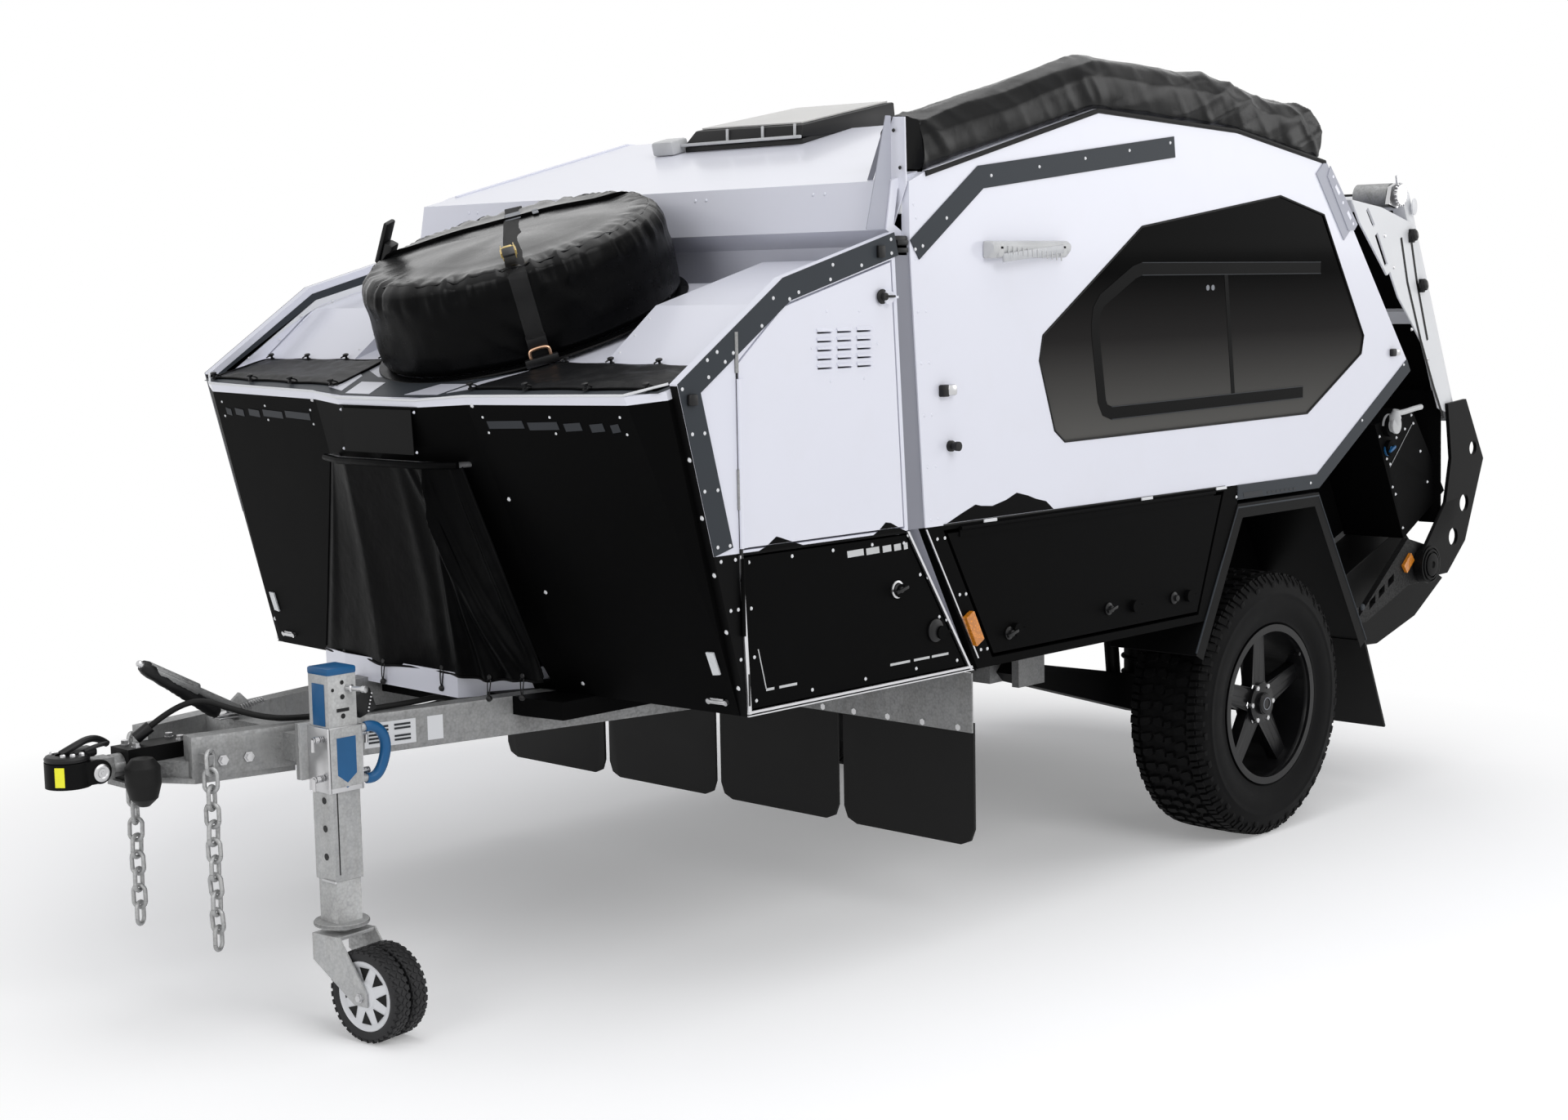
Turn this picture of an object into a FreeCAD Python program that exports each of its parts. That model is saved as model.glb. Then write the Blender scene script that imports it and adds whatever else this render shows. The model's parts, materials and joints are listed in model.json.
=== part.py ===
"""Off-road teardrop camper trailer on two wheels, parked on its jockey wheel.

Millimetres. While it is drawn, +X points forward to the coupling, +Y to the left,
+Z up, and X is zero at the axle. The written pieces are shifted along X, so that
the origin lies on the ground below the middle of the whole trailer.
"""
import FreeCAD, Part
import math
import os

V = FreeCAD.Vector

# Overall sizes
HALF_WIDTH = 940.0
WALL = 25.0
SEAM = 5.0
FIT = 0.3
CUT_OVER = 50.0
COUPLING_TIP_X = 3497.0
DECK_TAIL_X = -1363.0
SPLIT_Z = 1080.0
SILL_Z = 700.0

# Wheels
TYRE_RADIUS = 400.0
TYRE_WIDTH = 265.0
TYRE_FACE_INSET = 5.0
TYRE_FACE_Y = HALF_WIDTH - TYRE_FACE_INSET
TREAD_DEPTH = 10.0
TREAD_MIDDLE_SET = 68.75
LUG_COUNT = 30
LUG_SHARE = 0.62
LUG_INSET = 14.4
LUG_TALL = 30.0
LUG_TUCK = 32.0
RIM_RADIUS = 233.0
RIM_LIP = 9.0
RIM_FLANGE = 5.0
RIM_BARREL = 12.0
RIM_DISH = 55.0
RIM_DISC = 14.0
SPOKE_COUNT = 5
SPOKE_ROOT = 74.0
SPOKE_TIP = 50.0
SPOKE_DEPTH = 34.0
SPOKE_SINK_SHARE = 0.7
HUB_RADIUS = 62.0
HUB_CAP_RADIUS = 34.0
HUB_CAP_LENGTH = 26.0
STUB_RADIUS = 32.0

# Nose box, side outline
NOSE_TOE_X = 2255.0
NOSE_LIP_X = 2455.0
NOSE_LIP_Z = 1472.0
NOSE_KINK_X = 2114.0
NOSE_KINK_Z = 1701.0
NOSE_BACK_X = 1724.0
NOSE_BACK_Z = 1805.0
NOSE_KNEE_X = 1684.0
NOSE_HEEL_X = 1442.0

# Nose box, front panels
PROW_X = 2575.0
PROW_HALF = 159.0
PROW_Z = 1424.0
PROW_LEAN = 7.0
PROW_DROP = 152.0
FACET_X = 2544.0
FACET_Y = 304.0
FACET_Z = 1436.0
FACET_FOOT_Y = 400.0
PANEL_X = 2511.0
PANEL_INSET = 114.0
PANEL_Y = HALF_WIDTH - PANEL_INSET
PANEL_Z = 1446.0
NICHE_HEAD_Z = 1272.0
NICHE_HEAD_HALF = 158.0
NICHE_FOOT_HALF = 345.0
SKIN = 20.0

# Nose deck
SHELF_SLOPE_SHARE = 0.2525
STEP_X = 2100.0
STEP_RUN = 175.0
SHELF_BACK_X = STEP_X + STEP_RUN
STEP_Z = 1640.0
DECK_BACK_Z = 1742.0
WELL_HALF = 500.0
WELL_TILT = 18.8
EAR = 70.0

# Nose doors
NOSE_HINGE_X = 2268.0
BAND = 62.0
RAIL = 12.0
HINGE_RADIUS = 5.0
HINGE_LEAF = 22.0
LEAF_THICK = 3.0
LATCH_RADIUS = 17.0
LATCH_HEIGHT = 14.0
KNOB_SET = 34.0
KNOB_DROP = 155.0
LOWER_LATCH_SHARES = [0.62, 0.30]
LOWER_LATCH_SET = 112.5
LOUVRE_BACK_X = 1810.0
LOUVRE_WIDTH = 54.0
LOUVRE_PITCH_X = 69.5
LOUVRE_COLUMNS = 3
LOUVRE_TOP_Z = 1583.0
LOUVRE_PITCH_Z = 20.8
LOUVRE_ROWS = 5
LOUVRE_HEIGHT = 9.0
LOUVRE_DEPTH = 7.0
LOUVRE_SLOT = 4.5

# Front cover that hangs before the niche
COVER_RAIL_RADIUS = 7.0
COVER_TOP_HALF = 162.0
COVER_TOP_SIDE = 263.0
COVER_TOP_X = 2568.0
COVER_SIDE_X = 2530.0
COVER_FOOT_Z = 742.0
COVER_FOOT_X = 2500.0
COVER_FOOT_HALF = 150.0
COVER_FOOT_SIDE_X = 2440.0
COVER_FOOT_SIDE = 452.0
COVER_THICK = 12.0
PAN_HALF = 455.0
PAN_FRONT_X = 2415.0
PAN_BACK_X = 1900.0
PAN_DEPTH = 45.0
PAN_CHAMFER = 120.0

# Spare wheel cover and small deck covers
SPARE_RADIUS = 390.0
SPARE_HEIGHT = 225.0
SPARE_X = 2064.0
SPARE_Z = 1588.4
SPARE_SEAT = 22.0
SPARE_SEAT_RADIUS = 150.0
SPARE_ROUND = 45.0
DECK_COVER_SET = 60.0
DECK_COVER_TOE = 50.0
DECK_COVER_BACK = 10.0
DECK_COVER_THICK = 12.0
DECK_COVER_INNER = 330.0
DECK_COVER_CLEAR = 30.0
DECK_COVER_OUTER = HALF_WIDTH - WALL - DECK_COVER_CLEAR

# Body, side outline
BODY_FRONT_X = 1665.0
BODY_FRONT_Z = 1927.0
BODY_BROW_X = 1588.0
BODY_BROW_Z = 1958.0
BODY_NOTCH_Z = 1774.0
BODY_KNEE_X = 1618.0
BODY_HEEL_X = 1418.0
PEAK_X = 892.0
PEAK_Z = 2131.0
CREST_X = 224.0
CREST_Z = 2100.0
TAIL_TOP_X = -254.0
TAIL_TOP_Z = 2024.0
TAIL_KNEE_X = -763.0
TAIL_KNEE_Z = 1408.0
TAIL_LOW_X = -223.0
TAIL_END_Z = 905.0
BROW_LIP_X = 1722.0
BROW_LIP_Z = 1812.0
BROW_TOP_X = 1700.0
TAIL_BAND_SHARE = 0.7

# Window
WINDOW_X0 = -494.0
WINDOW_X1 = 1153.0
WINDOW_Z0 = 1258.0
WINDOW_Z1 = 1914.0
WINDOW_SHARES = [
    (0.991, 0.430), (0.721, 0.860), (0.295, 1.0), (0.146, 0.919), (0.0, 0.357),
    (0.009, 0.273), (0.199, 0.015), (0.934, 0.0), (0.961, 0.049), (1.0, 0.331),
]
PANE = 6.0
PANE_INSET = 3.0
INNER_BAR = 14.0
INNER_GAP = 4.0
INNER_SHARES = [
    (0.154, 0.678), (0.729, 0.686), (0.843, 0.544), (0.850, 0.421),
    (0.830, 0.114), (0.801, 0.099), (0.213, 0.114),
]
INNER_POST_SHARES = [(0.467, 0.670), (0.440, 0.125)]

# Lower body and tub
LOCKER_FRONT_TOP_X = 1549.0
LOCKER_FRONT_LOW_X = 1358.0
LOCKER_BACK_TOP_X = 280.0
LOCKER_BACK_LOW_X = 415.0
LOCKER_LOW_Z = 722.0
LOCKER_SEAM = 10.0
LOCKER_DOOR = 14.0
LOCKER_LATCH_SHARES = [0.06, 0.34, 0.90]
ARCH_TOP_FRONT_X = 215.0
ARCH_TOP_BACK_X = -233.0
ARCH_TOP_Z = 1024.0
ARCH_FRONT_FOOT_X = 430.0
ARCH_FRONT_FOOT_Z = 605.0
ARCH_BACK_FOOT_X = -527.0
ARCH_BACK_FOOT_Z = 532.0
GUARD_SHEET = 6.0
GUARD_FACE = 42.0
TUB_SHEET = 20.0
TYRE_CLEAR = 30.0
TUB_HALF = TYRE_FACE_Y - TYRE_WIDTH - TYRE_CLEAR - TUB_SHEET
TUB_FRONT_SET = 30.0
TUB_FLOOR_Z = 700.0
TUB_RISE_X = -600.0
DECK_INSET = 55.0
DECK_PLATE_Y = HALF_WIDTH - DECK_INSET
GALLEY_CLEAR = 25.0
GALLEY_Y = DECK_PLATE_Y - GALLEY_CLEAR
GALLEY_TOP_FRONT_X = -711.0
GALLEY_TOP_FRONT_Z = 1199.0
GALLEY_TOP_BACK_X = -947.0
GALLEY_TOP_BACK_Z = 1240.0
GALLEY_LOW_BACK_X = -1177.0
GALLEY_LOW_BACK_Z = 952.0
GALLEY_LOW_FRONT_X = -905.0
GALLEY_LOW_FRONT_Z = 815.0
PUMP_X = -790.0
PUMP_Z = 1193.0
PUMP_RADIUS = 36.0
PUMP_HEIGHT = 18.0
SPOUT_BACK_X = -868.0
SPOUT_Z = 1216.0
SPOUT_RADIUS = 7.0
FILLER_X = -798.0
FILLER_Z = 1120.0
FILLER_RADIUS = 26.0
FILLER_HEIGHT = 14.0
TRAY_INSET = 140.0
TRAY_HALF = HALF_WIDTH - TRAY_INSET
TRAY_LOW_LINE = [(-662.0, 476.0), (-850.0, 465.5), (-1100.0, 530.0), (-1290.0, 640.0)]
TRAY_TAIL_Z = 693.0

# Trim bands
TRIM = 3.0
TRIM_WIDTH = 57.6
BROW_BAND_RUN = 186.0
BROW_BAND_SHARE = 0.63
CORNER_GAP = 4.0

# Chassis
RAIL_HEIGHT = 95.0
RAIL_WIDTH = 50.0
RAIL_TOP_Z = 700.0
ARM_OUTER_INSET = 360.0
ARM_OUTER_Y = HALF_WIDTH - ARM_OUTER_INSET
ARM_WIDTH = 80.0
ARM_INNER_Y = ARM_OUTER_Y - ARM_WIDTH
CHASSIS_SET = 45.0
CHASSIS_Y = ARM_INNER_Y - CHASSIS_SET
CHASSIS_BACK_X = -560.0
CHASSIS_FRONT_X = 1500.0
FRAME_NOSE_X = 3205.0
FRAME_NOSE_Y = 100.0
CROSS_WIDTH = 50.0
CROSS_XS_SHARES = [0.03, 0.36, 0.64, 0.97]
TAIL_PLATE = 20.0
DECK_CLEAR = 9.0
TAIL_PLATE_Y = DECK_PLATE_Y - DECK_CLEAR - TAIL_PLATE
TAIL_PLATE_SHARES = [(1.4, -1.0), (-0.6, -1.0), (-1.0, 0.0), (-0.4, 1.0)]
TAIL_SLOT = 26.0
TAIL_SLOT_RISE = 41.6
TAIL_SLOT_SHARES = [0.08, 0.36, 0.64]
TAIL_SLOT_RUN_SHARE = 0.18
REAR_CROSS_X = -595.0
REAR_CROSS_Z = 570.0
BOSS_X = -1000.0
BOSS_Z = 722.0
BOSS_RADIUS = 62.0
PIVOT_RADIUS = 14.0

# Flaps
FLAP_X = 1433.0
FLAP_COUNT = 4
FLAP_GAP = 21.0
FLAP_WIDTH = (2 * (HALF_WIDTH - CORNER_GAP) - FLAP_GAP * (FLAP_COUNT - 1)) / FLAP_COUNT
FLAP_PITCH = FLAP_WIDTH + FLAP_GAP
FLAP_THICK = 8.0
FLAP_TOP_Z = 560.0
FLAP_LOW_Z = 236.0
FLAP_ROUND = 45.0
HANGER_THICK = 5.0
HANGER_LOW_Z = 535.0
MUDFLAP_LOW_Z = 235.0
MUDFLAP_LOW_X = -660.0

# Suspension
ARM_PIVOT_X = 760.0
ARM_PIVOT_Z = 560.0
ARM_HEIGHT = 90.0
ARM_SHOULDER = 72.0
AXLE_Z = 400.0
ARM_PIVOT_RADIUS = 30.0
DRUM_RADIUS = 135.0
DRUM_WIDTH = 60.0
SPRING_RADIUS = 42.0
SPRING_WIRE = 12.0
SPRING_X = 150.0
SPRING_TURNS = 4
SPRING_FOOT = 54.0
SPRING_LEAN_SHARE = 0.12
DAMPER_RADIUS = 22.0
DAMPER_X = 290.0
DAMPER_LEAN_SHARE = 0.9
OUTRIGGER = 60.0

# Coupling
BLOCK_BACK_X = 3150.0
BLOCK_FRONT_X = 3318.0
BLOCK_HALF = 38.0
BLOCK_HEIGHT = 73.0
NOSE_PLATE = 12.0
NOSE_PLATE_TIP_X = 3330.0
SWIVEL_RADIUS = 26.0
SWIVEL_DEPTH = 60.0
KNUCKLE_HALF = 24.0
KNUCKLE_BACK_X = 3345.0
PITCH_X = 3391.0
PITCH_PIN = 18.0
CHEEK_GAP = 5.0
CHEEK = 15.0
CHEEK_RADIUS = 27.0
HEAD_RING = 50.0
HEAD_HEIGHT = 57.0
HEAD_BORE = 25.0
HEAD_BODY_SHARE = 0.9
BOOT_RADIUS = 40.0
BOOT_HEIGHT = 112.0
BOOT_X = 3308.0
BOOT_TOP = 25.0
BOOT_SHARES = [
    (0, 0), (0.30, 0), (0.78, 0.16), (1.0, 0.45), (0.98, 0.80), (0.62, 0.97), (0.2, 1.0), (0, 1.0),
]

# Safety chains
CHAIN_X = 3190.0
CHAIN_Y = 128.0
LINK_WIRE = 11.0
LINK_LENGTH = 62.0
LINK_WIDTH = 37.0
LINK_SINK = 0.6
LINK_SEAT_SHARE = 2.25
LINK_CORNER_SHARE = 0.3
CHAIN_LINKS = 11

# Handbrake
LEVER_X = 3020.0
LEVER_TIP_X = 3238.0
LEVER_TIP_Z = 849.0
LEVER_RADIUS = 10.0
GRIP_RADIUS = 17.0
GRIP_SHARE = 0.52
RATCHET = 60.0

# Jockey wheel
POST_X = 2955.0
POST_Y = 310.0
POST_SIDE = 76.0
POST_WALL = 4.0
POST_LOW_Z = 360.0
POST_TOP_Z = 842.0
LEG_SIDE = POST_SIDE - (POST_WALL + FIT) * 2
LEG_TOP_Z = 620.0
LEG_LOW_Z = 262.0
COLLAR_RADIUS = 62.0
COLLAR_HEIGHT = 10.0
HEAD_LOW = 78.0
HEAD_HIGH = 58.0
HANDLE_RADIUS = 9.0
HANDLE_LINE = [(-32, 30, 44), (-88, 40, 54), (-120, 40, 2), (-88, 40, -76), (-32, 30, -64)]
FORK_TOP_Z = 238.0
FORK_SHEET = 8.0
FORK_BACK = 49.6
FORK_FRONT = 37.2
FORK_CHEEK = 5.0
FORK_GAP = 3.0
STEM_RADIUS = 22.0
TRAIL = 112.0
CASTOR_TURN = 82.0
JOCKEY_RADIUS = 109.0
JOCKEY_WIDTH = 46.0
JOCKEY_GAP = 8.0
JOCKEY_RIM = 76.0
JOCKEY_SHOULDER_SHARE = 0.94
JOCKEY_TREAD_SHARES = [0.2, 0.8]
JOCKEY_DISH_SHARE = 0.3
JOCKEY_HUB_SHARE = 0.35
JOCKEY_AXLE = 10.0
SWING_Z = 655.0
BRACKET_SHEET = 10.0
BRACKET_SIDE = 130.0

# Rear deck
DECK_PLATE = 8.0
DECK_ARM_Y = DECK_PLATE_Y + DECK_PLATE
DECK_ARM = 12.0
DECK_TOP_X = -865.0
DECK_TOP_Z = 1941.0
DECK_LOW_X = -1203.0
DECK_LOW_Z = 1205.0
DECK_BEAM = 45.0
DECK_PANEL = 18.0
DECK_MEMBER_SHARES = [0.0, 0.5, 1.0]
LATTICE_SHARES = [
    (0.0, 0.0, -0.5), (0.16, 0.04, 0.0), (0.20, 0.34, 0.0), (0.72, 0.87, 0.0), (0.76, 0.96, 0.0),
    (0.36, 0.93, 0.0), (0.0, 0.86, -0.5),
]
LATTICE_SLOTS = [
    ((-585.0, 1878.0), (-628.0, 1826.0), 14.0), ((-642.0, 1800.0), (-708.0, 1702.0), 18.0),
    ((-720.0, 1674.0), (-826.0, 1520.0), 22.0), ((-846.0, 1486.0), (-908.0, 1366.0), 18.0),
]
ARM_SHARES = [
    (0.34, -0.65, 0.0), (0.67, 0.0, 0.12), (1.0, 0.0, 0.68), (0.645, 0.0, 1.11), (0.30, 0.0, 1.09),
    (0.38, 0.0, 0.71), (0.29, 0.0, 0.41),
]
ARM_ROOT_SHARE = 0.7
ARM_HOLES = [((-1160.0, 800.0), 30.0), ((-1232.0, 908.0), 30.0), ((-1288.0, 1090.0), 24.0)]
WINCH_RADIUS = 38.0
WINCH_LENGTH = 120.0
WINCH_OUT = 26.6
WINCH_UP = 7.6

# Roof hatch
HATCH_FRONT_X = 1100.0
HATCH_BACK_X = 700.0
HATCH_LEFT_Y = 60.0
HATCH_RIGHT_Y = -420.0
HATCH_FRAME = 22.0
HATCH_FRAME_HEIGHT = 16.0
HATCH_FRONT_HEIGHT = 50.0
HATCH_BACK_HEIGHT = 84.0
HATCH_LID = 5.0
HATCH_CUT = 150.0

# Awning bag and brackets
BAG_HALF = 70.0
BAG_HEIGHT = 146.0
BAG_INSET = 72.0
BAG_Y = HALF_WIDTH - BAG_INSET
BAG_SKIN_SHARES = [
    (1.0, 0.30), (0.92, 0.0), (-0.92, 0.0), (-1.0, 0.25), (-1.0, 0.62),
    (-0.72, 0.90), (-0.2, 1.0), (0.25, 1.0), (0.72, 0.88), (1.0, 0.58),
]
BRACKET_TOP_Z = 2084.0
BRACKET_END_SHARE = 0.32
BRACKET_PLATE = 4.0
BRACKET_WIDTH = 66.0

# Lamps and lead
LAMP_HEIGHT = 44.0
LAMP_DEPTH = 38.0
LAMP_FRONT_X = 1384.0
LAMP_BACK_X = 1062.0
LAMP_Z = 1762.0
MARKER_LENGTH = 78.0
MARKER_WIDTH = 34.0
MARKER_DEPTH = 16.0
MARKER_RISE = 61.2
MARKER_SET = 40.8
MARKER_DROP = 85.8
MARKER_SHARES = (0.6, 0.5)
MARKER_THIN_SHARE = 0.7
LAMP_SHARES = [(0.0, 0.0), (0.6, 0.0), (1.0, 0.4), (1.0, 0.8), (0.7, 1.0), (0.0, 1.0)]
LEAD_DIAMETER = 14.0
PLUG_LENGTH = 42.0
ARC_SHARE = 0.45
LEAD_ROUTE = [
    (2437, 192, 678), (2495, 192, 678), (2562, 199, 712), (2650, 207, 710), (2790, 185, 707.6),
    (2930, 160, 708.6), (3010, 137, 716), (3080, 102, 742), (3140, 60, 772), (3196, 24, 752),
    (3238, 2, 716.3),
]


def prism(points, axis, low, high):
    """Extrude a flat outline along an axis from low to high."""
    if axis == "y":
        corners = [V(a, low, b) for a, b in points]
        way = V(0, high - low, 0)
    elif axis == "x":
        corners = [V(low, a, b) for a, b in points]
        way = V(high - low, 0, 0)
    else:
        corners = [V(a, b, low) for a, b in points]
        way = V(0, 0, high - low)
    wire = Part.makePolygon(corners + [corners[0]])
    return Part.Face(wire).extrude(way)


def block(x0, x1, y0, y1, z0, z1):
    return Part.makeBox(x1 - x0, y1 - y0, z1 - z0, V(x0, y0, z0))


def rod(start, end, radius):
    return Part.makeCylinder(radius, (end - start).Length, start, end - start)


def pipe(start, end, radius, bore):
    return rod(start, end, radius).cut(rod(start, end, bore))


def rounded_path(points):
    """Straight runs joined by tangent arcs, with the arcs' radii."""
    edges = []
    radii = []
    last = points[0]
    for i in range(1, len(points) - 1):
        a, b, c = points[i - 1], points[i], points[i + 1]
        u = (a - b)
        w = (c - b)
        shorter = min(u.Length, w.Length)
        u.normalize()
        w.normalize()
        turn = math.pi - u.getAngle(w)
        cut = ARC_SHARE * shorter
        radii.append(cut / math.tan(turn / 2))
        start = b + u * cut
        end = b + w * cut
        middle = (u + w)
        middle.normalize()
        radius = radii[-1]
        depth = radius / math.cos(turn / 2) - radius
        edges.append(Part.LineSegment(last, start).toShape())
        edges.append(Part.Arc(start, b + middle * depth, end).toShape())
        last = end
    edges.append(Part.LineSegment(last, points[-1]).toShape())
    return Part.Wire(edges), radii


def bent_tube(points, radius):
    path = rounded_path(points)[0]
    start = path.Edges[0]
    way = start.tangentAt(start.FirstParameter)
    circle = Part.Wire(Part.makeCircle(radius, points[0], way))
    return path.makePipeShell([circle], True, False)


def join(shapes):
    whole = shapes[0]
    for shape in shapes[1:]:
        whole = whole.fuse(shape)
    return whole.removeSplitter()


def right(shape):
    """The same piece on the right-hand side."""
    return shape.mirror(V(0, 0, 0), V(0, 1, 0))


def pair(shape):
    return Part.makeCompound([shape, right(shape)])


def group(shapes):
    return Part.makeCompound(shapes)


def offset_line(points, distance):
    """Points of an open line moved to its left by a distance, mitred at the bends."""
    moved = []
    for i, (x, z) in enumerate(points):
        ways = []
        if i > 0:
            ways.append((x - points[i - 1][0], z - points[i - 1][1]))
        if i < len(points) - 1:
            ways.append((points[i + 1][0] - x, points[i + 1][1] - z))
        normals = []
        for dx, dz in ways:
            size = math.hypot(dx, dz)
            normals.append((-dz / size, dx / size))
        nx = sum(n[0] for n in normals)
        nz = sum(n[1] for n in normals)
        size = math.hypot(nx, nz)
        nx, nz = nx / size, nz / size
        stretch = distance / (nx * normals[0][0] + nz * normals[0][1])
        moved.append((x + nx * stretch, z + nz * stretch))
    return moved


def strip(points, thickness, y0, y1):
    """A folded sheet: an open line in side view, thickened to its left."""
    back = offset_line(points, thickness)
    return prism(points + back[::-1], "y", y0, y1)


def inset(points, distance):
    """A closed outline drawn counter-clockwise, moved inwards."""
    count = len(points)
    area = 0.0
    for i in range(count):
        x0, z0 = points[i]
        x1, z1 = points[(i + 1) % count]
        area += x0 * z1 - x1 * z0
    sign = 1.0 if area > 0 else -1.0
    moved = []
    for i in range(count):
        ax, az = points[i - 1]
        bx, bz = points[i]
        cx, cz = points[(i + 1) % count]
        u = (bx - ax, bz - az)
        w = (cx - bx, cz - bz)
        lu, lw = math.hypot(*u), math.hypot(*w)
        n0 = (-u[1] / lu * sign, u[0] / lu * sign)
        n1 = (-w[1] / lw * sign, w[0] / lw * sign)
        mx, mz = n0[0] + n1[0], n0[1] + n1[1]
        size = mx * n0[0] + mz * n0[1]
        moved.append((bx + mx * distance / size, bz + mz * distance / size))
    return moved


def at_z(a, b, z):
    """The x of the line through a and b at a height."""
    return a[0] + (b[0] - a[0]) * (z - a[1]) / (b[1] - a[1])


def at_x(a, b, x):
    """The z of the line through a and b at a place along x."""
    return a[1] + (b[1] - a[1]) * (x - a[0]) / (b[0] - a[0])


def half_space(a, b, c, size):
    """A large block on the side of the plane a b c that its normal points to."""
    normal = (b - a).cross(c - a)
    normal.normalize()
    plate = Part.makePlane(size, size, V(-size / 2, -size / 2, 0), V(0, 0, 1))
    turn = FreeCAD.Rotation(V(0, 0, 1), normal)
    plate.Placement = FreeCAD.Placement(a, turn)
    return plate.extrude(normal * size)


# Outlines that several pieces share
NOSE_OUTLINE = [
    (NOSE_HEEL_X, SILL_Z), (NOSE_TOE_X, SILL_Z), (NOSE_LIP_X, NOSE_LIP_Z),
    (NOSE_KINK_X, NOSE_KINK_Z), (NOSE_BACK_X, NOSE_BACK_Z), (NOSE_KNEE_X, SPLIT_Z),
]
ROOF_LINE = [
    (BODY_BROW_X, BODY_BROW_Z), (PEAK_X, PEAK_Z), (CREST_X, CREST_Z),
    (TAIL_TOP_X, TAIL_TOP_Z),
]
TAIL_BAND = BAND * TAIL_BAND_SHARE
BODY_OUTLINE = [
    (BODY_KNEE_X, SPLIT_Z), (BODY_FRONT_X, BODY_NOTCH_Z), (BODY_FRONT_X, BODY_FRONT_Z),
] + ROOF_LINE + [
    (TAIL_KNEE_X, TAIL_KNEE_Z), (TAIL_KNEE_X, TAIL_KNEE_Z - TAIL_BAND),
    (TAIL_LOW_X, SPLIT_Z - TAIL_BAND), (ARCH_TOP_FRONT_X, SPLIT_Z - TAIL_BAND),
    (ARCH_TOP_FRONT_X, SPLIT_Z),
]
TAIL_LINE = [(TAIL_TOP_X, TAIL_TOP_Z), (TAIL_KNEE_X, TAIL_KNEE_Z)]
TAIL_END_X = at_z(TAIL_LINE[0], TAIL_LINE[1], TAIL_END_Z)
INNER_Y = HALF_WIDTH - WALL
SHIFT_X = -(COUPLING_TIP_X + DECK_TAIL_X) / 2


def shelf_z(x):
    return FACET_Z + SHELF_SLOPE_SHARE * (FACET_X - x)


def well_z(x):
    """Height of the spare wheel's seat in the nose deck."""
    rise = math.tan(math.radians(WELL_TILT))
    return shelf_z(SHELF_BACK_X) + rise * (SHELF_BACK_X - x)


def side_deck_line():
    return [
        (PROW_X, shelf_z(PROW_X)), (SHELF_BACK_X, shelf_z(SHELF_BACK_X)),
        (STEP_X, STEP_Z), (NOSE_BACK_X, DECK_BACK_Z),
    ]


def well_line():
    return [
        (PROW_X, shelf_z(PROW_X)), (SHELF_BACK_X, shelf_z(SHELF_BACK_X)),
        (NOSE_BACK_X, well_z(NOSE_BACK_X)),
    ]


def nose_volume(depth):
    """The nose between the side walls, with its front panels set back by a depth."""
    far = PROW_X + PANEL_X
    top = NOSE_BACK_Z + EAR
    outline = [(NOSE_HEEL_X, SILL_Z), (PROW_X + EAR, SILL_Z), (PROW_X + EAR, top)]
    outline += [(NOSE_BACK_X, top), (NOSE_BACK_X, NOSE_BACK_Z), (NOSE_KNEE_X, SPLIT_Z)]
    main = prism(outline, "y", -HALF_WIDTH, HALF_WIDTH)
    prow = main.copy()
    back = V(-depth, 0, 0)
    toe = V(NOSE_TOE_X, HALF_WIDTH, SILL_Z) + back
    lip = V(NOSE_LIP_X, HALF_WIDTH, NOSE_LIP_Z) + back
    panel = V(PANEL_X, PANEL_Y, PANEL_Z) + back
    facet = V(FACET_X, FACET_Y, FACET_Z) + back
    edge = V(PROW_X, PROW_HALF, PROW_Z) + back
    slope = (toe.x - facet.x - (panel.x - facet.x) / (PANEL_Y - FACET_Y) * (HALF_WIDTH - FACET_Y))
    foot_x = facet.x + (panel.x - facet.x) / (PANEL_Y - FACET_Y) * (FACET_FOOT_Y - FACET_Y) + slope
    foot = V(foot_x, FACET_FOOT_Y, SILL_Z)
    low = V(PROW_X - PROW_LEAN, 0, PROW_Z - PROW_DROP) + back
    for mirror in (False, True):
        for solid, corners in (("main", (facet, panel, toe)), ("main", (panel, lip, toe)),
                               ("prow", (edge, facet, foot))):
            a, b, c = corners
            if mirror:
                a, b, c = [V(p.x, -p.y, p.z) for p in (a, c, b)]
            beyond = half_space(a, b, c, far)
            if beyond.isInside(V(NOSE_TOE_X - WALL * 2, 0, SILL_Z + WALL), FIT, True):
                beyond = half_space(a, c, b, far)
            if solid == "main":
                main = main.cut(beyond)
            else:
                prow = prow.cut(beyond)
    flat = half_space(V(PROW_X, 0, PROW_Z) + back, V(PROW_X, PROW_HALF, PROW_Z) + back, low, far)
    if flat.isInside(V(NOSE_TOE_X, 0, SILL_Z + WALL), FIT, True):
        flat = half_space(V(PROW_X, 0, PROW_Z) + back, low, V(PROW_X, PROW_HALF, PROW_Z) + back, far)
    prow = prow.cut(flat)
    return main.fuse(prow).removeSplitter()


def under(line, drop, low):
    """The outline below a line of the deck, down to a height."""
    lowered = [(x, z - drop) for x, z in line]
    return lowered + [(lowered[-1][0], low), (lowered[0][0], low)]


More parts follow.
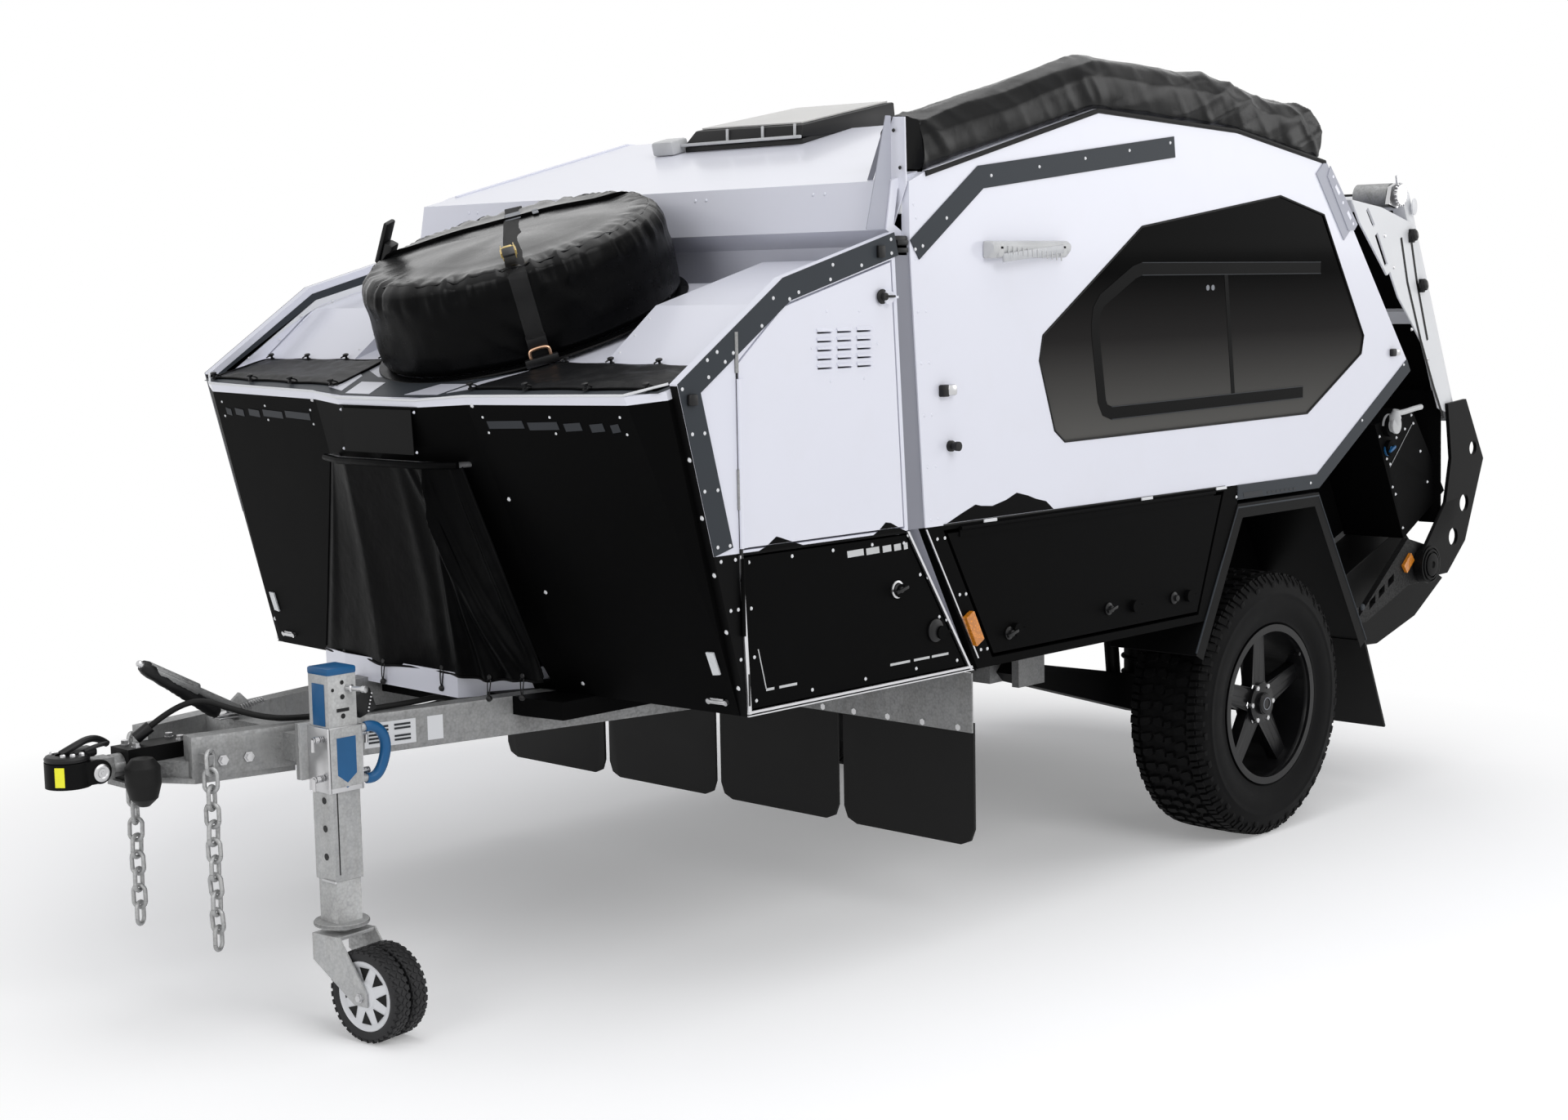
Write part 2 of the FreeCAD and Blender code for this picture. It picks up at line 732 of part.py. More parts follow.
def nose_front():
    shell = nose_volume(0).cut(nose_volume(SKIN))
    room = prism(under(well_line(), SKIN, SILL_Z), "y", -WELL_HALF, WELL_HALF)
    sides = prism(under(side_deck_line(), SKIN, SILL_Z), "y", WELL_HALF, INNER_Y)
    room = room.fuse(sides).fuse(right(sides))
    niche = prism(
        [(-NICHE_FOOT_HALF, SILL_Z - CUT_OVER), (NICHE_FOOT_HALF, SILL_Z - CUT_OVER),
         (NICHE_HEAD_HALF, NICHE_HEAD_Z), (-NICHE_HEAD_HALF, NICHE_HEAD_Z)],
        "x", NOSE_TOE_X - CUT_OVER, PROW_X + CUT_OVER)
    return shell.common(room).cut(niche).cut(nose_deck()).removeSplitter()


def nose_floor():
    low = nose_volume(SKIN).common(
        block(NOSE_HEEL_X, PROW_X, -INNER_Y, INNER_Y, SILL_Z, SILL_Z + SKIN))
    pan = prism(
        [(PAN_BACK_X, -PAN_HALF), (PAN_FRONT_X - SKIN, -PAN_HALF), (PAN_FRONT_X, -PAN_HALF + PAN_CHAMFER),
         (PAN_FRONT_X, PAN_HALF - PAN_CHAMFER), (PAN_FRONT_X - SKIN, PAN_HALF), (PAN_BACK_X, PAN_HALF)],
        "z", SILL_Z - PAN_DEPTH, SILL_Z)
    for side in (1, -1):
        tip = V(FRAME_NOSE_X, side * FRAME_NOSE_Y, RAIL_TOP_Z)
        root = V(CHASSIS_FRONT_X, side * CHASSIS_Y, RAIL_TOP_Z)
        pan = pan.cut(bar(tip, root, RAIL_WIDTH + FIT * 2, RAIL_HEIGHT))
    return low.fuse(pan).removeSplitter()


def nose_deck():
    sides = strip(side_deck_line(), SKIN, WELL_HALF, INNER_Y)
    well = strip(well_line(), SKIN, -WELL_HALF, WELL_HALF)
    top = side_deck_line()[1:]
    floor = well_line()[1:]
    web = prism(top + [(floor[-1][0], floor[-1][1] - SKIN)], "y", WELL_HALF, WELL_HALF + SKIN)
    foot = V(SPARE_X, 0, SPARE_Z)
    up = V(math.sin(math.radians(WELL_TILT)), 0, math.cos(math.radians(WELL_TILT)))
    seat = rod(foot - up * SPARE_SEAT, foot - up * FIT, SPARE_SEAT_RADIUS)
    whole = join([sides, right(sides), well, web, right(web), seat])
    return whole.common(nose_volume(0))


def nose_rear():
    line = [(NOSE_HEEL_X, SILL_Z), (NOSE_KNEE_X, SPLIT_Z), (NOSE_BACK_X, NOSE_BACK_Z)]
    wall = prism(line + offset_line(line, -SKIN)[::-1], "y", -INNER_Y, INNER_Y)
    well = well_line()[1:] + [(NOSE_HEEL_X, well_z(NOSE_BACK_X))]
    deck = side_deck_line()[1:] + [(NOSE_HEEL_X, DECK_BACK_Z)]
    room = prism(under(well, SKIN, SILL_Z + SKIN), "y", -WELL_HALF - SKIN, WELL_HALF + SKIN)
    sides = prism(under(deck, SKIN, SILL_Z + SKIN), "y", WELL_HALF + SKIN, INNER_Y)
    return wall.common(join([room, sides, right(sides)])).cut(nose_deck())


def upper_door_outline():
    """The upper nose door in side view, to the edge of its opening."""
    kink = (NOSE_KINK_X, NOSE_KINK_Z - BAND)
    line = [(NOSE_LIP_X - BAND, NOSE_LIP_Z - BAND), kink]
    rear = [(NOSE_KNEE_X, SPLIT_Z), (NOSE_BACK_X, NOSE_BACK_Z)]
    low = SPLIT_Z + RAIL / 2
    top_z = NOSE_BACK_Z - BAND
    back_z = top_z + RAIL * (kink[1] - top_z) / (kink[0] - NOSE_BACK_X)
    return [
        (NOSE_HINGE_X, low), (NOSE_HINGE_X, at_x(line[0], line[1], NOSE_HINGE_X)), kink,
        (at_z(rear[0], rear[1], top_z) + RAIL, back_z), (at_z(rear[0], rear[1], low) + RAIL, low),
    ]


def lower_door_outline():
    rear = [(NOSE_HEEL_X, SILL_Z), (NOSE_KNEE_X, SPLIT_Z)]
    high = SPLIT_Z - RAIL / 2
    low = SILL_Z + RAIL
    return [
        (NOSE_HINGE_X - RAIL, low), (NOSE_HINGE_X, high),
        (at_z(rear[0], rear[1], high) + RAIL, high), (at_z(rear[0], rear[1], low) + RAIL, low),
    ]


def nose_side():
    side = prism(NOSE_OUTLINE, "y", INNER_Y, HALF_WIDTH)
    for outline in (upper_door_outline(), lower_door_outline()):
        side = side.cut(prism(outline, "y", INNER_Y - CUT_OVER, HALF_WIDTH + CUT_OVER))
    return side


def side_hinge(x, low, high):
    """Leaf and barrel of an upright hinge that stands proud of the left wall."""
    leaf = block(x - HINGE_LEAF, x, HALF_WIDTH, HALF_WIDTH + LEAF_THICK, low, high)
    y = HALF_WIDTH + HINGE_RADIUS + FIT
    return leaf.fuse(rod(V(x, y, low), V(x, y, high), HINGE_RADIUS))


def latch(x, z):
    """Round turn latch on the left wall."""
    body = rod(V(x, HALF_WIDTH, z), V(x, HALF_WIDTH + LATCH_HEIGHT, z), LATCH_RADIUS)
    bow = block(x - LATCH_RADIUS * 2, x, HALF_WIDTH + LATCH_HEIGHT / 2, HALF_WIDTH + LATCH_HEIGHT,
                z - LEAF_THICK, z + LEAF_THICK)
    return body.fuse(bow)


def louvre(x, z):
    """Hood of one vent of the upper door, left side."""
    back = HALF_WIDTH - LEAF_THICK
    low = z - LOUVRE_HEIGHT
    return prism([(back, z), (HALF_WIDTH, z), (HALF_WIDTH + LOUVRE_DEPTH, low), (back, low)],
                 "x", x, x + LOUVRE_WIDTH)


def louvre_slot(x, z):
    low = z - LOUVRE_HEIGHT
    return block(x + LEAF_THICK, x + LOUVRE_WIDTH - LEAF_THICK, INNER_Y - CUT_OVER, HALF_WIDTH + CUT_OVER,
                 low - LOUVRE_SLOT, low)


def upper_door():
    outline = inset(upper_door_outline(), SEAM)
    door = prism(outline, "y", INNER_Y, HALF_WIDTH)
    top = outline[1][1]
    low = outline[0][1]
    hinge = side_hinge(NOSE_HINGE_X, low, top - LATCH_RADIUS * 2)
    hoods = []
    slots = []
    for column in range(LOUVRE_COLUMNS):
        for row in range(LOUVRE_ROWS):
            x = LOUVRE_BACK_X + LOUVRE_PITCH_X * column
            z = LOUVRE_TOP_Z - LOUVRE_PITCH_Z * row
            hoods.append(louvre(x, z))
            slots.append(louvre_slot(x, z))
    whole = join([door, hinge, latch(NOSE_BACK_X + KNOB_SET, NOSE_BACK_Z - KNOB_DROP)] + hoods)
    return whole.cut(group(slots)).removeSplitter()


def lower_door():
    outline = inset(lower_door_outline(), SEAM)
    door = prism(outline, "y", INNER_Y, HALF_WIDTH)
    hinge = side_hinge(NOSE_HINGE_X, (SILL_Z + SPLIT_Z) / 2, SPLIT_Z - RAIL)
    high, low = [SILL_Z + (SPLIT_Z - SILL_Z) * share for share in LOWER_LATCH_SHARES]
    return join([door, hinge, latch(NOSE_BACK_X, high), latch(NOSE_KNEE_X - LOWER_LATCH_SET, low)])


def cover_line(z_share):
    """Outer line of the front cover at a share of its height, 0 at the top."""
    top = [(COVER_SIDE_X, COVER_TOP_SIDE), (COVER_TOP_X, COVER_TOP_HALF)]
    foot = [(COVER_FOOT_SIDE_X, COVER_FOOT_SIDE), (COVER_FOOT_X, COVER_FOOT_HALF)]
    half = [(a[0] + (b[0] - a[0]) * z_share, a[1] + (b[1] - a[1]) * z_share) for a, b in zip(top, foot)]
    return half + [(x, -y) for x, y in half[::-1]]


def front_cover():
    """Soft cover before the niche: a plain folded curtain."""
    wires = []
    top_z = NICHE_HEAD_Z - COVER_RAIL_RADIUS - FIT
    for share, z in ((0.0, top_z), (1.0, COVER_FOOT_Z)):
        line = cover_line(share)
        back = offset_line(line, -COVER_THICK)
        corners = [V(x, y, z) for x, y in line + back[::-1]]
        wires.append(Part.makePolygon(corners + [corners[0]]))
    return Part.makeLoft(wires, True, True)


def cover_rail():
    line = [V(x, y, NICHE_HEAD_Z) for x, y in cover_line(0.0)]
    pieces = [rod(a, b, COVER_RAIL_RADIUS) for a, b in zip(line, line[1:])]
    pieces += [Part.makeSphere(COVER_RAIL_RADIUS, p) for p in line[1:-1]]
    rail = join(pieces)
    for end in (line[0], line[-1]):
        inner = V(end.x - SKIN * 3, end.y, end.z)
        rail = rail.fuse(rod(V(end.x + COVER_RAIL_RADIUS, end.y, end.z), inner, COVER_RAIL_RADIUS))
    return rail.cut(nose_volume(0)).removeSplitter()


def deck_covers():
    """Soft covers on the shelf, one each side."""
    front = FACET_X - DECK_COVER_SET
    back = SHELF_BACK_X + DECK_COVER_BACK
    line = [(front, shelf_z(front) + FIT), (back, shelf_z(back) + FIT)]
    cover = prism(line + [(x, z + DECK_COVER_THICK) for x, z in line[::-1]],
                  "y", DECK_COVER_INNER, DECK_COVER_OUTER)
    toe = prism(
        [(back - SKIN, DECK_COVER_INNER), (front, DECK_COVER_INNER),
         (front - DECK_COVER_TOE, DECK_COVER_OUTER), (back - SKIN, DECK_COVER_OUTER)],
        "z", SILL_Z, NOSE_BACK_Z)
    return pair(cover.common(toe))


def spare_cover():
    """Covered spare wheel that lies in the well of the nose deck."""
    r, h, c = SPARE_RADIUS, SPARE_HEIGHT, SPARE_ROUND
    outline = [V(0, 0, 0), V(r - c, 0, 0), V(r, 0, c), V(r, 0, h - c), V(r - c, 0, h), V(0, 0, h)]
    edges = [
        Part.makeLine(outline[0], outline[1]),
        Part.Arc(outline[1], V(r - c + c * math.sin(math.pi / 4), 0, c - c * math.cos(math.pi / 4)),
                 outline[2]).toShape(),
        Part.makeLine(outline[2], outline[3]),
        Part.Arc(outline[3], V(r - c + c * math.sin(math.pi / 4), 0, h - c + c * math.cos(math.pi / 4)),
                 outline[4]).toShape(),
        Part.makeLine(outline[4], outline[5]),
        Part.makeLine(outline[5], outline[0]),
    ]
    disc = Part.Face(Part.Wire(edges)).revolve(V(0, 0, 0), V(0, 0, 1), 360)
    disc.rotate(V(0, 0, 0), V(0, 1, 0), WELL_TILT)
    disc.translate(V(SPARE_X, 0, SPARE_Z))
    return disc


def window_outline(shares):
    return [(WINDOW_X0 + (WINDOW_X1 - WINDOW_X0) * a, WINDOW_Z0 + (WINDOW_Z1 - WINDOW_Z0) * b)
            for a, b in shares]


def body_side():
    side = prism(BODY_OUTLINE, "y", INNER_Y, HALF_WIDTH)
    return side.cut(prism(window_outline(WINDOW_SHARES), "y", INNER_Y - CUT_OVER, HALF_WIDTH + CUT_OVER))


def window_pane():
    face = HALF_WIDTH - PANE_INSET
    return prism(window_outline(WINDOW_SHARES), "y", face - PANE, face)


def window_bars():
    """Slim frame of the opening part of the window, behind the pane."""
    y1 = HALF_WIDTH - PANE_INSET - PANE
    y0 = y1 - INNER_BAR + INNER_GAP
    line = window_outline(INNER_SHARES)
    bars = prism(line, "y", y0, y1).cut(prism(inset(line, INNER_BAR), "y", y0 - WALL, y1 + WALL))
    post = window_outline(INNER_POST_SHARES)
    return bars.fuse(prism(post + offset_line(post, -INNER_BAR)[::-1], "y", y0, y1)).removeSplitter()


def locker_outline():
    rear = [(LOCKER_BACK_TOP_X, SPLIT_Z), (LOCKER_BACK_LOW_X, LOCKER_LOW_Z)]
    high = SPLIT_Z - RAIL
    return [
        (LOCKER_FRONT_LOW_X, LOCKER_LOW_Z), (LOCKER_BACK_LOW_X, LOCKER_LOW_Z),
        (at_z(rear[0], rear[1], high), high), (LOCKER_FRONT_TOP_X, high),
    ]


def lower_side():
    """Black lower wall with the locker opening, forward of the wheel."""
    leg = [(ARCH_FRONT_FOOT_X, ARCH_FRONT_FOOT_Z), (ARCH_TOP_FRONT_X, ARCH_TOP_Z)]
    outline = [
        (BODY_HEEL_X, SILL_Z), (at_z(leg[0], leg[1], SILL_Z), SILL_Z), leg[1],
        (ARCH_TOP_FRONT_X, SPLIT_Z), (BODY_KNEE_X, SPLIT_Z),
    ]
    side = prism(outline, "y", INNER_Y, HALF_WIDTH)
    side = side.cut(prism(locker_outline(), "y", INNER_Y - CUT_OVER, HALF_WIDTH + CUT_OVER))
    floor = prism(outline, "y", TUB_HALF + TUB_SHEET, INNER_Y)
    low = block(ARCH_TOP_BACK_X, BODY_FRONT_X, TUB_HALF, HALF_WIDTH, SILL_Z, SILL_Z + TUB_SHEET)
    floor = floor.common(low)
    return side.fuse(floor).cut(mudguard()).removeSplitter()


def locker_door():
    outline = inset(locker_outline(), LOCKER_SEAM)
    door = prism(outline, "y", HALF_WIDTH - LOCKER_DOOR, HALF_WIDTH)
    z = SPLIT_Z - RAIL
    y = HALF_WIDTH + HINGE_RADIUS + FIT
    x0 = LOCKER_BACK_TOP_X + BAND
    x1 = LOCKER_FRONT_TOP_X - BAND
    leaf = block(x0, x1, HALF_WIDTH, HALF_WIDTH + LEAF_THICK, z - HINGE_LEAF, z)
    barrel = rod(V(x0, y, z), V(x1, y, z), HINGE_RADIUS)
    span = LOCKER_FRONT_LOW_X - LOCKER_BACK_LOW_X
    locks = [latch(LOCKER_BACK_LOW_X + span * share, LOCKER_LOW_Z + BAND) for share in LOCKER_LATCH_SHARES]
    return join([door, leaf, barrel] + locks)


def body_front():
    line = [
        (BROW_TOP_X, at_x(ROOF_LINE[0], ROOF_LINE[1], BROW_TOP_X)), (BROW_LIP_X, BROW_LIP_Z),
        (BODY_FRONT_X - SEAM * 2, BODY_NOTCH_Z), (BODY_KNEE_X, SPLIT_Z), (BODY_HEEL_X, SILL_Z),
    ]
    wall = strip(line, -WALL, -INNER_Y, INNER_Y)
    upper = block(BODY_HEEL_X - PROW_X, PROW_X, -INNER_Y, INNER_Y, SILL_Z + TUB_SHEET, PEAK_Z)
    return wall.common(upper)


def body_roof():
    front = (BROW_TOP_X, at_x(ROOF_LINE[0], ROOF_LINE[1], BROW_TOP_X))
    line = [front] + ROOF_LINE[1:]
    roof = strip(line, WALL, -INNER_Y, INNER_Y)
    roof = roof.cut(strip([front, (BROW_LIP_X, BROW_LIP_Z)], -WALL, -INNER_Y, INNER_Y))
    hole = block(HATCH_BACK_X + HATCH_FRAME, HATCH_FRONT_X - HATCH_FRAME, HATCH_RIGHT_Y + HATCH_FRAME,
                 HATCH_LEFT_Y - HATCH_FRAME, CREST_Z - HATCH_CUT, PEAK_Z + WALL)
    return roof.cut(hole)


def rear_hatch():
    whole = strip([TAIL_LINE[0], (TAIL_END_X, TAIL_END_Z)], WALL, -INNER_Y, INNER_Y)
    below = block(TAIL_END_X - BAND, TAIL_TOP_X, TUB_HALF, HALF_WIDTH, TAIL_END_Z - BAND, TAIL_KNEE_Z)
    whole = whole.cut(below).cut(right(below)).cut(body_roof())
    tail = block(TAIL_END_X - BAND, TAIL_TOP_X + WALL, -HALF_WIDTH, HALF_WIDTH, TAIL_END_Z, TAIL_TOP_Z)
    return whole.common(tail).cut(tub_floor())


def tub_side_outline():
    return [
        (BODY_KNEE_X - TUB_FRONT_SET, SPLIT_Z), (BODY_HEEL_X - TUB_FRONT_SET, TUB_FLOOR_Z + TUB_SHEET),
        (TUB_RISE_X, TUB_FLOOR_Z + TUB_SHEET), (TAIL_END_X, TAIL_END_Z), (TAIL_KNEE_X, TAIL_KNEE_Z),
        (TAIL_LOW_X, SPLIT_Z),
    ]


def tub_floor():
    line = [(BODY_HEEL_X, TUB_FLOOR_Z), (TUB_RISE_X, TUB_FLOOR_Z), (TAIL_END_X, TAIL_END_Z)]
    return strip(line[::-1], TUB_SHEET, -TUB_HALF - TUB_SHEET, TUB_HALF + TUB_SHEET)


def tub_side():
    wall = prism(tub_side_outline(), "y", TUB_HALF, TUB_HALF + TUB_SHEET)
    shelf_line = [(BODY_KNEE_X - TUB_FRONT_SET, SPLIT_Z), (TAIL_LOW_X, SPLIT_Z), (TAIL_KNEE_X, TAIL_KNEE_Z)]
    shelf = strip(shelf_line, TUB_SHEET, TUB_HALF, INNER_Y)
    hatch = strip([TAIL_LINE[0], (TAIL_END_X, TAIL_END_Z)], WALL, -INNER_Y, INNER_Y)
    return join([wall, shelf]).cut(hatch).cut(tub_floor()).cut(body_front())


def galley_box():
    outline = [
        (GALLEY_TOP_FRONT_X, GALLEY_TOP_FRONT_Z), (GALLEY_TOP_BACK_X, GALLEY_TOP_BACK_Z),
        (GALLEY_LOW_BACK_X, GALLEY_LOW_BACK_Z), (GALLEY_LOW_FRONT_X, GALLEY_LOW_FRONT_Z),
    ]
    return prism(outline, "y", TUB_HALF + TUB_SHEET, GALLEY_Y)


def galley_fittings():
    """Hand pump with its spout, and the water filler's cap, on the left galley panel."""
    out = GALLEY_Y + PUMP_HEIGHT
    pump = rod(V(PUMP_X, GALLEY_Y, PUMP_Z), V(PUMP_X, out, PUMP_Z), PUMP_RADIUS)
    y = out - SPOUT_RADIUS
    spout = rod(V(PUMP_X, y, PUMP_Z), V(SPOUT_BACK_X, y, SPOUT_Z), SPOUT_RADIUS)
    cap = rod(V(FILLER_X, GALLEY_Y, FILLER_Z), V(FILLER_X, GALLEY_Y + FILLER_HEIGHT, FILLER_Z), FILLER_RADIUS)
    return [pump, spout, cap]


def rear_tray():
    top = (BOSS_X, at_x((TUB_RISE_X, TUB_FLOOR_Z), (TAIL_END_X, TAIL_END_Z), BOSS_X))
    outline = [(TUB_RISE_X, TUB_FLOOR_Z)] + TRAY_LOW_LINE + [(TAIL_END_X, TRAY_TAIL_Z), top]
    return prism(outline, "y", -TRAY_HALF, TRAY_HALF).cut(tub_floor())


def guard_outline():
    return [
        (ARCH_FRONT_FOOT_X, ARCH_FRONT_FOOT_Z), (ARCH_TOP_FRONT_X, ARCH_TOP_Z),
        (ARCH_TOP_BACK_X, ARCH_TOP_Z), (ARCH_BACK_FOOT_X, ARCH_BACK_FOOT_Z),
    ]


def mudguard():
    """Folded mudguard with a face flange round the wheel opening."""
    line = guard_outline()
    sheet = strip(line, GUARD_SHEET, TUB_HALF + TUB_SHEET, HALF_WIDTH)
    face = strip(line, GUARD_FACE, HALF_WIDTH, HALF_WIDTH + TRIM)
    return sheet.fuse(face).removeSplitter()


def mudflap():
    top = (ARCH_BACK_FOOT_X, ARCH_BACK_FOOT_Z)
    line = [top, (MUDFLAP_LOW_X, MUDFLAP_LOW_Z)]
    return strip(line, FLAP_THICK, TUB_HALF + TUB_SHEET * 2, HALF_WIDTH).cut(mudguard())


def trim_bands():
    """Dark riveted bands: round the nose, over the window, along the tail."""
    y0, y1 = HALF_WIDTH, HALF_WIDTH + TRIM
    outer = [(NOSE_TOE_X, SILL_Z), (NOSE_LIP_X, NOSE_LIP_Z), (NOSE_KINK_X, NOSE_KINK_Z),
             (NOSE_BACK_X, NOSE_BACK_Z)]
    nose = strip(outer[1:], BAND - SEAM, y0, y1)
    leg = strip([(at_z(outer[0], outer[1], SPLIT_Z), SPLIT_Z), outer[1]], BAND, y0, y1)
    end_x = WINDOW_X0 + (WINDOW_X1 - WINDOW_X0) * BROW_BAND_SHARE
    over = strip([(BODY_FRONT_X, BODY_NOTCH_Z + RAIL), (BODY_BROW_X - BROW_BAND_RUN, BODY_BROW_Z + RAIL),
                  (end_x, PEAK_Z - BAND)], TRIM_WIDTH, y0, y1)
    tail = strip([(ARCH_TOP_FRONT_X, SPLIT_Z), (TAIL_LOW_X, SPLIT_Z), (TAIL_KNEE_X, TAIL_KNEE_Z)],
                 TAIL_BAND, y0, y1)
    return group([nose.fuse(leg).removeSplitter(), over, tail])


def corner_rail():
    """Upright channel that closes the gap between nose and body."""
    line_front = [(NOSE_KNEE_X, SPLIT_Z), (NOSE_BACK_X, NOSE_BACK_Z)]
    line_back = [(BODY_KNEE_X, SPLIT_Z), (BODY_FRONT_X, BODY_NOTCH_Z)]
    top = BODY_NOTCH_Z
    outline = [
        (line_front[0][0], SPLIT_Z), (at_z(line_front[0], line_front[1], top), top),
        (BODY_FRONT_X, top), (line_back[0][0], SPLIT_Z),
    ]
    return prism(outline, "y", INNER_Y, HALF_WIDTH - CORNER_GAP)


def bar(a, b, width, height):
    """Square bar between two points at its top, standing upright."""
    way = b - a
    length = math.hypot(way.x, way.y)
    body = Part.makeBox(way.Length, width, height, V(0, -width / 2, -height))
    body.rotate(V(0, 0, 0), V(0, 1, 0), -math.degrees(math.atan2(way.z, length)))
    body.rotate(V(0, 0, 0), V(0, 0, 1), math.degrees(math.atan2(way.y, way.x)))
    body.translate(a)
    return body


def drawbar():
    """A-frame drawbar with its nose plate, cross members and jockey bracket."""
    z = RAIL_TOP_Z
    low = z - RAIL_HEIGHT
    tip = V(FRAME_NOSE_X, FRAME_NOSE_Y, z)
    root = V(CHASSIS_FRONT_X, CHASSIS_Y, z)
    left_rail = bar(tip, root, RAIL_WIDTH, RAIL_HEIGHT)
    back_x = LEVER_X - CROSS_WIDTH
    neck = BLOCK_FRONT_X - BAND
    plate = prism(
        [(NOSE_PLATE_TIP_X, -BLOCK_HALF), (NOSE_PLATE_TIP_X, BLOCK_HALF), (neck, BLOCK_HALF),
         (FRAME_NOSE_X, rail_y(FRAME_NOSE_X) + RAIL_WIDTH / 2), (back_x, rail_y(back_x) + RAIL_WIDTH / 2),
         (back_x, -rail_y(back_x) - RAIL_WIDTH / 2), (FRAME_NOSE_X, -rail_y(FRAME_NOSE_X) - RAIL_WIDTH / 2),
         (neck, -BLOCK_HALF)],
        "z", low - NOSE_PLATE, low)
    cross = cross_piece(LEVER_X, z)
    tie = cross_piece(PAN_FRONT_X - CROSS_WIDTH * 4, z - PAN_DEPTH)
    gussets = []
    for side in (1, -1):
        y0 = side * BLOCK_HALF
        front = BLOCK_FRONT_X - BAND
        gussets.append(prism([(BLOCK_BACK_X, y0), (front, y0), (FRAME_NOSE_X, side * FRAME_NOSE_Y),
                              (BLOCK_BACK_X, side * rail_y(BLOCK_BACK_X))], "z", low, low + BLOCK_HEIGHT / 2))
    lugs = [lug(side) for side in (1, -1)]
    post_y = POST_Y - POST_SIDE / 2 - BRACKET_SHEET - FIT
    rail_face = rail_y(POST_X)
    arm = block(POST_X - BRACKET_SIDE / 3, POST_X + BRACKET_SIDE / 3, rail_face, post_y - BRACKET_SHEET,
                SWING_Z - RAIL_HEIGHT / 3, SWING_Z + RAIL_HEIGHT / 3)
    face = block(POST_X - BRACKET_SIDE / 2, POST_X + BRACKET_SIDE / 2, post_y - BRACKET_SHEET, post_y,
                 SWING_Z - BRACKET_SIDE / 2, SWING_Z + BRACKET_SIDE / 2)
    pin = rod(V(POST_X, post_y - BRACKET_SHEET, SWING_Z), V(POST_X, post_y + BRACKET_SHEET, SWING_Z),
              PIVOT_RADIUS)
    whole = join([left_rail, right(left_rail), plate, cross, tie] + gussets + lugs + [arm, face, pin])
    behind = block(CHASSIS_FRONT_X - BAND, CHASSIS_FRONT_X, -HALF_WIDTH, HALF_WIDTH, 0, z + BAND)
    return whole.cut(behind)


def rail_y(x):
    """Middle of the left drawbar rail at a place along x."""
    return FRAME_NOSE_Y + (CHASSIS_Y - FRAME_NOSE_Y) * (FRAME_NOSE_X - x) / (FRAME_NOSE_X - CHASSIS_FRONT_X)


def cross_piece(x, top):
    return prism([(x, -rail_y(x)), (x, rail_y(x)), (x - CROSS_WIDTH, rail_y(x - CROSS_WIDTH)),
                  (x - CROSS_WIDTH, -rail_y(x - CROSS_WIDTH))], "z", RAIL_TOP_Z - RAIL_HEIGHT, top)


def lug(side):
    """Eye for a safety chain, on the outer face of a drawbar rail."""
    z = RAIL_TOP_Z - RAIL_HEIGHT / 2
    y0 = side * rail_y(CHAIN_X)
    y1 = side * (CHAIN_Y + RAIL_WIDTH / 2 + LINK_WIDTH / 2)
    return block(CHAIN_X - LINK_WIRE / 2, CHAIN_X + LINK_WIRE / 2, min(y0, y1), max(y0, y1),
                 z - LINK_WIRE, z + LINK_WIRE)


def link(y, top, across):
    """One flat-sided chain link that hangs from a height."""
    long = LINK_LENGTH
    wide = LINK_WIDTH
    wire = LINK_WIRE
    corner = wide * LINK_CORNER_SHARE
    outer = [
        (-wide / 2, -long + corner), (-wide / 2 + corner, -long), (wide / 2 - corner, -long),
        (wide / 2, -long + corner), (wide / 2, -corner), (wide / 2 - corner, 0),
        (-wide / 2 + corner, 0), (-wide / 2, -corner),
    ]
    ring = prism(outer, "y", -wire / 2, wire / 2)
    ring = ring.cut(prism(inset(outer, wire), "y", -wire, wire))
    if across:
        ring.rotate(V(0, 0, 0), V(0, 0, 1), 90)
    ring.translate(V(CHAIN_X, y, top))
    return ring


def chain(side):
    y = side * (CHAIN_Y + RAIL_WIDTH / 2 + LINK_WIDTH / 2 - LINK_WIRE / 2)
    top = RAIL_TOP_Z - RAIL_HEIGHT / 2 + LINK_WIRE * LINK_SEAT_SHARE + FIT
    pitch = LINK_LENGTH - LINK_WIRE * 2 + LINK_SINK
    return join([link(y, top - pitch * i, i % 2 == 1) for i in range(CHAIN_LINKS)])


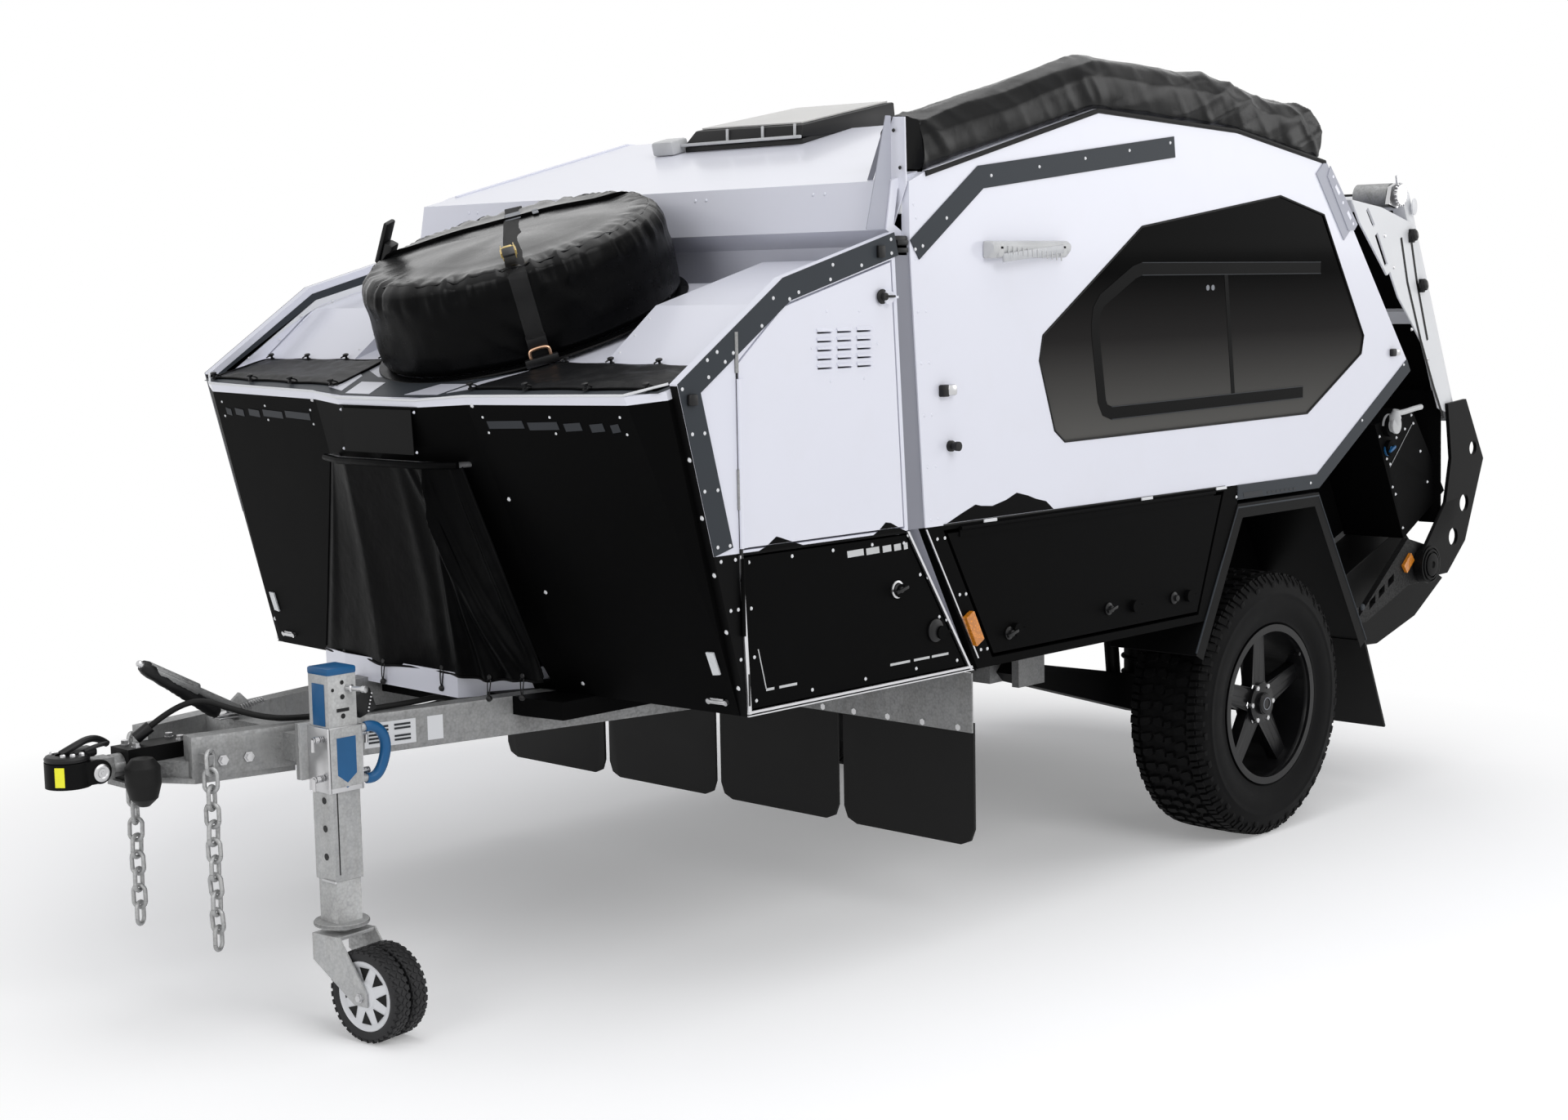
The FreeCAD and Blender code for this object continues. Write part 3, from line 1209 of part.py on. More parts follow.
def tail_plate():
    """Slotted plate that carries the rear deck's pivot, left side."""
    x0 = REAR_CROSS_X
    z0 = REAR_CROSS_Z
    foot = (GALLEY_LOW_FRONT_X, GALLEY_LOW_FRONT_Z)
    outline = [(x0 + CROSS_WIDTH / 2, z0), (x0 - CROSS_WIDTH, z0)]
    outline += [(BOSS_X + BOSS_RADIUS * a, BOSS_Z + BOSS_RADIUS * b) for a, b in TAIL_PLATE_SHARES]
    outline.append((foot[0], foot[1] - FIT))
    y0 = TAIL_PLATE_Y
    y1 = TAIL_PLATE_Y + TAIL_PLATE
    plate = prism(outline, "y", y0, y1)
    start = V(x0 - CROSS_WIDTH, 0, z0 + TAIL_SLOT_RISE)
    end = V(foot[0] + CROSS_WIDTH, 0, foot[1] - CROSS_WIDTH * 2)
    for share in TAIL_SLOT_SHARES:
        a = start + (end - start) * share
        b = start + (end - start) * (share + TAIL_SLOT_RUN_SHARE)
        slot = prism([(a.x, a.z - TAIL_SLOT / 2), (b.x, b.z - TAIL_SLOT / 2), (b.x, b.z + TAIL_SLOT / 2),
                      (a.x, a.z + TAIL_SLOT / 2)], "y", y0 - TAIL_PLATE, y1 + TAIL_PLATE)
        plate = plate.cut(slot)
    pin = rod(V(BOSS_X, y0, BOSS_Z), V(BOSS_X, DECK_ARM_Y + DECK_ARM + SEAM, BOSS_Z), PIVOT_RADIUS)
    return plate.fuse(pin)


def chassis():
    """Two long rails, cross members, spring outriggers, flap hanger and tail plates."""
    low = RAIL_TOP_Z - RAIL_HEIGHT
    rails = block(CHASSIS_BACK_X, CHASSIS_FRONT_X, CHASSIS_Y - RAIL_WIDTH / 2, CHASSIS_Y + RAIL_WIDTH / 2,
                  low, RAIL_TOP_Z)
    span = CHASSIS_FRONT_X - CHASSIS_BACK_X
    pieces = [rails, right(rails)]
    for share in CROSS_XS_SHARES:
        x = CHASSIS_BACK_X + span * share
        pieces.append(block(x - CROSS_WIDTH / 2, x + CROSS_WIDTH / 2, -CHASSIS_Y, CHASSIS_Y, low, RAIL_TOP_Z))
    rear = block(REAR_CROSS_X, REAR_CROSS_X + CROSS_WIDTH, -TAIL_PLATE_Y - TAIL_PLATE,
                 TAIL_PLATE_Y + TAIL_PLATE, REAR_CROSS_Z, low + CROSS_WIDTH / 3)
    drop = block(REAR_CROSS_X, REAR_CROSS_X + CROSS_WIDTH, CHASSIS_Y - RAIL_WIDTH / 2,
                 CHASSIS_Y + RAIL_WIDTH / 2, REAR_CROSS_Z, RAIL_TOP_Z)
    plate = tail_plate()
    pieces += [rear, drop, right(drop), plate, right(plate)]
    outer = ARM_OUTER_Y + RAIL_WIDTH / 2
    for x in (SPRING_X, DAMPER_X):
        seat = block(x - OUTRIGGER, x + OUTRIGGER, CHASSIS_Y, outer, RAIL_TOP_Z - RAIL_WIDTH, RAIL_TOP_Z)
        pieces += [seat, right(seat)]
    hanger = block(ARM_PIVOT_X - OUTRIGGER, ARM_PIVOT_X + OUTRIGGER, ARM_OUTER_Y + FIT, outer,
                   ARM_PIVOT_Z - ARM_PIVOT_RADIUS, RAIL_TOP_Z)
    bridge = block(ARM_PIVOT_X - OUTRIGGER, ARM_PIVOT_X + OUTRIGGER, CHASSIS_Y, outer,
                   RAIL_TOP_Z - RAIL_WIDTH, RAIL_TOP_Z)
    pin = rod(V(ARM_PIVOT_X, CHASSIS_Y, ARM_PIVOT_Z), V(ARM_PIVOT_X, outer, ARM_PIVOT_Z), PIVOT_RADIUS)
    inner = block(ARM_PIVOT_X - OUTRIGGER, ARM_PIVOT_X + OUTRIGGER, CHASSIS_Y - RAIL_WIDTH / 2,
                  ARM_INNER_Y - FIT, ARM_PIVOT_Z - ARM_PIVOT_RADIUS, low)
    for piece in (hanger, bridge, pin, inner):
        pieces += [piece, right(piece)]
    plate_x = FLAP_X + HANGER_THICK
    strip_low = block(FLAP_X, plate_x, -HALF_WIDTH + CORNER_GAP, HALF_WIDTH - CORNER_GAP, HANGER_LOW_Z, low)
    wing = block(FLAP_X, plate_x, CHASSIS_Y, HALF_WIDTH - CORNER_GAP, HANGER_LOW_Z, SILL_Z - SEAM * 2)
    pieces += [strip_low, wing, right(wing)]
    return join(pieces)


def stone_flaps():
    """Rubber flaps in a row behind the hanger plate."""
    flaps = []
    for i in range(FLAP_COUNT):
        y = (i - (FLAP_COUNT - 1) / 2) * FLAP_PITCH
        a = y - FLAP_WIDTH / 2
        b = y + FLAP_WIDTH / 2
        c = FLAP_ROUND
        s = c * (1 - math.sqrt(0.5))
        outline = [(a, FLAP_TOP_Z), (a, FLAP_LOW_Z + c), (a + s, FLAP_LOW_Z + s), (a + c, FLAP_LOW_Z),
                   (b - c, FLAP_LOW_Z), (b - s, FLAP_LOW_Z + s), (b, FLAP_LOW_Z + c), (b, FLAP_TOP_Z)]
        flaps.append(prism(outline, "x", FLAP_X - FLAP_THICK, FLAP_X))
    return group(flaps)


def suspension_arm():
    """Trailing arm with its stub axle, brake drum, spring and damper, left side."""
    half = ARM_HEIGHT / 2
    outline = [
        (ARM_PIVOT_X + ARM_PIVOT_RADIUS, ARM_PIVOT_Z), (ARM_PIVOT_X, ARM_PIVOT_Z + ARM_PIVOT_RADIUS),
        (SPRING_X, AXLE_Z + ARM_SHOULDER), (-half, AXLE_Z + half), (-half, AXLE_Z - half),
        (SPRING_X, AXLE_Z - half), (ARM_PIVOT_X, ARM_PIVOT_Z - ARM_PIVOT_RADIUS),
    ]
    arm = prism(outline, "y", ARM_INNER_Y, ARM_OUTER_Y)
    arm = arm.cut(rod(V(ARM_PIVOT_X, CHASSIS_Y, ARM_PIVOT_Z), V(ARM_PIVOT_X, HALF_WIDTH, ARM_PIVOT_Z),
                      PIVOT_RADIUS + FIT))
    middle = (ARM_INNER_Y + ARM_OUTER_Y) / 2
    hub_y = TYRE_FACE_Y - RIM_DISH - RIM_DISC
    stub = rod(V(0, middle, AXLE_Z), V(0, hub_y + RIM_DISC / 2, AXLE_Z), STUB_RADIUS)
    drum = rod(V(0, ARM_OUTER_Y, AXLE_Z), V(0, ARM_OUTER_Y + DRUM_WIDTH + CROSS_WIDTH, AXLE_Z), DRUM_RADIUS)
    pieces = [arm, stub, drum]
    seat_z = RAIL_TOP_Z - RAIL_WIDTH
    low_z = AXLE_Z + SPRING_FOOT
    for i in range(SPRING_TURNS):
        z = low_z + (seat_z - low_z - FIT) * (i + 0.5) / SPRING_TURNS
        lean = V(0, SPRING_LEAN_SHARE, 1)
        pieces.append(Part.makeTorus(SPRING_RADIUS, SPRING_WIRE / 2, V(SPRING_X, middle, z), lean))
    pieces.append(rod(V(SPRING_X, middle, AXLE_Z), V(SPRING_X, middle, seat_z - FIT),
                      SPRING_RADIUS - SPRING_WIRE / 4))
    foot = V(DAMPER_X * DAMPER_LEAN_SHARE, middle, AXLE_Z)
    pieces.append(rod(foot, V(DAMPER_X, middle, seat_z), DAMPER_RADIUS))
    above = block(0, ARM_PIVOT_X / 2, ARM_INNER_Y, ARM_OUTER_Y, seat_z - FIT, seat_z + BAND)
    return join(pieces).cut(above)


def wheel_profile(points):
    corners = [V(0, y, AXLE_Z + r) for r, y in points]
    wire = Part.makePolygon(corners + [corners[0]])
    return Part.Face(wire).revolve(V(0, 0, AXLE_Z), V(0, 1, 0), 360)


def tyre():
    """Left tyre with shoulder lugs."""
    out = TYRE_RADIUS
    wide = TYRE_WIDTH
    seat = RIM_RADIUS
    base = out - TREAD_DEPTH
    y1 = TYRE_FACE_Y
    y0 = y1 - wide
    profile = [
        (seat, y0 + RIM_LIP * 2), (seat + RIM_LIP * 3, y0 + RIM_LIP), (base - RIM_DISH, y0),
        (base - RIM_LIP * 2, y0 + RIM_LIP), (base, y0 + RIM_DISH / 2), (base, y1 - RIM_DISH / 2),
        (base - RIM_LIP * 2, y1 - RIM_LIP), (base - RIM_DISH, y1), (seat + RIM_LIP * 3, y1 - RIM_LIP),
        (seat, y1 - RIM_LIP * 2),
    ]
    body = wheel_profile(profile)
    lugs = []
    half = math.pi * out / LUG_COUNT * LUG_SHARE
    rows = [(y1 - RIM_DISH, y1 - LUG_INSET), (y0 + LUG_INSET, y0 + RIM_DISH)]
    for row, (a, b) in enumerate(rows):
        for i in range(LUG_COUNT):
            lump = Part.makeBox(half * 2, b - a, LUG_TALL, V(-half, a, out - LUG_TUCK))
            lump.rotate(V(0, 0, 0), V(0, 1, 0), 360.0 * (i + row / 2) / LUG_COUNT)
            lump.translate(V(0, 0, AXLE_Z))
            lugs.append(lump)
    middle = rod(V(0, y0 + TREAD_MIDDLE_SET, AXLE_Z), V(0, y1 - TREAD_MIDDLE_SET, AXLE_Z), out)
    bore = rod(V(0, y0, AXLE_Z), V(0, y1, AXLE_Z), seat + RIM_LIP)
    whole = body.fuse([middle.cut(bore)] + lugs)
    edge = rod(V(0, y0 - wide, AXLE_Z), V(0, y1 + wide, AXLE_Z), out)
    return whole.common(edge)


def rim():
    """Left five-spoke wheel."""
    y1 = TYRE_FACE_Y - RIM_LIP
    y0 = TYRE_FACE_Y - TYRE_WIDTH + RIM_LIP
    r = RIM_RADIUS
    profile = [
        (r - RIM_BARREL, y0), (r + RIM_LIP, y0), (r + RIM_LIP, y0 + RIM_FLANGE), (r - FIT, y0 + RIM_LIP),
        (r - FIT, y1 - RIM_LIP), (r + RIM_LIP, y1 - RIM_FLANGE), (r + RIM_LIP, y1), (r - RIM_BARREL, y1),
    ]
    barrel = wheel_profile(profile)
    face = TYRE_FACE_Y - RIM_DISH
    hub = rod(V(0, face - RIM_DISC * 3, AXLE_Z), V(0, face + RIM_DISC, AXLE_Z), HUB_RADIUS)
    cap = rod(V(0, face, AXLE_Z), V(0, face + HUB_CAP_LENGTH, AXLE_Z), HUB_CAP_RADIUS)
    spokes = []
    for i in range(SPOKE_COUNT):
        foot = HUB_RADIUS * SPOKE_SINK_SHARE
        outline = [(-SPOKE_ROOT / 2, foot), (SPOKE_ROOT / 2, foot),
                   (SPOKE_TIP / 2, r - RIM_BARREL / 2), (-SPOKE_TIP / 2, r - RIM_BARREL / 2)]
        spoke = prism(outline, "y", face - SPOKE_DEPTH, face)
        spoke.rotate(V(0, 0, 0), V(0, 1, 0), 360.0 * i / SPOKE_COUNT)
        spoke.translate(V(0, 0, AXLE_Z))
        spokes.append(spoke)
    whole = join([barrel, hub, cap] + spokes)
    bore = rod(V(0, face - RIM_DISC * 4, AXLE_Z), V(0, face - RIM_DISC / 2 + FIT, AXLE_Z), STUB_RADIUS + FIT)
    return whole.cut(bore)


def coupling_z():
    return RAIL_TOP_Z - RAIL_HEIGHT + BLOCK_HEIGHT / 2


def coupling_block():
    z = coupling_z()
    half = BLOCK_HEIGHT / 2
    body = block(BLOCK_BACK_X, BLOCK_FRONT_X, -BLOCK_HALF, BLOCK_HALF, z - half, z + half)
    bore = rod(V(BLOCK_FRONT_X - SWIVEL_DEPTH - SEAM, 0, z), V(BLOCK_FRONT_X, 0, z), SWIVEL_RADIUS + FIT)
    return body.cut(bore)


def coupling_swivel():
    """Shaft that rolls in the block, with the knuckle that the head tilts on."""
    z = coupling_z()
    shaft = rod(V(BLOCK_FRONT_X - SWIVEL_DEPTH, 0, z), V(KNUCKLE_BACK_X, 0, z), SWIVEL_RADIUS)
    k = KNUCKLE_HALF
    body = block(KNUCKLE_BACK_X, PITCH_X, -k, k, z - k, z + k)
    nose = rod(V(PITCH_X, -k, z), V(PITCH_X, k, z), k)
    hole = rod(V(PITCH_X, -k * 2, z), V(PITCH_X, k * 2, z), PITCH_PIN + FIT)
    return join([shaft, body, nose]).cut(hole)


def coupling_head():
    """Cast receiver with its cheeks and cross pin."""
    z = coupling_z()
    inner = KNUCKLE_HALF + CHEEK_GAP
    outer = inner + CHEEK
    ring_x = COUPLING_TIP_X - HEAD_RING
    h = HEAD_HEIGHT / 2
    ring = rod(V(ring_x, 0, z - h), V(ring_x, 0, z + h), HEAD_RING)
    half = h * HEAD_BODY_SHARE
    body = block(PITCH_X, ring_x, -outer, outer, z - half, z + half)
    cheeks = rod(V(PITCH_X, -outer, z), V(PITCH_X, outer, z), CHEEK_RADIUS)
    room = rod(V(PITCH_X, -inner, z), V(PITCH_X, inner, z), CHEEK_RADIUS + SEAM)
    bore = rod(V(ring_x, 0, z - h * 2), V(ring_x, 0, z + h * 2), HEAD_BORE)
    pin = rod(V(PITCH_X, -outer - LEAF_THICK, z), V(PITCH_X, outer + LEAF_THICK, z), PITCH_PIN)
    return join([ring.fuse(body).fuse(cheeks).cut(room).cut(bore), pin])


def coupling_boot():
    """Rubber dust boot that hangs beside the block."""
    r = BOOT_RADIUS
    low = coupling_z() + BOOT_TOP - BOOT_HEIGHT
    corners = [V(r * a, 0, low + BOOT_HEIGHT * b) for a, b in BOOT_SHARES]
    wire = Part.makePolygon(corners + [corners[0]])
    body = Part.Face(wire).revolve(V(0, 0, 0), V(0, 0, 1), 360)
    body.translate(V(BOOT_X, BLOCK_HALF + r + FIT, 0))
    return body


def handbrake_lever():
    """Ratchet plate and lever with a ribbed grip."""
    base = RAIL_TOP_Z
    outline = [
        (LEVER_X - CROSS_WIDTH, base), (LEVER_X, base), (LEVER_X + RATCHET / 3, base + RATCHET / 2),
        (LEVER_X - RATCHET / 3, base + RATCHET), (LEVER_X - CROSS_WIDTH, base + RATCHET / 2),
    ]
    ratchet = prism(outline, "y", -LEVER_RADIUS / 2, LEVER_RADIUS / 2)
    foot = V(LEVER_X - RATCHET / 3, 0, base + RATCHET / 3)
    tip = V(LEVER_TIP_X, 0, LEVER_TIP_Z)
    grip = foot + (tip - foot) * (1 - GRIP_SHARE)
    return join([ratchet, rod(foot, tip, LEVER_RADIUS), rod(grip, tip, GRIP_RADIUS)])


def jockey_post():
    """Square outer leg with its side plate, head box and the loop handle of its lock."""
    x = POST_X
    y = POST_Y
    s = POST_SIDE / 2
    tube = block(x - s, x + s, y - s, y + s, POST_LOW_Z, POST_TOP_Z)
    w = s - POST_WALL
    bore = block(x - w, x + w, y - w, y + w, POST_LOW_Z - CUT_OVER, POST_TOP_Z - POST_WALL)
    plate = block(x - BRACKET_SIDE / 2, x + BRACKET_SIDE / 2, y - s - BRACKET_SHEET, y - s,
                  SWING_Z - BRACKET_SIDE / 2, SWING_Z + BRACKET_SIDE / 2)
    hole = rod(V(x, y - s - BRACKET_SHEET * 2, SWING_Z), V(x, y - s + POST_WALL, SWING_Z), PIVOT_RADIUS + FIT)
    head = block(x - s - POST_WALL, x + s + POST_WALL, y - s, y + s + POST_WALL * 2,
                 SWING_Z - HEAD_LOW, SWING_Z + HEAD_HIGH)
    line = [V(x + a, y + b, SWING_Z + c) for a, b, c in HANDLE_LINE]
    handle = bent_tube(line, HANDLE_RADIUS)
    return join([tube, head, plate, handle]).cut(bore).cut(hole)


def jockey_leg():
    x = POST_X
    y = POST_Y
    s = LEG_SIDE / 2
    leg = block(x - s, x + s, y - s, y + s, LEG_LOW_Z, LEG_TOP_Z)
    collar = rod(V(x, y, LEG_LOW_Z - COLLAR_HEIGHT), V(x, y, LEG_LOW_Z), COLLAR_RADIUS)
    return leg.fuse(collar)


def castor_turned(shape):
    """The castor stands turned about its stem, its wheels trailing away from the drawbar."""
    turned = shape.copy()
    turned.rotate(V(POST_X, POST_Y, 0), V(0, 0, 1), -CASTOR_TURN)
    return turned


def jockey_fork():
    """Castor fork with its axle, one cheek outside each wheel."""
    x = POST_X
    y = POST_Y
    outer = JOCKEY_WIDTH + JOCKEY_GAP / 2 + FORK_GAP
    wide = outer + FORK_CHEEK
    ax = x - TRAIL
    az = JOCKEY_RADIUS
    top = block(x - FORK_BACK, x + FORK_FRONT, y - wide, y + wide, FORK_TOP_Z - FORK_SHEET, FORK_TOP_Z)
    stem = rod(V(x, y, FORK_TOP_Z), V(x, y, LEG_LOW_Z - COLLAR_HEIGHT - FIT), STEM_RADIUS)
    r = JOCKEY_AXLE * 2
    outline = [
        (x + FORK_FRONT, FORK_TOP_Z), (x - FORK_BACK, FORK_TOP_Z), (ax - r, az + r / 2),
        (ax - r, az - r), (ax + r, az - r), (x + FORK_FRONT, FORK_TOP_Z - COLLAR_RADIUS),
    ]
    cheek = prism(outline, "y", y + outer, y + wide)
    other = prism(outline, "y", y - wide, y - outer)
    axle = rod(V(ax, y - wide, az), V(ax, y + wide, az), JOCKEY_AXLE)
    return castor_turned(join([top, stem, cheek, other, axle]))


def jockey_wheels():
    """Two small wheels on one hub."""
    x = POST_X - TRAIL
    y = POST_Y
    z = JOCKEY_RADIUS
    r = JOCKEY_RADIUS
    rim_r = JOCKEY_RIM
    shoulder = r * JOCKEY_SHOULDER_SHARE
    hub = rim_r * JOCKEY_HUB_SHARE
    low, high = JOCKEY_TREAD_SHARES
    pieces = []
    for side in (-1, 1):
        y0 = y + side * JOCKEY_GAP / 2
        y1 = y0 + side * JOCKEY_WIDTH
        step = side * JOCKEY_WIDTH
        dish = y1 - step * JOCKEY_DISH_SHARE
        profile = [(JOCKEY_AXLE + FIT, y0), (shoulder, y0), (r, y0 + step * low), (r, y0 + step * high),
                   (shoulder, y1), (rim_r, y1), (rim_r * JOCKEY_SHOULDER_SHARE, dish), (hub, dish),
                   (hub, y1), (JOCKEY_AXLE + FIT, y1)]
        corners = [V(0, b, a) for a, b in profile]
        wire = Part.makePolygon(corners + [corners[0]])
        disc = Part.Face(wire).revolve(V(0, 0, 0), V(0, 1, 0), 360)
        disc.translate(V(x, 0, z))
        pieces.append(disc)
    gap = JOCKEY_GAP / 2
    sleeve = pipe(V(x, y - gap, z), V(x, y + gap, z), JOCKEY_AXLE * 2, JOCKEY_AXLE + FIT)
    return castor_turned(join(pieces + [sleeve]))


def deck_line():
    """Outer face of the folded rear deck, from its top to its lower end."""
    return [(DECK_TOP_X, DECK_TOP_Z), (DECK_LOW_X, DECK_LOW_Z)]


def deck_panel():
    line = deck_line()
    return strip(line, DECK_PANEL, -DECK_PLATE_Y + DECK_BEAM, DECK_PLATE_Y - DECK_BEAM)


def lattice_plate():
    """Side plate of the rear deck with its slanted slots, left side."""
    back = offset_line(deck_line(), DECK_BEAM)
    tall = DECK_TOP_Z - DECK_LOW_Z
    reach = TAIL_KNEE_X - DECK_LOW_X
    outline = []
    for out, up, tuck in LATTICE_SHARES:
        z = DECK_LOW_Z + tall * up
        outline.append((at_z(back[0], back[1], z) + reach * out + DECK_BEAM * tuck, z))
    y0 = DECK_PLATE_Y
    y1 = DECK_PLATE_Y + DECK_PLATE
    plate = prism(outline, "y", y0, y1)
    for a, b, wide in LATTICE_SLOTS:
        bend = ((a[0] + b[0]) / 2, (a[1] + b[1]) / 2)
        other = offset_line([a, b], -wide)
        slot = prism([a, bend, b, other[1], other[0]], "y", y0 - DECK_PLATE, y1 + DECK_PLATE)
        plate = plate.cut(slot)
    return plate


def deck_frame():
    """Side beams, cross beams and the lattice side plates of the rear deck."""
    line = deck_line()
    inner = DECK_PLATE_Y - DECK_BEAM
    beam = strip(line, DECK_BEAM, inner, DECK_PLATE_Y)
    lattice = lattice_plate()
    pieces = [beam, right(beam), lattice, right(lattice)]
    run = DECK_LOW_X - DECK_TOP_X
    fall = DECK_LOW_Z - DECK_TOP_Z
    size = math.hypot(run, fall)
    step = (run / size * DECK_BEAM, fall / size * DECK_BEAM)
    for share in DECK_MEMBER_SHARES:
        a = (DECK_TOP_X + run * share, DECK_TOP_Z + fall * share)
        if share == DECK_MEMBER_SHARES[-1]:
            a = (a[0] - step[0], a[1] - step[1])
        pieces.append(strip([a, (a[0] + step[0], a[1] + step[1])], DECK_BEAM, -inner, inner))
    return join(pieces).cut(deck_panel())


def deck_arm():
    """Black hooked arm between the deck and its pivot, left side."""
    x = BOSS_X
    z = BOSS_Z
    c = BOSS_RADIUS
    root = c * ARM_ROOT_SHARE
    reach = DECK_TAIL_X - x
    rise = DECK_LOW_Z - z
    outline = [(x + root, z - root)]
    outline += [(x + reach * out, z + c * low + rise * up) for out, low, up in ARM_SHARES]
    outline.append((x + root, z + root))
    arm = prism(outline, "y", DECK_ARM_Y, DECK_ARM_Y + DECK_ARM)
    hub = rod(V(x, TAIL_PLATE_Y + TAIL_PLATE + SEAM, z), V(x, DECK_ARM_Y + DECK_ARM, z), c)
    hole = rod(V(x, TAIL_PLATE_Y, z), V(x, HALF_WIDTH, z), PIVOT_RADIUS + FIT)
    whole = arm.fuse(hub).cut(hole)
    for (hole_x, hole_z), radius in ARM_HOLES:
        whole = whole.cut(rod(V(hole_x, DECK_PLATE_Y, hole_z), V(hole_x, HALF_WIDTH, hole_z), radius))
    return whole


def deck_winch():
    """Strap winch on the top end of the left deck beam."""
    back = offset_line(deck_line(), DECK_BEAM)
    x = back[0][0] + WINCH_OUT
    z = back[0][1] + WINCH_UP
    y1 = DECK_PLATE_Y - DECK_BEAM / 2
    drum = rod(V(x, y1 - WINCH_LENGTH, z), V(x, y1, z), WINCH_RADIUS)
    beam = strip(deck_line(), DECK_BEAM, -DECK_PLATE_Y, DECK_PLATE_Y)
    return drum.cut(beam)


def hatch_outline(low, high_front, high_back):
    """Side view of the roof hatch between two heights above the roof."""
    z0 = at_x(ROOF_LINE[1], ROOF_LINE[2], HATCH_BACK_X)
    z1 = at_x(ROOF_LINE[0], ROOF_LINE[1], HATCH_FRONT_X)
    return [(HATCH_BACK_X, z0 + low), (PEAK_X, PEAK_Z + low), (HATCH_FRONT_X, z1 + low),
            (HATCH_FRONT_X, z1 + high_front), (HATCH_BACK_X, z0 + high_back)]


def roof_hatch_frame():
    high = HATCH_FRAME_HEIGHT
    outline = hatch_outline(0, high, high)
    outline = outline[:4] + [(PEAK_X, PEAK_Z + high)] + outline[4:]
    ring = prism(outline, "y", HATCH_RIGHT_Y, HATCH_LEFT_Y)
    room = block(HATCH_BACK_X + HATCH_FRAME, HATCH_FRONT_X - HATCH_FRAME, HATCH_RIGHT_Y + HATCH_FRAME,
                 HATCH_LEFT_Y - HATCH_FRAME, CREST_Z - HATCH_CUT, PEAK_Z + HATCH_CUT)
    return ring.cut(room)


def roof_hatch():
    low = HATCH_FRAME_HEIGHT + FIT
    outer = prism(hatch_outline(low, HATCH_FRONT_HEIGHT, HATCH_BACK_HEIGHT), "y", HATCH_RIGHT_Y, HATCH_LEFT_Y)
    t = HATCH_LID
    inner_outline = inset(hatch_outline(low, HATCH_FRONT_HEIGHT, HATCH_BACK_HEIGHT), t)
    drop = [(x, z - t * 2) if i < 3 else (x, z) for i, (x, z) in enumerate(inner_outline)]
    inner = prism(drop, "y", HATCH_RIGHT_Y + t, HATCH_LEFT_Y - t)
    return outer.cut(inner)


def awning_bag():
    """Long soft bag along the left roof edge."""
    wires = []
    xs = [BROW_TOP_X - SEAM * 2, PEAK_X, CREST_X, TAIL_TOP_X]
    for x in xs:
        i = 0 if x >= PEAK_X else (1 if x >= CREST_X else 2)
        z = at_x(ROOF_LINE[i], ROOF_LINE[i + 1], x) + FIT
        corners = [V(x, BAG_Y + BAG_HALF * a, z + BAG_HEIGHT * b) for a, b in BAG_SKIN_SHARES]
        wires.append(Part.makePolygon(corners + [corners[0]]))
    return Part.makeLoft(wires, True, True)


def awning_brackets():
    """Gusset ahead of the awning bag and plate below its rear end."""
    top_z = at_x(ROOF_LINE[0], ROOF_LINE[1], BROW_TOP_X) + SEAM / 2
    y0 = INNER_Y - BRACKET_PLATE * 2
    front = prism(
        [(BROW_TOP_X + FIT, top_z), (BROW_LIP_X + FIT, BROW_LIP_Z), (BROW_LIP_X + BRACKET_WIDTH, BROW_LIP_Z),
         (BROW_TOP_X + RAIL, BRACKET_TOP_Z), (BROW_TOP_X - SEAM, BRACKET_TOP_Z), (BROW_TOP_X - SEAM, top_z)],
        "y", y0, y0 + BRACKET_PLATE)
    a = TAIL_LINE[0]
    knee = TAIL_LINE[1]
    b = (a[0] + (knee[0] - a[0]) * BRACKET_END_SHARE, a[1] + (knee[1] - a[1]) * BRACKET_END_SHARE)
    rear = strip([a, b], BRACKET_WIDTH, HALF_WIDTH, HALF_WIDTH + BRACKET_PLATE)
    return group([front, rear])


def awning_lamp():
    low = LAMP_Z - LAMP_HEIGHT / 2
    outline = [(HALF_WIDTH + LAMP_DEPTH * a, low + LAMP_HEIGHT * b) for a, b in LAMP_SHARES]
    return prism(outline, "x", LAMP_BACK_X, LAMP_FRONT_X)


def marker_lamps():
    """Amber side lamps, left side: one ahead of the locker, one on the tail plate."""
    a = (BODY_HEEL_X, SILL_Z)
    b = (BODY_KNEE_X, SPLIT_Z)
    z0 = SILL_Z + MARKER_RISE
    line = [(at_z(a, b, z0) - RAIL, z0), (at_z(a, b, z0 + MARKER_LENGTH) - RAIL, z0 + MARKER_LENGTH)]
    front = strip(line, MARKER_WIDTH, HALF_WIDTH, HALF_WIDTH + MARKER_DEPTH)
    x0 = GALLEY_LOW_FRONT_X + MARKER_SET
    z1 = GALLEY_LOW_FRONT_Z - MARKER_DROP
    face = TAIL_PLATE_Y + TAIL_PLATE
    out, up = MARKER_SHARES
    rear = strip([(x0, z1), (x0 - MARKER_LENGTH * out, z1 + MARKER_LENGTH * up)], MARKER_WIDTH, face,
                 face + MARKER_DEPTH * MARKER_THIN_SHARE)
    return group([front, rear])


def tow_lead():
    line = [V(*p) for p in LEAD_ROUTE]
    path, radii = rounded_path(line)
    tube = bent_tube(line, LEAD_DIAMETER / 2)
    expected = math.pi * (LEAD_DIAMETER / 2) ** 2 * path.Length
    print("lead length", round(path.Length, 1), "radii", [round(r) for r in radii],
          "volume ratio", round(tube.Volume / expected, 4))
    return tube


def tow_plug():
    """Plug that rests on the coupling block, in line with the end of the lead."""
    end = V(*LEAD_ROUTE[-1])
    way = end - V(*LEAD_ROUTE[-2])
    way.normalize()
    return rod(end, end + way * PLUG_LENGTH, LEAD_DIAMETER)


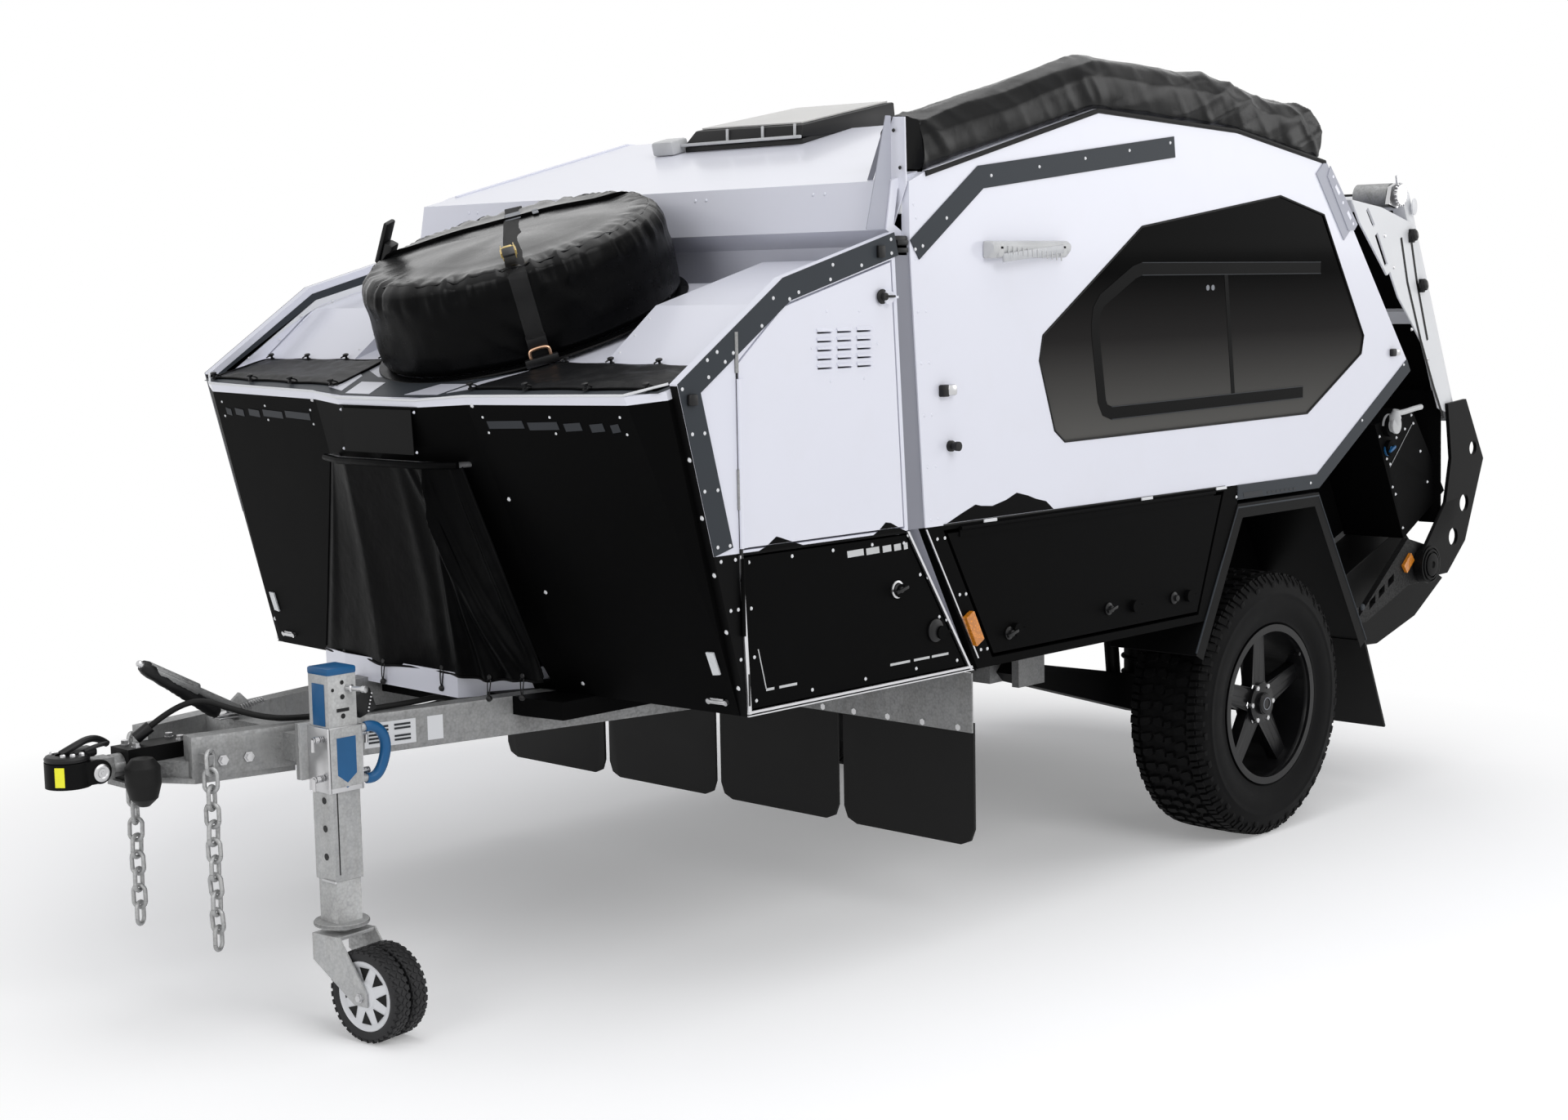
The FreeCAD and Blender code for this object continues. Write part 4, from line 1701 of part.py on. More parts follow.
def lead_gland():
    start = V(*LEAD_ROUTE[0])
    return rod(V(PAN_FRONT_X, start.y, start.z), start, LEAD_DIAMETER)


def write(name, shape):
    solid = shape.copy()
    solid.translate(V(SHIFT_X, 0, 0))
    solid.exportStep(os.path.join("parts", name + ".step"))
    bad = [s for s in solid.Solids if not s.isValid() or s.Volume <= 0]
    print(name, len(solid.Solids), "solids", "BAD" if bad or not solid.Solids else "")


def main():
    os.makedirs("parts", exist_ok=True)
    write("nose_front", nose_front())
    write("nose_floor", nose_floor())
    write("nose_deck", nose_deck())
    write("nose_rear", nose_rear())
    write("nose_sides", pair(nose_side()))
    write("nose_upper_door_left", upper_door())
    write("nose_upper_door_right", right(upper_door()))
    write("nose_lower_door_left", lower_door())
    write("nose_lower_door_right", right(lower_door()))
    write("front_cover", front_cover())
    write("cover_rail", cover_rail())
    write("deck_covers", deck_covers())
    write("spare_cover", spare_cover())
    write("body_sides", pair(body_side()))
    write("windows", pair(window_pane()))
    write("window_bars", pair(window_bars()))
    write("lower_sides", pair(lower_side()))
    write("locker_door_left", locker_door())
    write("locker_door_right", right(locker_door()))
    write("body_front", body_front())
    write("body_roof", body_roof())
    write("rear_hatch", rear_hatch())
    write("tub_floor", tub_floor())
    write("tub_sides", pair(tub_side()))
    write("galley_boxes", group([join([galley_box()] + galley_fittings()), right(galley_box())]))
    write("rear_tray", rear_tray())
    write("mudguards", pair(mudguard()))
    write("mudflaps", pair(mudflap()))
    write("trim_bands", pair(trim_bands()))
    write("corner_rails", pair(corner_rail()))
    write("drawbar", drawbar())
    write("chassis", chassis())
    write("stone_flaps", stone_flaps())
    write("suspension_arms", pair(suspension_arm()))
    write("tyre_left", tyre())
    write("tyre_right", right(tyre()))
    write("rim_left", rim())
    write("rim_right", right(rim()))
    write("coupling_block", coupling_block())
    write("coupling_swivel", coupling_swivel())
    write("coupling_head", coupling_head())
    write("coupling_boot", coupling_boot())
    write("chains", group([chain(1), chain(-1)]))
    write("handbrake_lever", handbrake_lever())
    write("jockey_post", jockey_post())
    write("jockey_leg", jockey_leg())
    write("jockey_fork", jockey_fork())
    write("jockey_wheels", jockey_wheels())
    write("deck_panel", deck_panel())
    write("deck_frame", deck_frame())
    write("deck_arms", pair(deck_arm()))
    write("deck_winch", deck_winch())
    write("roof_hatch_frame", roof_hatch_frame())
    write("roof_hatch", roof_hatch())
    write("awning_bag", awning_bag())
    write("awning_brackets", awning_brackets())
    write("awning_lamp", awning_lamp())
    write("marker_lamps", pair(marker_lamps()))
    write("tow_lead", tow_lead())
    write("lead_ends", group([tow_plug(), lead_gland()]))


if __name__ == "__main__":
    main()
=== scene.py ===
"""Looks of the off-road teardrop camper trailer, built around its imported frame."""
import json
import math

import bmesh
import bpy
from bpy.props import FloatProperty, FloatVectorProperty, IntProperty, PointerProperty
from mathutils import Matrix, Vector, noise

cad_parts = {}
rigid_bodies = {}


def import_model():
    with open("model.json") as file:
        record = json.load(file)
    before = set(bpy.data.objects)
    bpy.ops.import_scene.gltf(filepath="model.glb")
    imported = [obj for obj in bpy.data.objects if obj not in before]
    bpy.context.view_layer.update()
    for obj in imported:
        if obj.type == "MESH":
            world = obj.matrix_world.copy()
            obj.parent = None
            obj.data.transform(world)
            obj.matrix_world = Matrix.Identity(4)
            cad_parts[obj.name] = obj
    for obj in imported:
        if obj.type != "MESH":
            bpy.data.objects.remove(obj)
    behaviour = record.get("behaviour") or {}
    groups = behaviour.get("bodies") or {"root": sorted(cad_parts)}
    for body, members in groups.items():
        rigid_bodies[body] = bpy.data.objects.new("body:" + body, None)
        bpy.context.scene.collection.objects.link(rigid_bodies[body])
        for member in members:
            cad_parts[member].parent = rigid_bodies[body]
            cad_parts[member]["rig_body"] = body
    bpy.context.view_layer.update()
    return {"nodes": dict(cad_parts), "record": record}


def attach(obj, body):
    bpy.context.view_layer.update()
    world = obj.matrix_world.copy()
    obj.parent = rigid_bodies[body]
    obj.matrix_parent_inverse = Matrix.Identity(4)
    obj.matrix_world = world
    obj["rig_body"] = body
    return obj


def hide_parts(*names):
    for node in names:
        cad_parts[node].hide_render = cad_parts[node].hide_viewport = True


bl_info = {
    "name": "Teardrop camper trailer",
    "version": (1, 0, 0),
    "blender": (4, 5, 0),
    "location": "3D View > Sidebar > Trailer",
    "description": "Builds the trailer's surfaces, soft covers, rivets, straps and small fittings",
    "category": "Object",
}

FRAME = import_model()
NODES = FRAME["nodes"]
MM = 0.001
AXLE_X = -1067.0
HALF = 940.0
SPLIT = 1080.0
POST_X = 2955.0
POST_Y = 310.0
TRAIL = 112.0
CASTOR_TURN = math.radians(82.0)
JOCKEY_HUB = (POST_X - TRAIL * math.cos(CASTOR_TURN), POST_Y + TRAIL * math.sin(CASTOR_TURN), 109.0)
JOCKEY_WAY = (-math.cos(CASTOR_TURN), math.sin(CASTOR_TURN))
SPARE_LEAN = (0.322, 0.947)


def at(x, y, z):
    """A point given in millimetres from the axle, in the frame's metres."""
    return Vector(((x + AXLE_X) * MM, y * MM, z * MM))


SPARE_FOOT = at(2064, 0, 1588.4)


def link_method(operation):
    """A method for Link that adds one math node."""
    def method(self, *others):
        return self.math(operation, *others)
    return method


class Link:
    """A shader socket that can be used in Python expressions."""
    __add__ = link_method("ADD")
    __sub__ = link_method("SUBTRACT")
    __mul__ = link_method("MULTIPLY")
    __truediv__ = link_method("DIVIDE")
    __pow__ = link_method("POWER")
    __gt__ = link_method("GREATER_THAN")
    __lt__ = link_method("LESS_THAN")
    sine = link_method("SINE")
    absolute = link_method("ABSOLUTE")

    def __init__(self, shade, socket):
        self.shade = shade
        self.socket = socket

    def math(self, operation, *others, clamp=False):
        values = dict(enumerate((self,) + others))
        return self.shade.node("ShaderNodeMath", {"operation": operation, "use_clamp": clamp}, values)[0]

    def __rsub__(self, other):
        return self.shade.node("ShaderNodeMath", {"operation": "SUBTRACT"}, {0: other, 1: self})[0]

    def clamped(self):
        return self.math("ADD", 0.0, clamp=True)


class TrailerSizes(bpy.types.PropertyGroup):
    """Sizes of the trims, straps, chains and seals."""
    rivet: FloatProperty(name="Rivet radius", description="Radius of the head of a wall rivet", default=0.0046,
                         min=0.002, max=0.01, precision=4, subtype="DISTANCE", unit="LENGTH")
    cloth: FloatProperty(name="Cloth thickness", description="Thickness of the coated cloth of the covers",
                         default=0.0022, min=0.0005, max=0.005, precision=4, subtype="DISTANCE", unit="LENGTH")
    rim_strip: FloatProperty(name="Rim strip radius", description="Radius of the bright strip on the nose's front rim",
                             default=0.003, min=0.001, max=0.008, precision=4, subtype="DISTANCE", unit="LENGTH")
    window_seal: FloatProperty(name="Window seal radius", description="Radius of the rubber bead round a window",
                               default=0.0032, min=0.001, max=0.008, precision=4, subtype="DISTANCE", unit="LENGTH")
    window_bar: FloatProperty(name="Window bar width", description="Width of the inner frame seen through a window",
                              default=0.036, min=0.01, max=0.06, subtype="DISTANCE", unit="LENGTH")
    wide_strap: FloatProperty(name="Wide strap", description="Width of the near strap over the spare wheel's cover",
                              default=0.046, min=0.02, max=0.08, subtype="DISTANCE", unit="LENGTH")
    thin_strap: FloatProperty(name="Thin strap", description="Width of the strap across the spare wheel's cover",
                              default=0.024, min=0.01, max=0.05, subtype="DISTANCE", unit="LENGTH")
    chain_link: FloatProperty(name="Chain link length", description="Outer length of a safety chain link",
                              default=0.064, min=0.03, max=0.1, subtype="DISTANCE", unit="LENGTH")
    chain_width: FloatProperty(name="Chain link width", description="Outer width of a safety chain link",
                               default=0.042, min=0.02, max=0.06, subtype="DISTANCE", unit="LENGTH")
    chain_wire: FloatProperty(name="Chain wire", description="Diameter of a safety chain's wire", default=0.0105,
                              min=0.004, max=0.016, precision=4, subtype="DISTANCE", unit="LENGTH")
    chain_count: IntProperty(name="Chain links", description="Links in each hanging safety chain", default=11, min=5,
                             max=16)


class TrailerColours(bpy.types.PropertyGroup):
    """Colours of the panels, bands, handles and lamps."""
    panel: FloatVectorProperty(name="Panel paint", description="Pale gloss paint of the upper panels", size=3,
                               subtype="COLOR", default=(0.755, 0.765, 0.845), min=0.0, max=1.0)
    band: FloatVectorProperty(name="Band paint", description="Dark slate paint of the riveted bands", size=3,
                              subtype="COLOR", default=(0.0375, 0.043, 0.050), min=0.0, max=1.0)
    handle: FloatVectorProperty(name="Handle plastic", description="Blue plastic of the jockey wheel's handle and cap",
                                size=3, subtype="COLOR", default=(0.008, 0.075, 0.19), min=0.0, max=1.0)
    amber: FloatVectorProperty(name="Side lamps", description="Amber of the side lamps' lenses", size=3,
                               subtype="COLOR", default=(0.90, 0.30, 0.02), min=0.0, max=1.0)


def scene_sizes():
    return bpy.context.scene.trailer_sizes


def scene_colours():
    return bpy.context.scene.trailer_colours


class Shade:
    """Builds one material's node tree."""

    def __init__(self, name, tree=None):
        if tree is None:
            self.material = bpy.data.materials.new(name)
            self.material.use_nodes = True
            tree = self.material.node_tree
        self.tree = tree
        self.tree.nodes.clear()

    def node(self, kind, settings=None, values=None):
        made = self.tree.nodes.new(kind)
        for key, value in (settings or {}).items():
            if key == "stops":
                ramp = made.color_ramp
                while len(ramp.elements) < len(value):
                    ramp.elements.new(0.5)
                for element, (place, colour) in zip(ramp.elements, value):
                    element.position = place
                    element.color = (*colour, 1.0) if len(colour) == 3 else colour
            else:
                setattr(made, key, value)
        for key, value in (values or {}).items():
            socket = made.inputs[key]
            if isinstance(value, Link):
                self.tree.links.new(value.socket, socket)
            elif value is not None:
                if isinstance(value, (tuple, list)) and len(value) == 3 and socket.type == "RGBA":
                    value = (*value, 1.0)
                socket.default_value = value
        return [Link(self, output) for output in made.outputs]

    def place(self, scale=None):
        """Object coordinates, scaled where a scale is given."""
        here = self.node("ShaderNodeTexCoord")[3]
        return self.node("ShaderNodeMapping", None, {"Vector": here, "Scale": scale})[0] if scale else here

    def axes(self):
        return self.node("ShaderNodeSeparateXYZ", None, {0: self.place()})

    def noise(self, scale, detail=3.0, rough=0.55, place=None):
        made = self.node("ShaderNodeTexNoise", None, {
            "Vector": place or self.place(), "Scale": scale, "Detail": detail, "Roughness": rough})
        return made[0]

    def cells(self, scale):
        return self.node("ShaderNodeTexVoronoi", {"feature": "F1"}, {"Vector": self.place(), "Scale": scale})

    def ramp(self, factor, stops):
        return self.node("ShaderNodeValToRGB", {"stops": stops}, {0: factor})[0]

    def mix(self, factor, a, b):
        return self.node("ShaderNodeMix", {"data_type": "RGBA"}, {0: factor, 6: a, 7: b})[2]

    def bump(self, height, distance, strength=1.0, normal=None):
        return self.node("ShaderNodeBump", None, {
            "Height": height, "Distance": distance, "Strength": strength, "Normal": normal})[0]

    def finish(self, **values):
        """Closes the tree with one Principled surface."""
        named = {key.replace("_", " "): value for key, value in values.items()}
        surface = self.node("ShaderNodeBsdfPrincipled", None, named)[0]
        self.node("ShaderNodeOutputMaterial", None, {0: surface})
        return self.material


def paint_white(name="lavender white panel paint", shift=0.0):
    """Gloss panel paint with faint orange peel and a trace of dust in scattered patches."""
    s = Shade(name)
    peel = s.noise(260.0, 2.0)
    broad = s.noise(1.7, 4.0)
    dust = (s.noise(9.0, 6.0) - 0.52).clamped() * 0.5
    light = tuple(c + shift for c in scene_colours().panel)
    deep = tuple(c - 0.045 for c in light)
    colour = s.mix(broad, deep, light)
    colour = s.mix(dust * 0.5, colour, (0.60, 0.59, 0.58))
    return s.finish(Base_Color=colour, Roughness=broad * 0.12 + 0.26, Normal=s.bump(peel, 0.00012, 0.35),
                    Coat_Weight=0.35, Coat_Roughness=0.12)


def paint_black(name="textured black panel paint", level=0.0022, shine=0.02):
    """Satin black with the fine pebble of powder coat."""
    s = Shade(name)
    grain = s.noise(620.0, 2.0, 0.6)
    broad = s.noise(3.1, 5.0)
    haze = (s.noise(14.0, 8.0, 0.65) - 0.55).clamped()
    colour = s.mix(broad, (level,) * 3, tuple(level * k for k in (1.5, 1.52, 1.6)))
    colour = s.mix(haze * 0.3, colour, (0.009, 0.009, 0.0096))
    return s.finish(Base_Color=colour, Roughness=broad * 0.12 + grain * 0.10 + 0.36,
                    Normal=s.bump(grain, 0.0005, 0.35), Specular_IOR_Level=shine)


def paint_split():
    """White above the waist line and textured black below it."""
    s = Shade("two tone panel paint")
    axes = s.axes()
    low = axes[2] < SPLIT * MM
    edge = (axes[0] - at(2430, 0, 0).x) > (axes[2] - 1472.0 * MM) * 0.2591
    facet = edge * (axes[1].absolute() < 0.9392) * (axes[2] < 1.468)
    low = (low + facet).clamped()
    broad = s.noise(1.7, 4.0)
    grain = s.noise(620.0, 2.0, 0.6)
    panel = tuple(scene_colours().panel)
    white = s.mix(broad, tuple(c - 0.045 for c in panel), panel)
    black = s.mix(broad, (0.0022,) * 3, (0.0036, 0.0036, 0.004))
    return s.finish(Base_Color=s.mix(low, white, black), Roughness=broad * 0.12 + low * 0.14 + 0.26,
                    Normal=s.bump(grain * low, 0.0005, 0.35), Specular_IOR_Level=0.05,
                    Coat_Weight=(1.0 - low) * 0.35, Coat_Roughness=0.12)


def coated(name, dark, light, broad, grain, rough, bump, **values):
    """A coat in two close tones, mixed by a broad noise, over a fine grain."""
    s = Shade(name)
    fine = s.noise(*grain)
    wide = s.noise(*broad)
    colour = s.mix(wide, dark, light)
    return s.finish(Base_Color=colour, Roughness=wide * rough[0] + rough[1], Normal=s.bump(fine, *bump), **values)


def paint_band(name="slate band paint", base=(0.0375, 0.043, 0.050), shine=0.12):
    return coated(name, tuple(c * 0.88 for c in base), tuple(c * 1.12 for c in base), (4.0, 5.0), (540.0, 2.0, 0.6),
                  (0.12, 0.38), (0.0004, 0.3), Specular_IOR_Level=shine)


def zinc(name="hot dip galvanising", tone=0.30, metal=0.85, painted_behind=None):
    """Spangled zinc with drips, dull patches and grime in broad patches; black paint behind a station."""
    s = Shade(name)
    spangle = s.cells(58.0)
    small = s.cells(150.0)
    broad = s.noise(6.5, 6.0)
    streak = s.noise(5.0, 5.0, 0.6, s.place((9.0, 9.0, 1.5)))
    lift = spangle[1]
    tone_a = s.mix(lift, (tone * 0.92, tone * 0.93, tone * 0.94), (tone * 1.07, tone * 1.08, tone * 1.08))
    tone_b = s.mix((streak - 0.45).clamped() * 1.6, tone_a, (tone * 0.80, tone * 0.79, tone * 0.77))
    grime = (broad - 0.56).clamped() * 2.2
    colour = s.mix(grime, tone_b, (tone * 0.62, tone * 0.61, tone * 0.59))
    rough = broad * 0.25 + small[0] * 0.4 + 0.28
    height = broad * 0.6 + small[0] * 0.4
    if painted_behind is not None:
        painted = s.axes()[0] < at(painted_behind, 0, 0).x
        colour = s.mix(painted, colour, (0.003, 0.003, 0.0033))
        metal = (1.0 - painted) * metal
    return s.finish(Base_Color=colour, Metallic=metal, Roughness=rough, Normal=s.bump(height, 0.0006, 0.4),
                    Specular_IOR_Level=0.25)


def bright_metal(name="bright plated steel", tone=(0.62, 0.62, 0.63), rough=0.22):
    s = Shade(name)
    wear = s.noise(40.0, 5.0)
    colour = s.mix(wear, tuple(c * 0.86 for c in tone), tone)
    return s.finish(Base_Color=colour, Metallic=1.0, Roughness=wear * 0.18 + rough)


def white_alloy():
    return coated("white powder coat on alloy", (0.66, 0.67, 0.69), (0.76, 0.77, 0.79), (5.0, 5.0), (420.0, 2.0),
                  (0.15, 0.34), (0.0003, 0.3))


def wheel_paint():
    s = Shade("gloss black wheel paint")
    broad = s.noise(18.0, 5.0)
    dust = (s.noise(30.0, 7.0) - 0.55).clamped()
    colour = s.mix(dust * 0.5, (0.0045, 0.0045, 0.005), (0.026, 0.025, 0.023))
    return s.finish(Base_Color=colour, Roughness=broad * 0.16 + dust * 0.3 + 0.24,
                    Coat_Weight=0.05, Coat_Roughness=0.15, Specular_IOR_Level=0.22)


def tyre_rubber(name="tyre rubber", radius_mm=400.0, hub=(0.0, 0.0, 400.0), way=(1.0, 0.0), tone=0.0022, shine=0.07):
    """Matt rubber with fine moulding rings round the axle and dusty shoulders."""
    s = Shade(name)
    axes = s.axes()
    middle = at(*hub)
    along = (axes[0] - middle.x) * way[0] + (axes[1] - middle.y) * way[1]
    rise = axes[2] - middle.z
    radius = (along * along + rise * rise) ** 0.5
    rings = (radius * 2400.0).sine() * 0.5 + 0.5
    side = radius < radius_mm * 0.93 * MM
    grain = s.noise(700.0, 2.0)
    broad = s.noise(22.0, 6.0)
    dust = (broad - 0.45).clamped() * (radius > radius_mm * 0.86 * MM)
    colour = s.mix(broad, (tone,) * 3, (tone * 2.3, tone * 2.3, tone * 2.5))
    colour = s.mix(dust * 0.5, colour, (0.020, 0.019, 0.018))
    return s.finish(Base_Color=colour, Roughness=broad * 0.2 + 0.50, Specular_IOR_Level=shine,
                    Normal=s.bump(rings * side * 0.35 + grain * 0.6, 0.0006, 0.45))


def rubber(name="moulded rubber", tone=0.0045):
    return coated(name, (tone,) * 3, (tone * 1.9, tone * 1.88, tone * 1.85), (7.0, 6.0), (500.0, 2.0), (0.2, 0.42),
                  (0.0004, 0.3), Specular_IOR_Level=0.18)


def vinyl(name="black coated cloth", tone=0.0008, fold_depth=0.007, rough=0.27, shine=0.03, gloss_above=None):
    """Coated cloth: fine basket weave under a sheen, with soft creases that carry painted shade in their hollows and a
    painted highlight on their crests.
    """
    s = Shade(name)
    axes = s.axes()
    across = (axes[0] * 3400.0 + axes[1] * 3400.0).sine()
    down = (axes[2] * 3400.0 + axes[1] * 900.0).sine()
    weave = across * down * 0.5 + 0.5
    crease = s.noise(9.0, 4.0, 0.5)
    small = s.noise(48.0, 4.0)
    dust = (s.noise(6.0, 7.0) - 0.54).clamped()
    # painted shade and highlight: the colour follows the crease noise that also raises the bump, darker in the hollows
    # and lighter on the crests
    colour = s.mix(crease, (tone, tone, tone * 1.1), (tone * 2.2, tone * 2.3, tone * 2.6))
    colour = s.mix(dust * 0.5, colour, (tone * 5, tone * 5.2, tone * 5.8))
    normal = s.bump(weave, 0.00025, 0.25)
    normal = s.bump(crease * 0.85 + small * 0.15, fold_depth, 0.5, normal)
    coat = 0.0
    if gloss_above is not None:
        rise = (axes[0] - SPARE_FOOT.x) * SPARE_LEAN[0] + (axes[2] - SPARE_FOOT.z) * SPARE_LEAN[1]
        coat = ((rise - gloss_above * MM) * 28.0).clamped()
    return s.finish(Base_Color=colour, Roughness=small * 0.14 + rough, Normal=normal, Specular_IOR_Level=shine,
                    Coat_Weight=coat * 0.8, Coat_Roughness=0.22)


def webbing(name="strap webbing", tone=(0.006, 0.006, 0.0065)):
    s = Shade(name)
    axes = s.axes()
    rib = ((axes[0] + axes[1] * 0.7 + axes[2]) * 2600.0).sine() * 0.5 + 0.5
    fray = s.noise(220.0, 4.0)
    colour = s.mix(fray, tone, tuple(c * 2.4 for c in tone))
    return s.finish(Base_Color=colour, Roughness=fray * 0.2 + 0.55, Normal=s.bump(rib, 0.0005, 0.5))


def window_glass():
    """Dark acrylic whose colour grows lighter and warmer towards its lower edge, as a painted reflection."""
    s = Shade("window acrylic with painted reflection")
    axes = s.axes()
    # painted reflection: the colour ramp runs from near black at the top of the pane to warm grey at its lower edge
    low = ((1.93 - axes[2]) / 0.66).clamped()
    colour = s.ramp(low, [(0.18, (0.0003, 0.0003, 0.0003)), (0.36, (0.0025, 0.0025, 0.0025)),
                          (0.62, (0.020, 0.0190, 0.0188)), (1.0, (0.100, 0.098, 0.093))])
    ripple = s.noise(3.0, 2.0)
    return s.finish(Base_Color=colour, Roughness=ripple * 0.03 + 0.07, Alpha=low * -0.02 + 1.0,
                    Normal=s.bump(ripple, 0.002, 0.12), Specular_IOR_Level=0.01)


def clear_lens():
    s = Shade("lamp lens")
    ribs = (s.axes()[0] * 900.0).sine() * 0.5 + 0.5
    tint = s.noise(60.0, 2.0)
    colour = s.mix(tint, (0.42, 0.43, 0.45), (0.55, 0.56, 0.58))
    return s.finish(Base_Color=colour, Roughness=tint * 0.1 + 0.15, Normal=s.bump(ribs, 0.0008, 0.5))


def amber_lens(tone):
    s = Shade("amber lens")
    cells = s.cells(160.0)
    colour = s.mix(cells[0] * 1.6, tone, tuple(c * 0.55 for c in tone))
    return s.finish(Base_Color=colour, Roughness=cells[0] * 0.2 + 0.16, Normal=s.bump(cells[0], 0.001, 0.5),
                    Coat_Weight=0.5)


def plastic(name="moulded black plastic", tone=(0.004, 0.004, 0.0044), rough=0.42):
    s = Shade(name)
    grain = s.noise(380.0, 2.0)
    broad = s.noise(12.0, 4.0)
    colour = s.mix(broad, tone, tuple(min(1.0, c * 1.5) for c in tone))
    return s.finish(Base_Color=colour, Roughness=broad * 0.14 + rough - 0.06, Normal=s.bump(grain, 0.0003, 0.25),
                    Specular_IOR_Level=0.3)


def reflector():
    s = Shade("white reflector")
    cells = s.cells(330.0)
    colour = s.mix(cells[0] * 2.0, (0.88, 0.89, 0.90), (0.62, 0.64, 0.66))
    return s.finish(Base_Color=colour, Roughness=cells[0] * 0.3 + 0.1, Normal=s.bump(cells[0], 0.0008, 0.6))


M = {}


def make_materials():
    M.update({
        "white": paint_white(), "hatch": paint_white("hatch paint", -0.03), "black": paint_black(),
        "split": paint_split(), "band": paint_band(base=tuple(scene_colours().band)),
        "graphic": paint_band("skyline film", (0.003, 0.003, 0.0032), 0.03),
        "dash": paint_band("slate dash film", (0.040, 0.042, 0.046)), "zinc": zinc(),
        "chassis_zinc": zinc("chassis galvanising", 0.30, 0.85, -560.0), "chain": zinc("chain zinc", 0.42, 0.9),
        "post_zinc": zinc("post galvanising", 0.46),
        "plated": bright_metal(), "edge": bright_metal("brushed edge trim", (0.70, 0.70, 0.72), 0.30),
        "yellow": bright_metal("yellow zinc", (0.62, 0.47, 0.18), 0.25), "alloy": white_alloy(),
        "steel": paint_black("satin black steel", 0.003, 0.08), "wheel": wheel_paint(), "tyre": tyre_rubber(),
        "small_tyre": tyre_rubber("jockey tyre rubber", 109.0, JOCKEY_HUB, JOCKEY_WAY, 0.011, 0.3), "rubber": rubber(),
        "vinyl": vinyl(), "bag": vinyl("awning bag cloth", 0.0012, 0.004, 0.13, 0.15),
        "spare": vinyl("spare cover cloth", 0.0012, 0.005, 0.22, 0.06, 214.0),
        "shelf": vinyl("shelf cover cloth", 0.0035, 0.005, 0.3, 0.10), "web": webbing(), "glass": window_glass(),
        "lens": clear_lens(), "amber": amber_lens(tuple(scene_colours().amber)),
        "plastic": plastic(), "grey_plastic": plastic("pale grey plastic", (0.42, 0.425, 0.43), 0.35),
        "blue": plastic("blue plastic", tuple(scene_colours().handle), 0.34), "reflector": reflector(),
        "slate": paint_band("dark slate panel", (0.034, 0.037, 0.042)),
        "grey_film": paint_band("grey film", (0.21, 0.22, 0.24)),
        "frame_grey": paint_band("window frame grey", (0.007, 0.007, 0.007), 0.03),
        "post": paint_band("pale post film", (0.215, 0.22, 0.255), 0.25),
        "pale": paint_band("pale lavender paint", (0.40, 0.41, 0.47), 0.3),
        "hatch_pane": paint_band("cream hatch pane", (0.56, 0.555, 0.54), 0.4),
        "copper": bright_metal("copper zinc", (0.72, 0.45, 0.30), 0.25),
        "inside": paint_white("pale inner skin", -0.25),
        "yellow_film": plastic("yellow reflector", (0.75, 0.70, 0.03), 0.3),
    })


# The CAD's nodes that wear each look
LOOK_NODES = {
    "black": "nose_front nose_floor nose_lower_door_left nose_lower_door_right lower_sides locker_door_left "
             "locker_door_right tub_sides galley_boxes deck_panel",
    "white": "nose_deck nose_rear nose_upper_door_left nose_upper_door_right body_sides body_front body_roof",
    "split": "nose_sides",
    "vinyl": "front_cover deck_covers spare_cover",
    "edge": "cover_rail",
    "glass": "windows",
    "plastic": "window_bars roof_hatch_frame roof_hatch lead_ends",
    "hatch": "rear_hatch",
    "zinc": "tub_floor drawbar coupling_swivel handbrake_lever deck_winch",
    "steel": "rear_tray mudguards suspension_arms coupling_block coupling_head deck_arms",
    "rubber": "mudflaps stone_flaps coupling_boot tow_lead",
    "band": "trim_bands",
    "post": "corner_rails",
    "chassis_zinc": "chassis",
    "tyre": "tyre_left tyre_right",
    "wheel": "rim_left rim_right",
    "chain": "chains",
    "post_zinc": "jockey_post jockey_leg jockey_fork",
    "small_tyre": "jockey_wheels",
    "alloy": "deck_frame",
    "bag": "awning_bag",
    "pale": "awning_brackets",
    "grey_plastic": "awning_lamp",
    "amber": "marker_lamps",
}
NODE_LOOKS = {node: look for look, nodes in LOOK_NODES.items() for node in nodes.split()}


# The slot listed for each look of the added pieces, unless a piece names another; piece looks it up but gives the
# object no slot
SLOT_LOOKS = {
    "panel_white": "white", "alloy_white": "alloy copper grey_film yellow grey_plastic plated",
    "band_grey": "steel band post", "vinyl_black": "vinyl spare web bag shelf", "plastic_black": "plastic blue",
    "rubber_black": "rubber", "lamp_white": "lens reflector", "tyre_black": "small_tyre tyre",
    "steel_galvanised": "zinc pale", "lamp_amber": "yellow_film", "panel_black": "black slate",
    "hatch_white": "hatch_pane", "window_dark": "frame_grey", "wheel_black": "wheel",
}
LOOK_SLOTS = {look: slot for slot, looks in SLOT_LOOKS.items() for look in looks.split()}


def piece(name, bm, look, smooth=35.0, body="trailer", slot=None, turn_out=True):
    """Makes a finished object from a bmesh and lets it ride on a body."""
    if turn_out:
        bmesh.ops.recalc_face_normals(bm, faces=bm.faces)
    mesh = bpy.data.meshes.new(name)
    bm.to_mesh(mesh)
    bm.free()
    obj = bpy.data.objects.new(name, mesh)
    bpy.context.scene.collection.objects.link(obj)
    mesh.materials.append(M[look])
    if smooth:
        mesh.shade_smooth()
        mesh.set_sharp_from_angle(angle=math.radians(smooth))
    slot or LOOK_SLOTS[look]
    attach(obj, body)
    return obj


def spot(x, y, z):
    """A placement at a point in millimetres from the axle."""
    return Matrix.Translation(at(x, y, z))


def shift(x, y, z):
    """A move in metres."""
    return Matrix.Translation((x, y, z))


def turn_by(angle, axis):
    """A turn about one of the axes through the origin."""
    return Matrix.Rotation(angle, 4, axis)


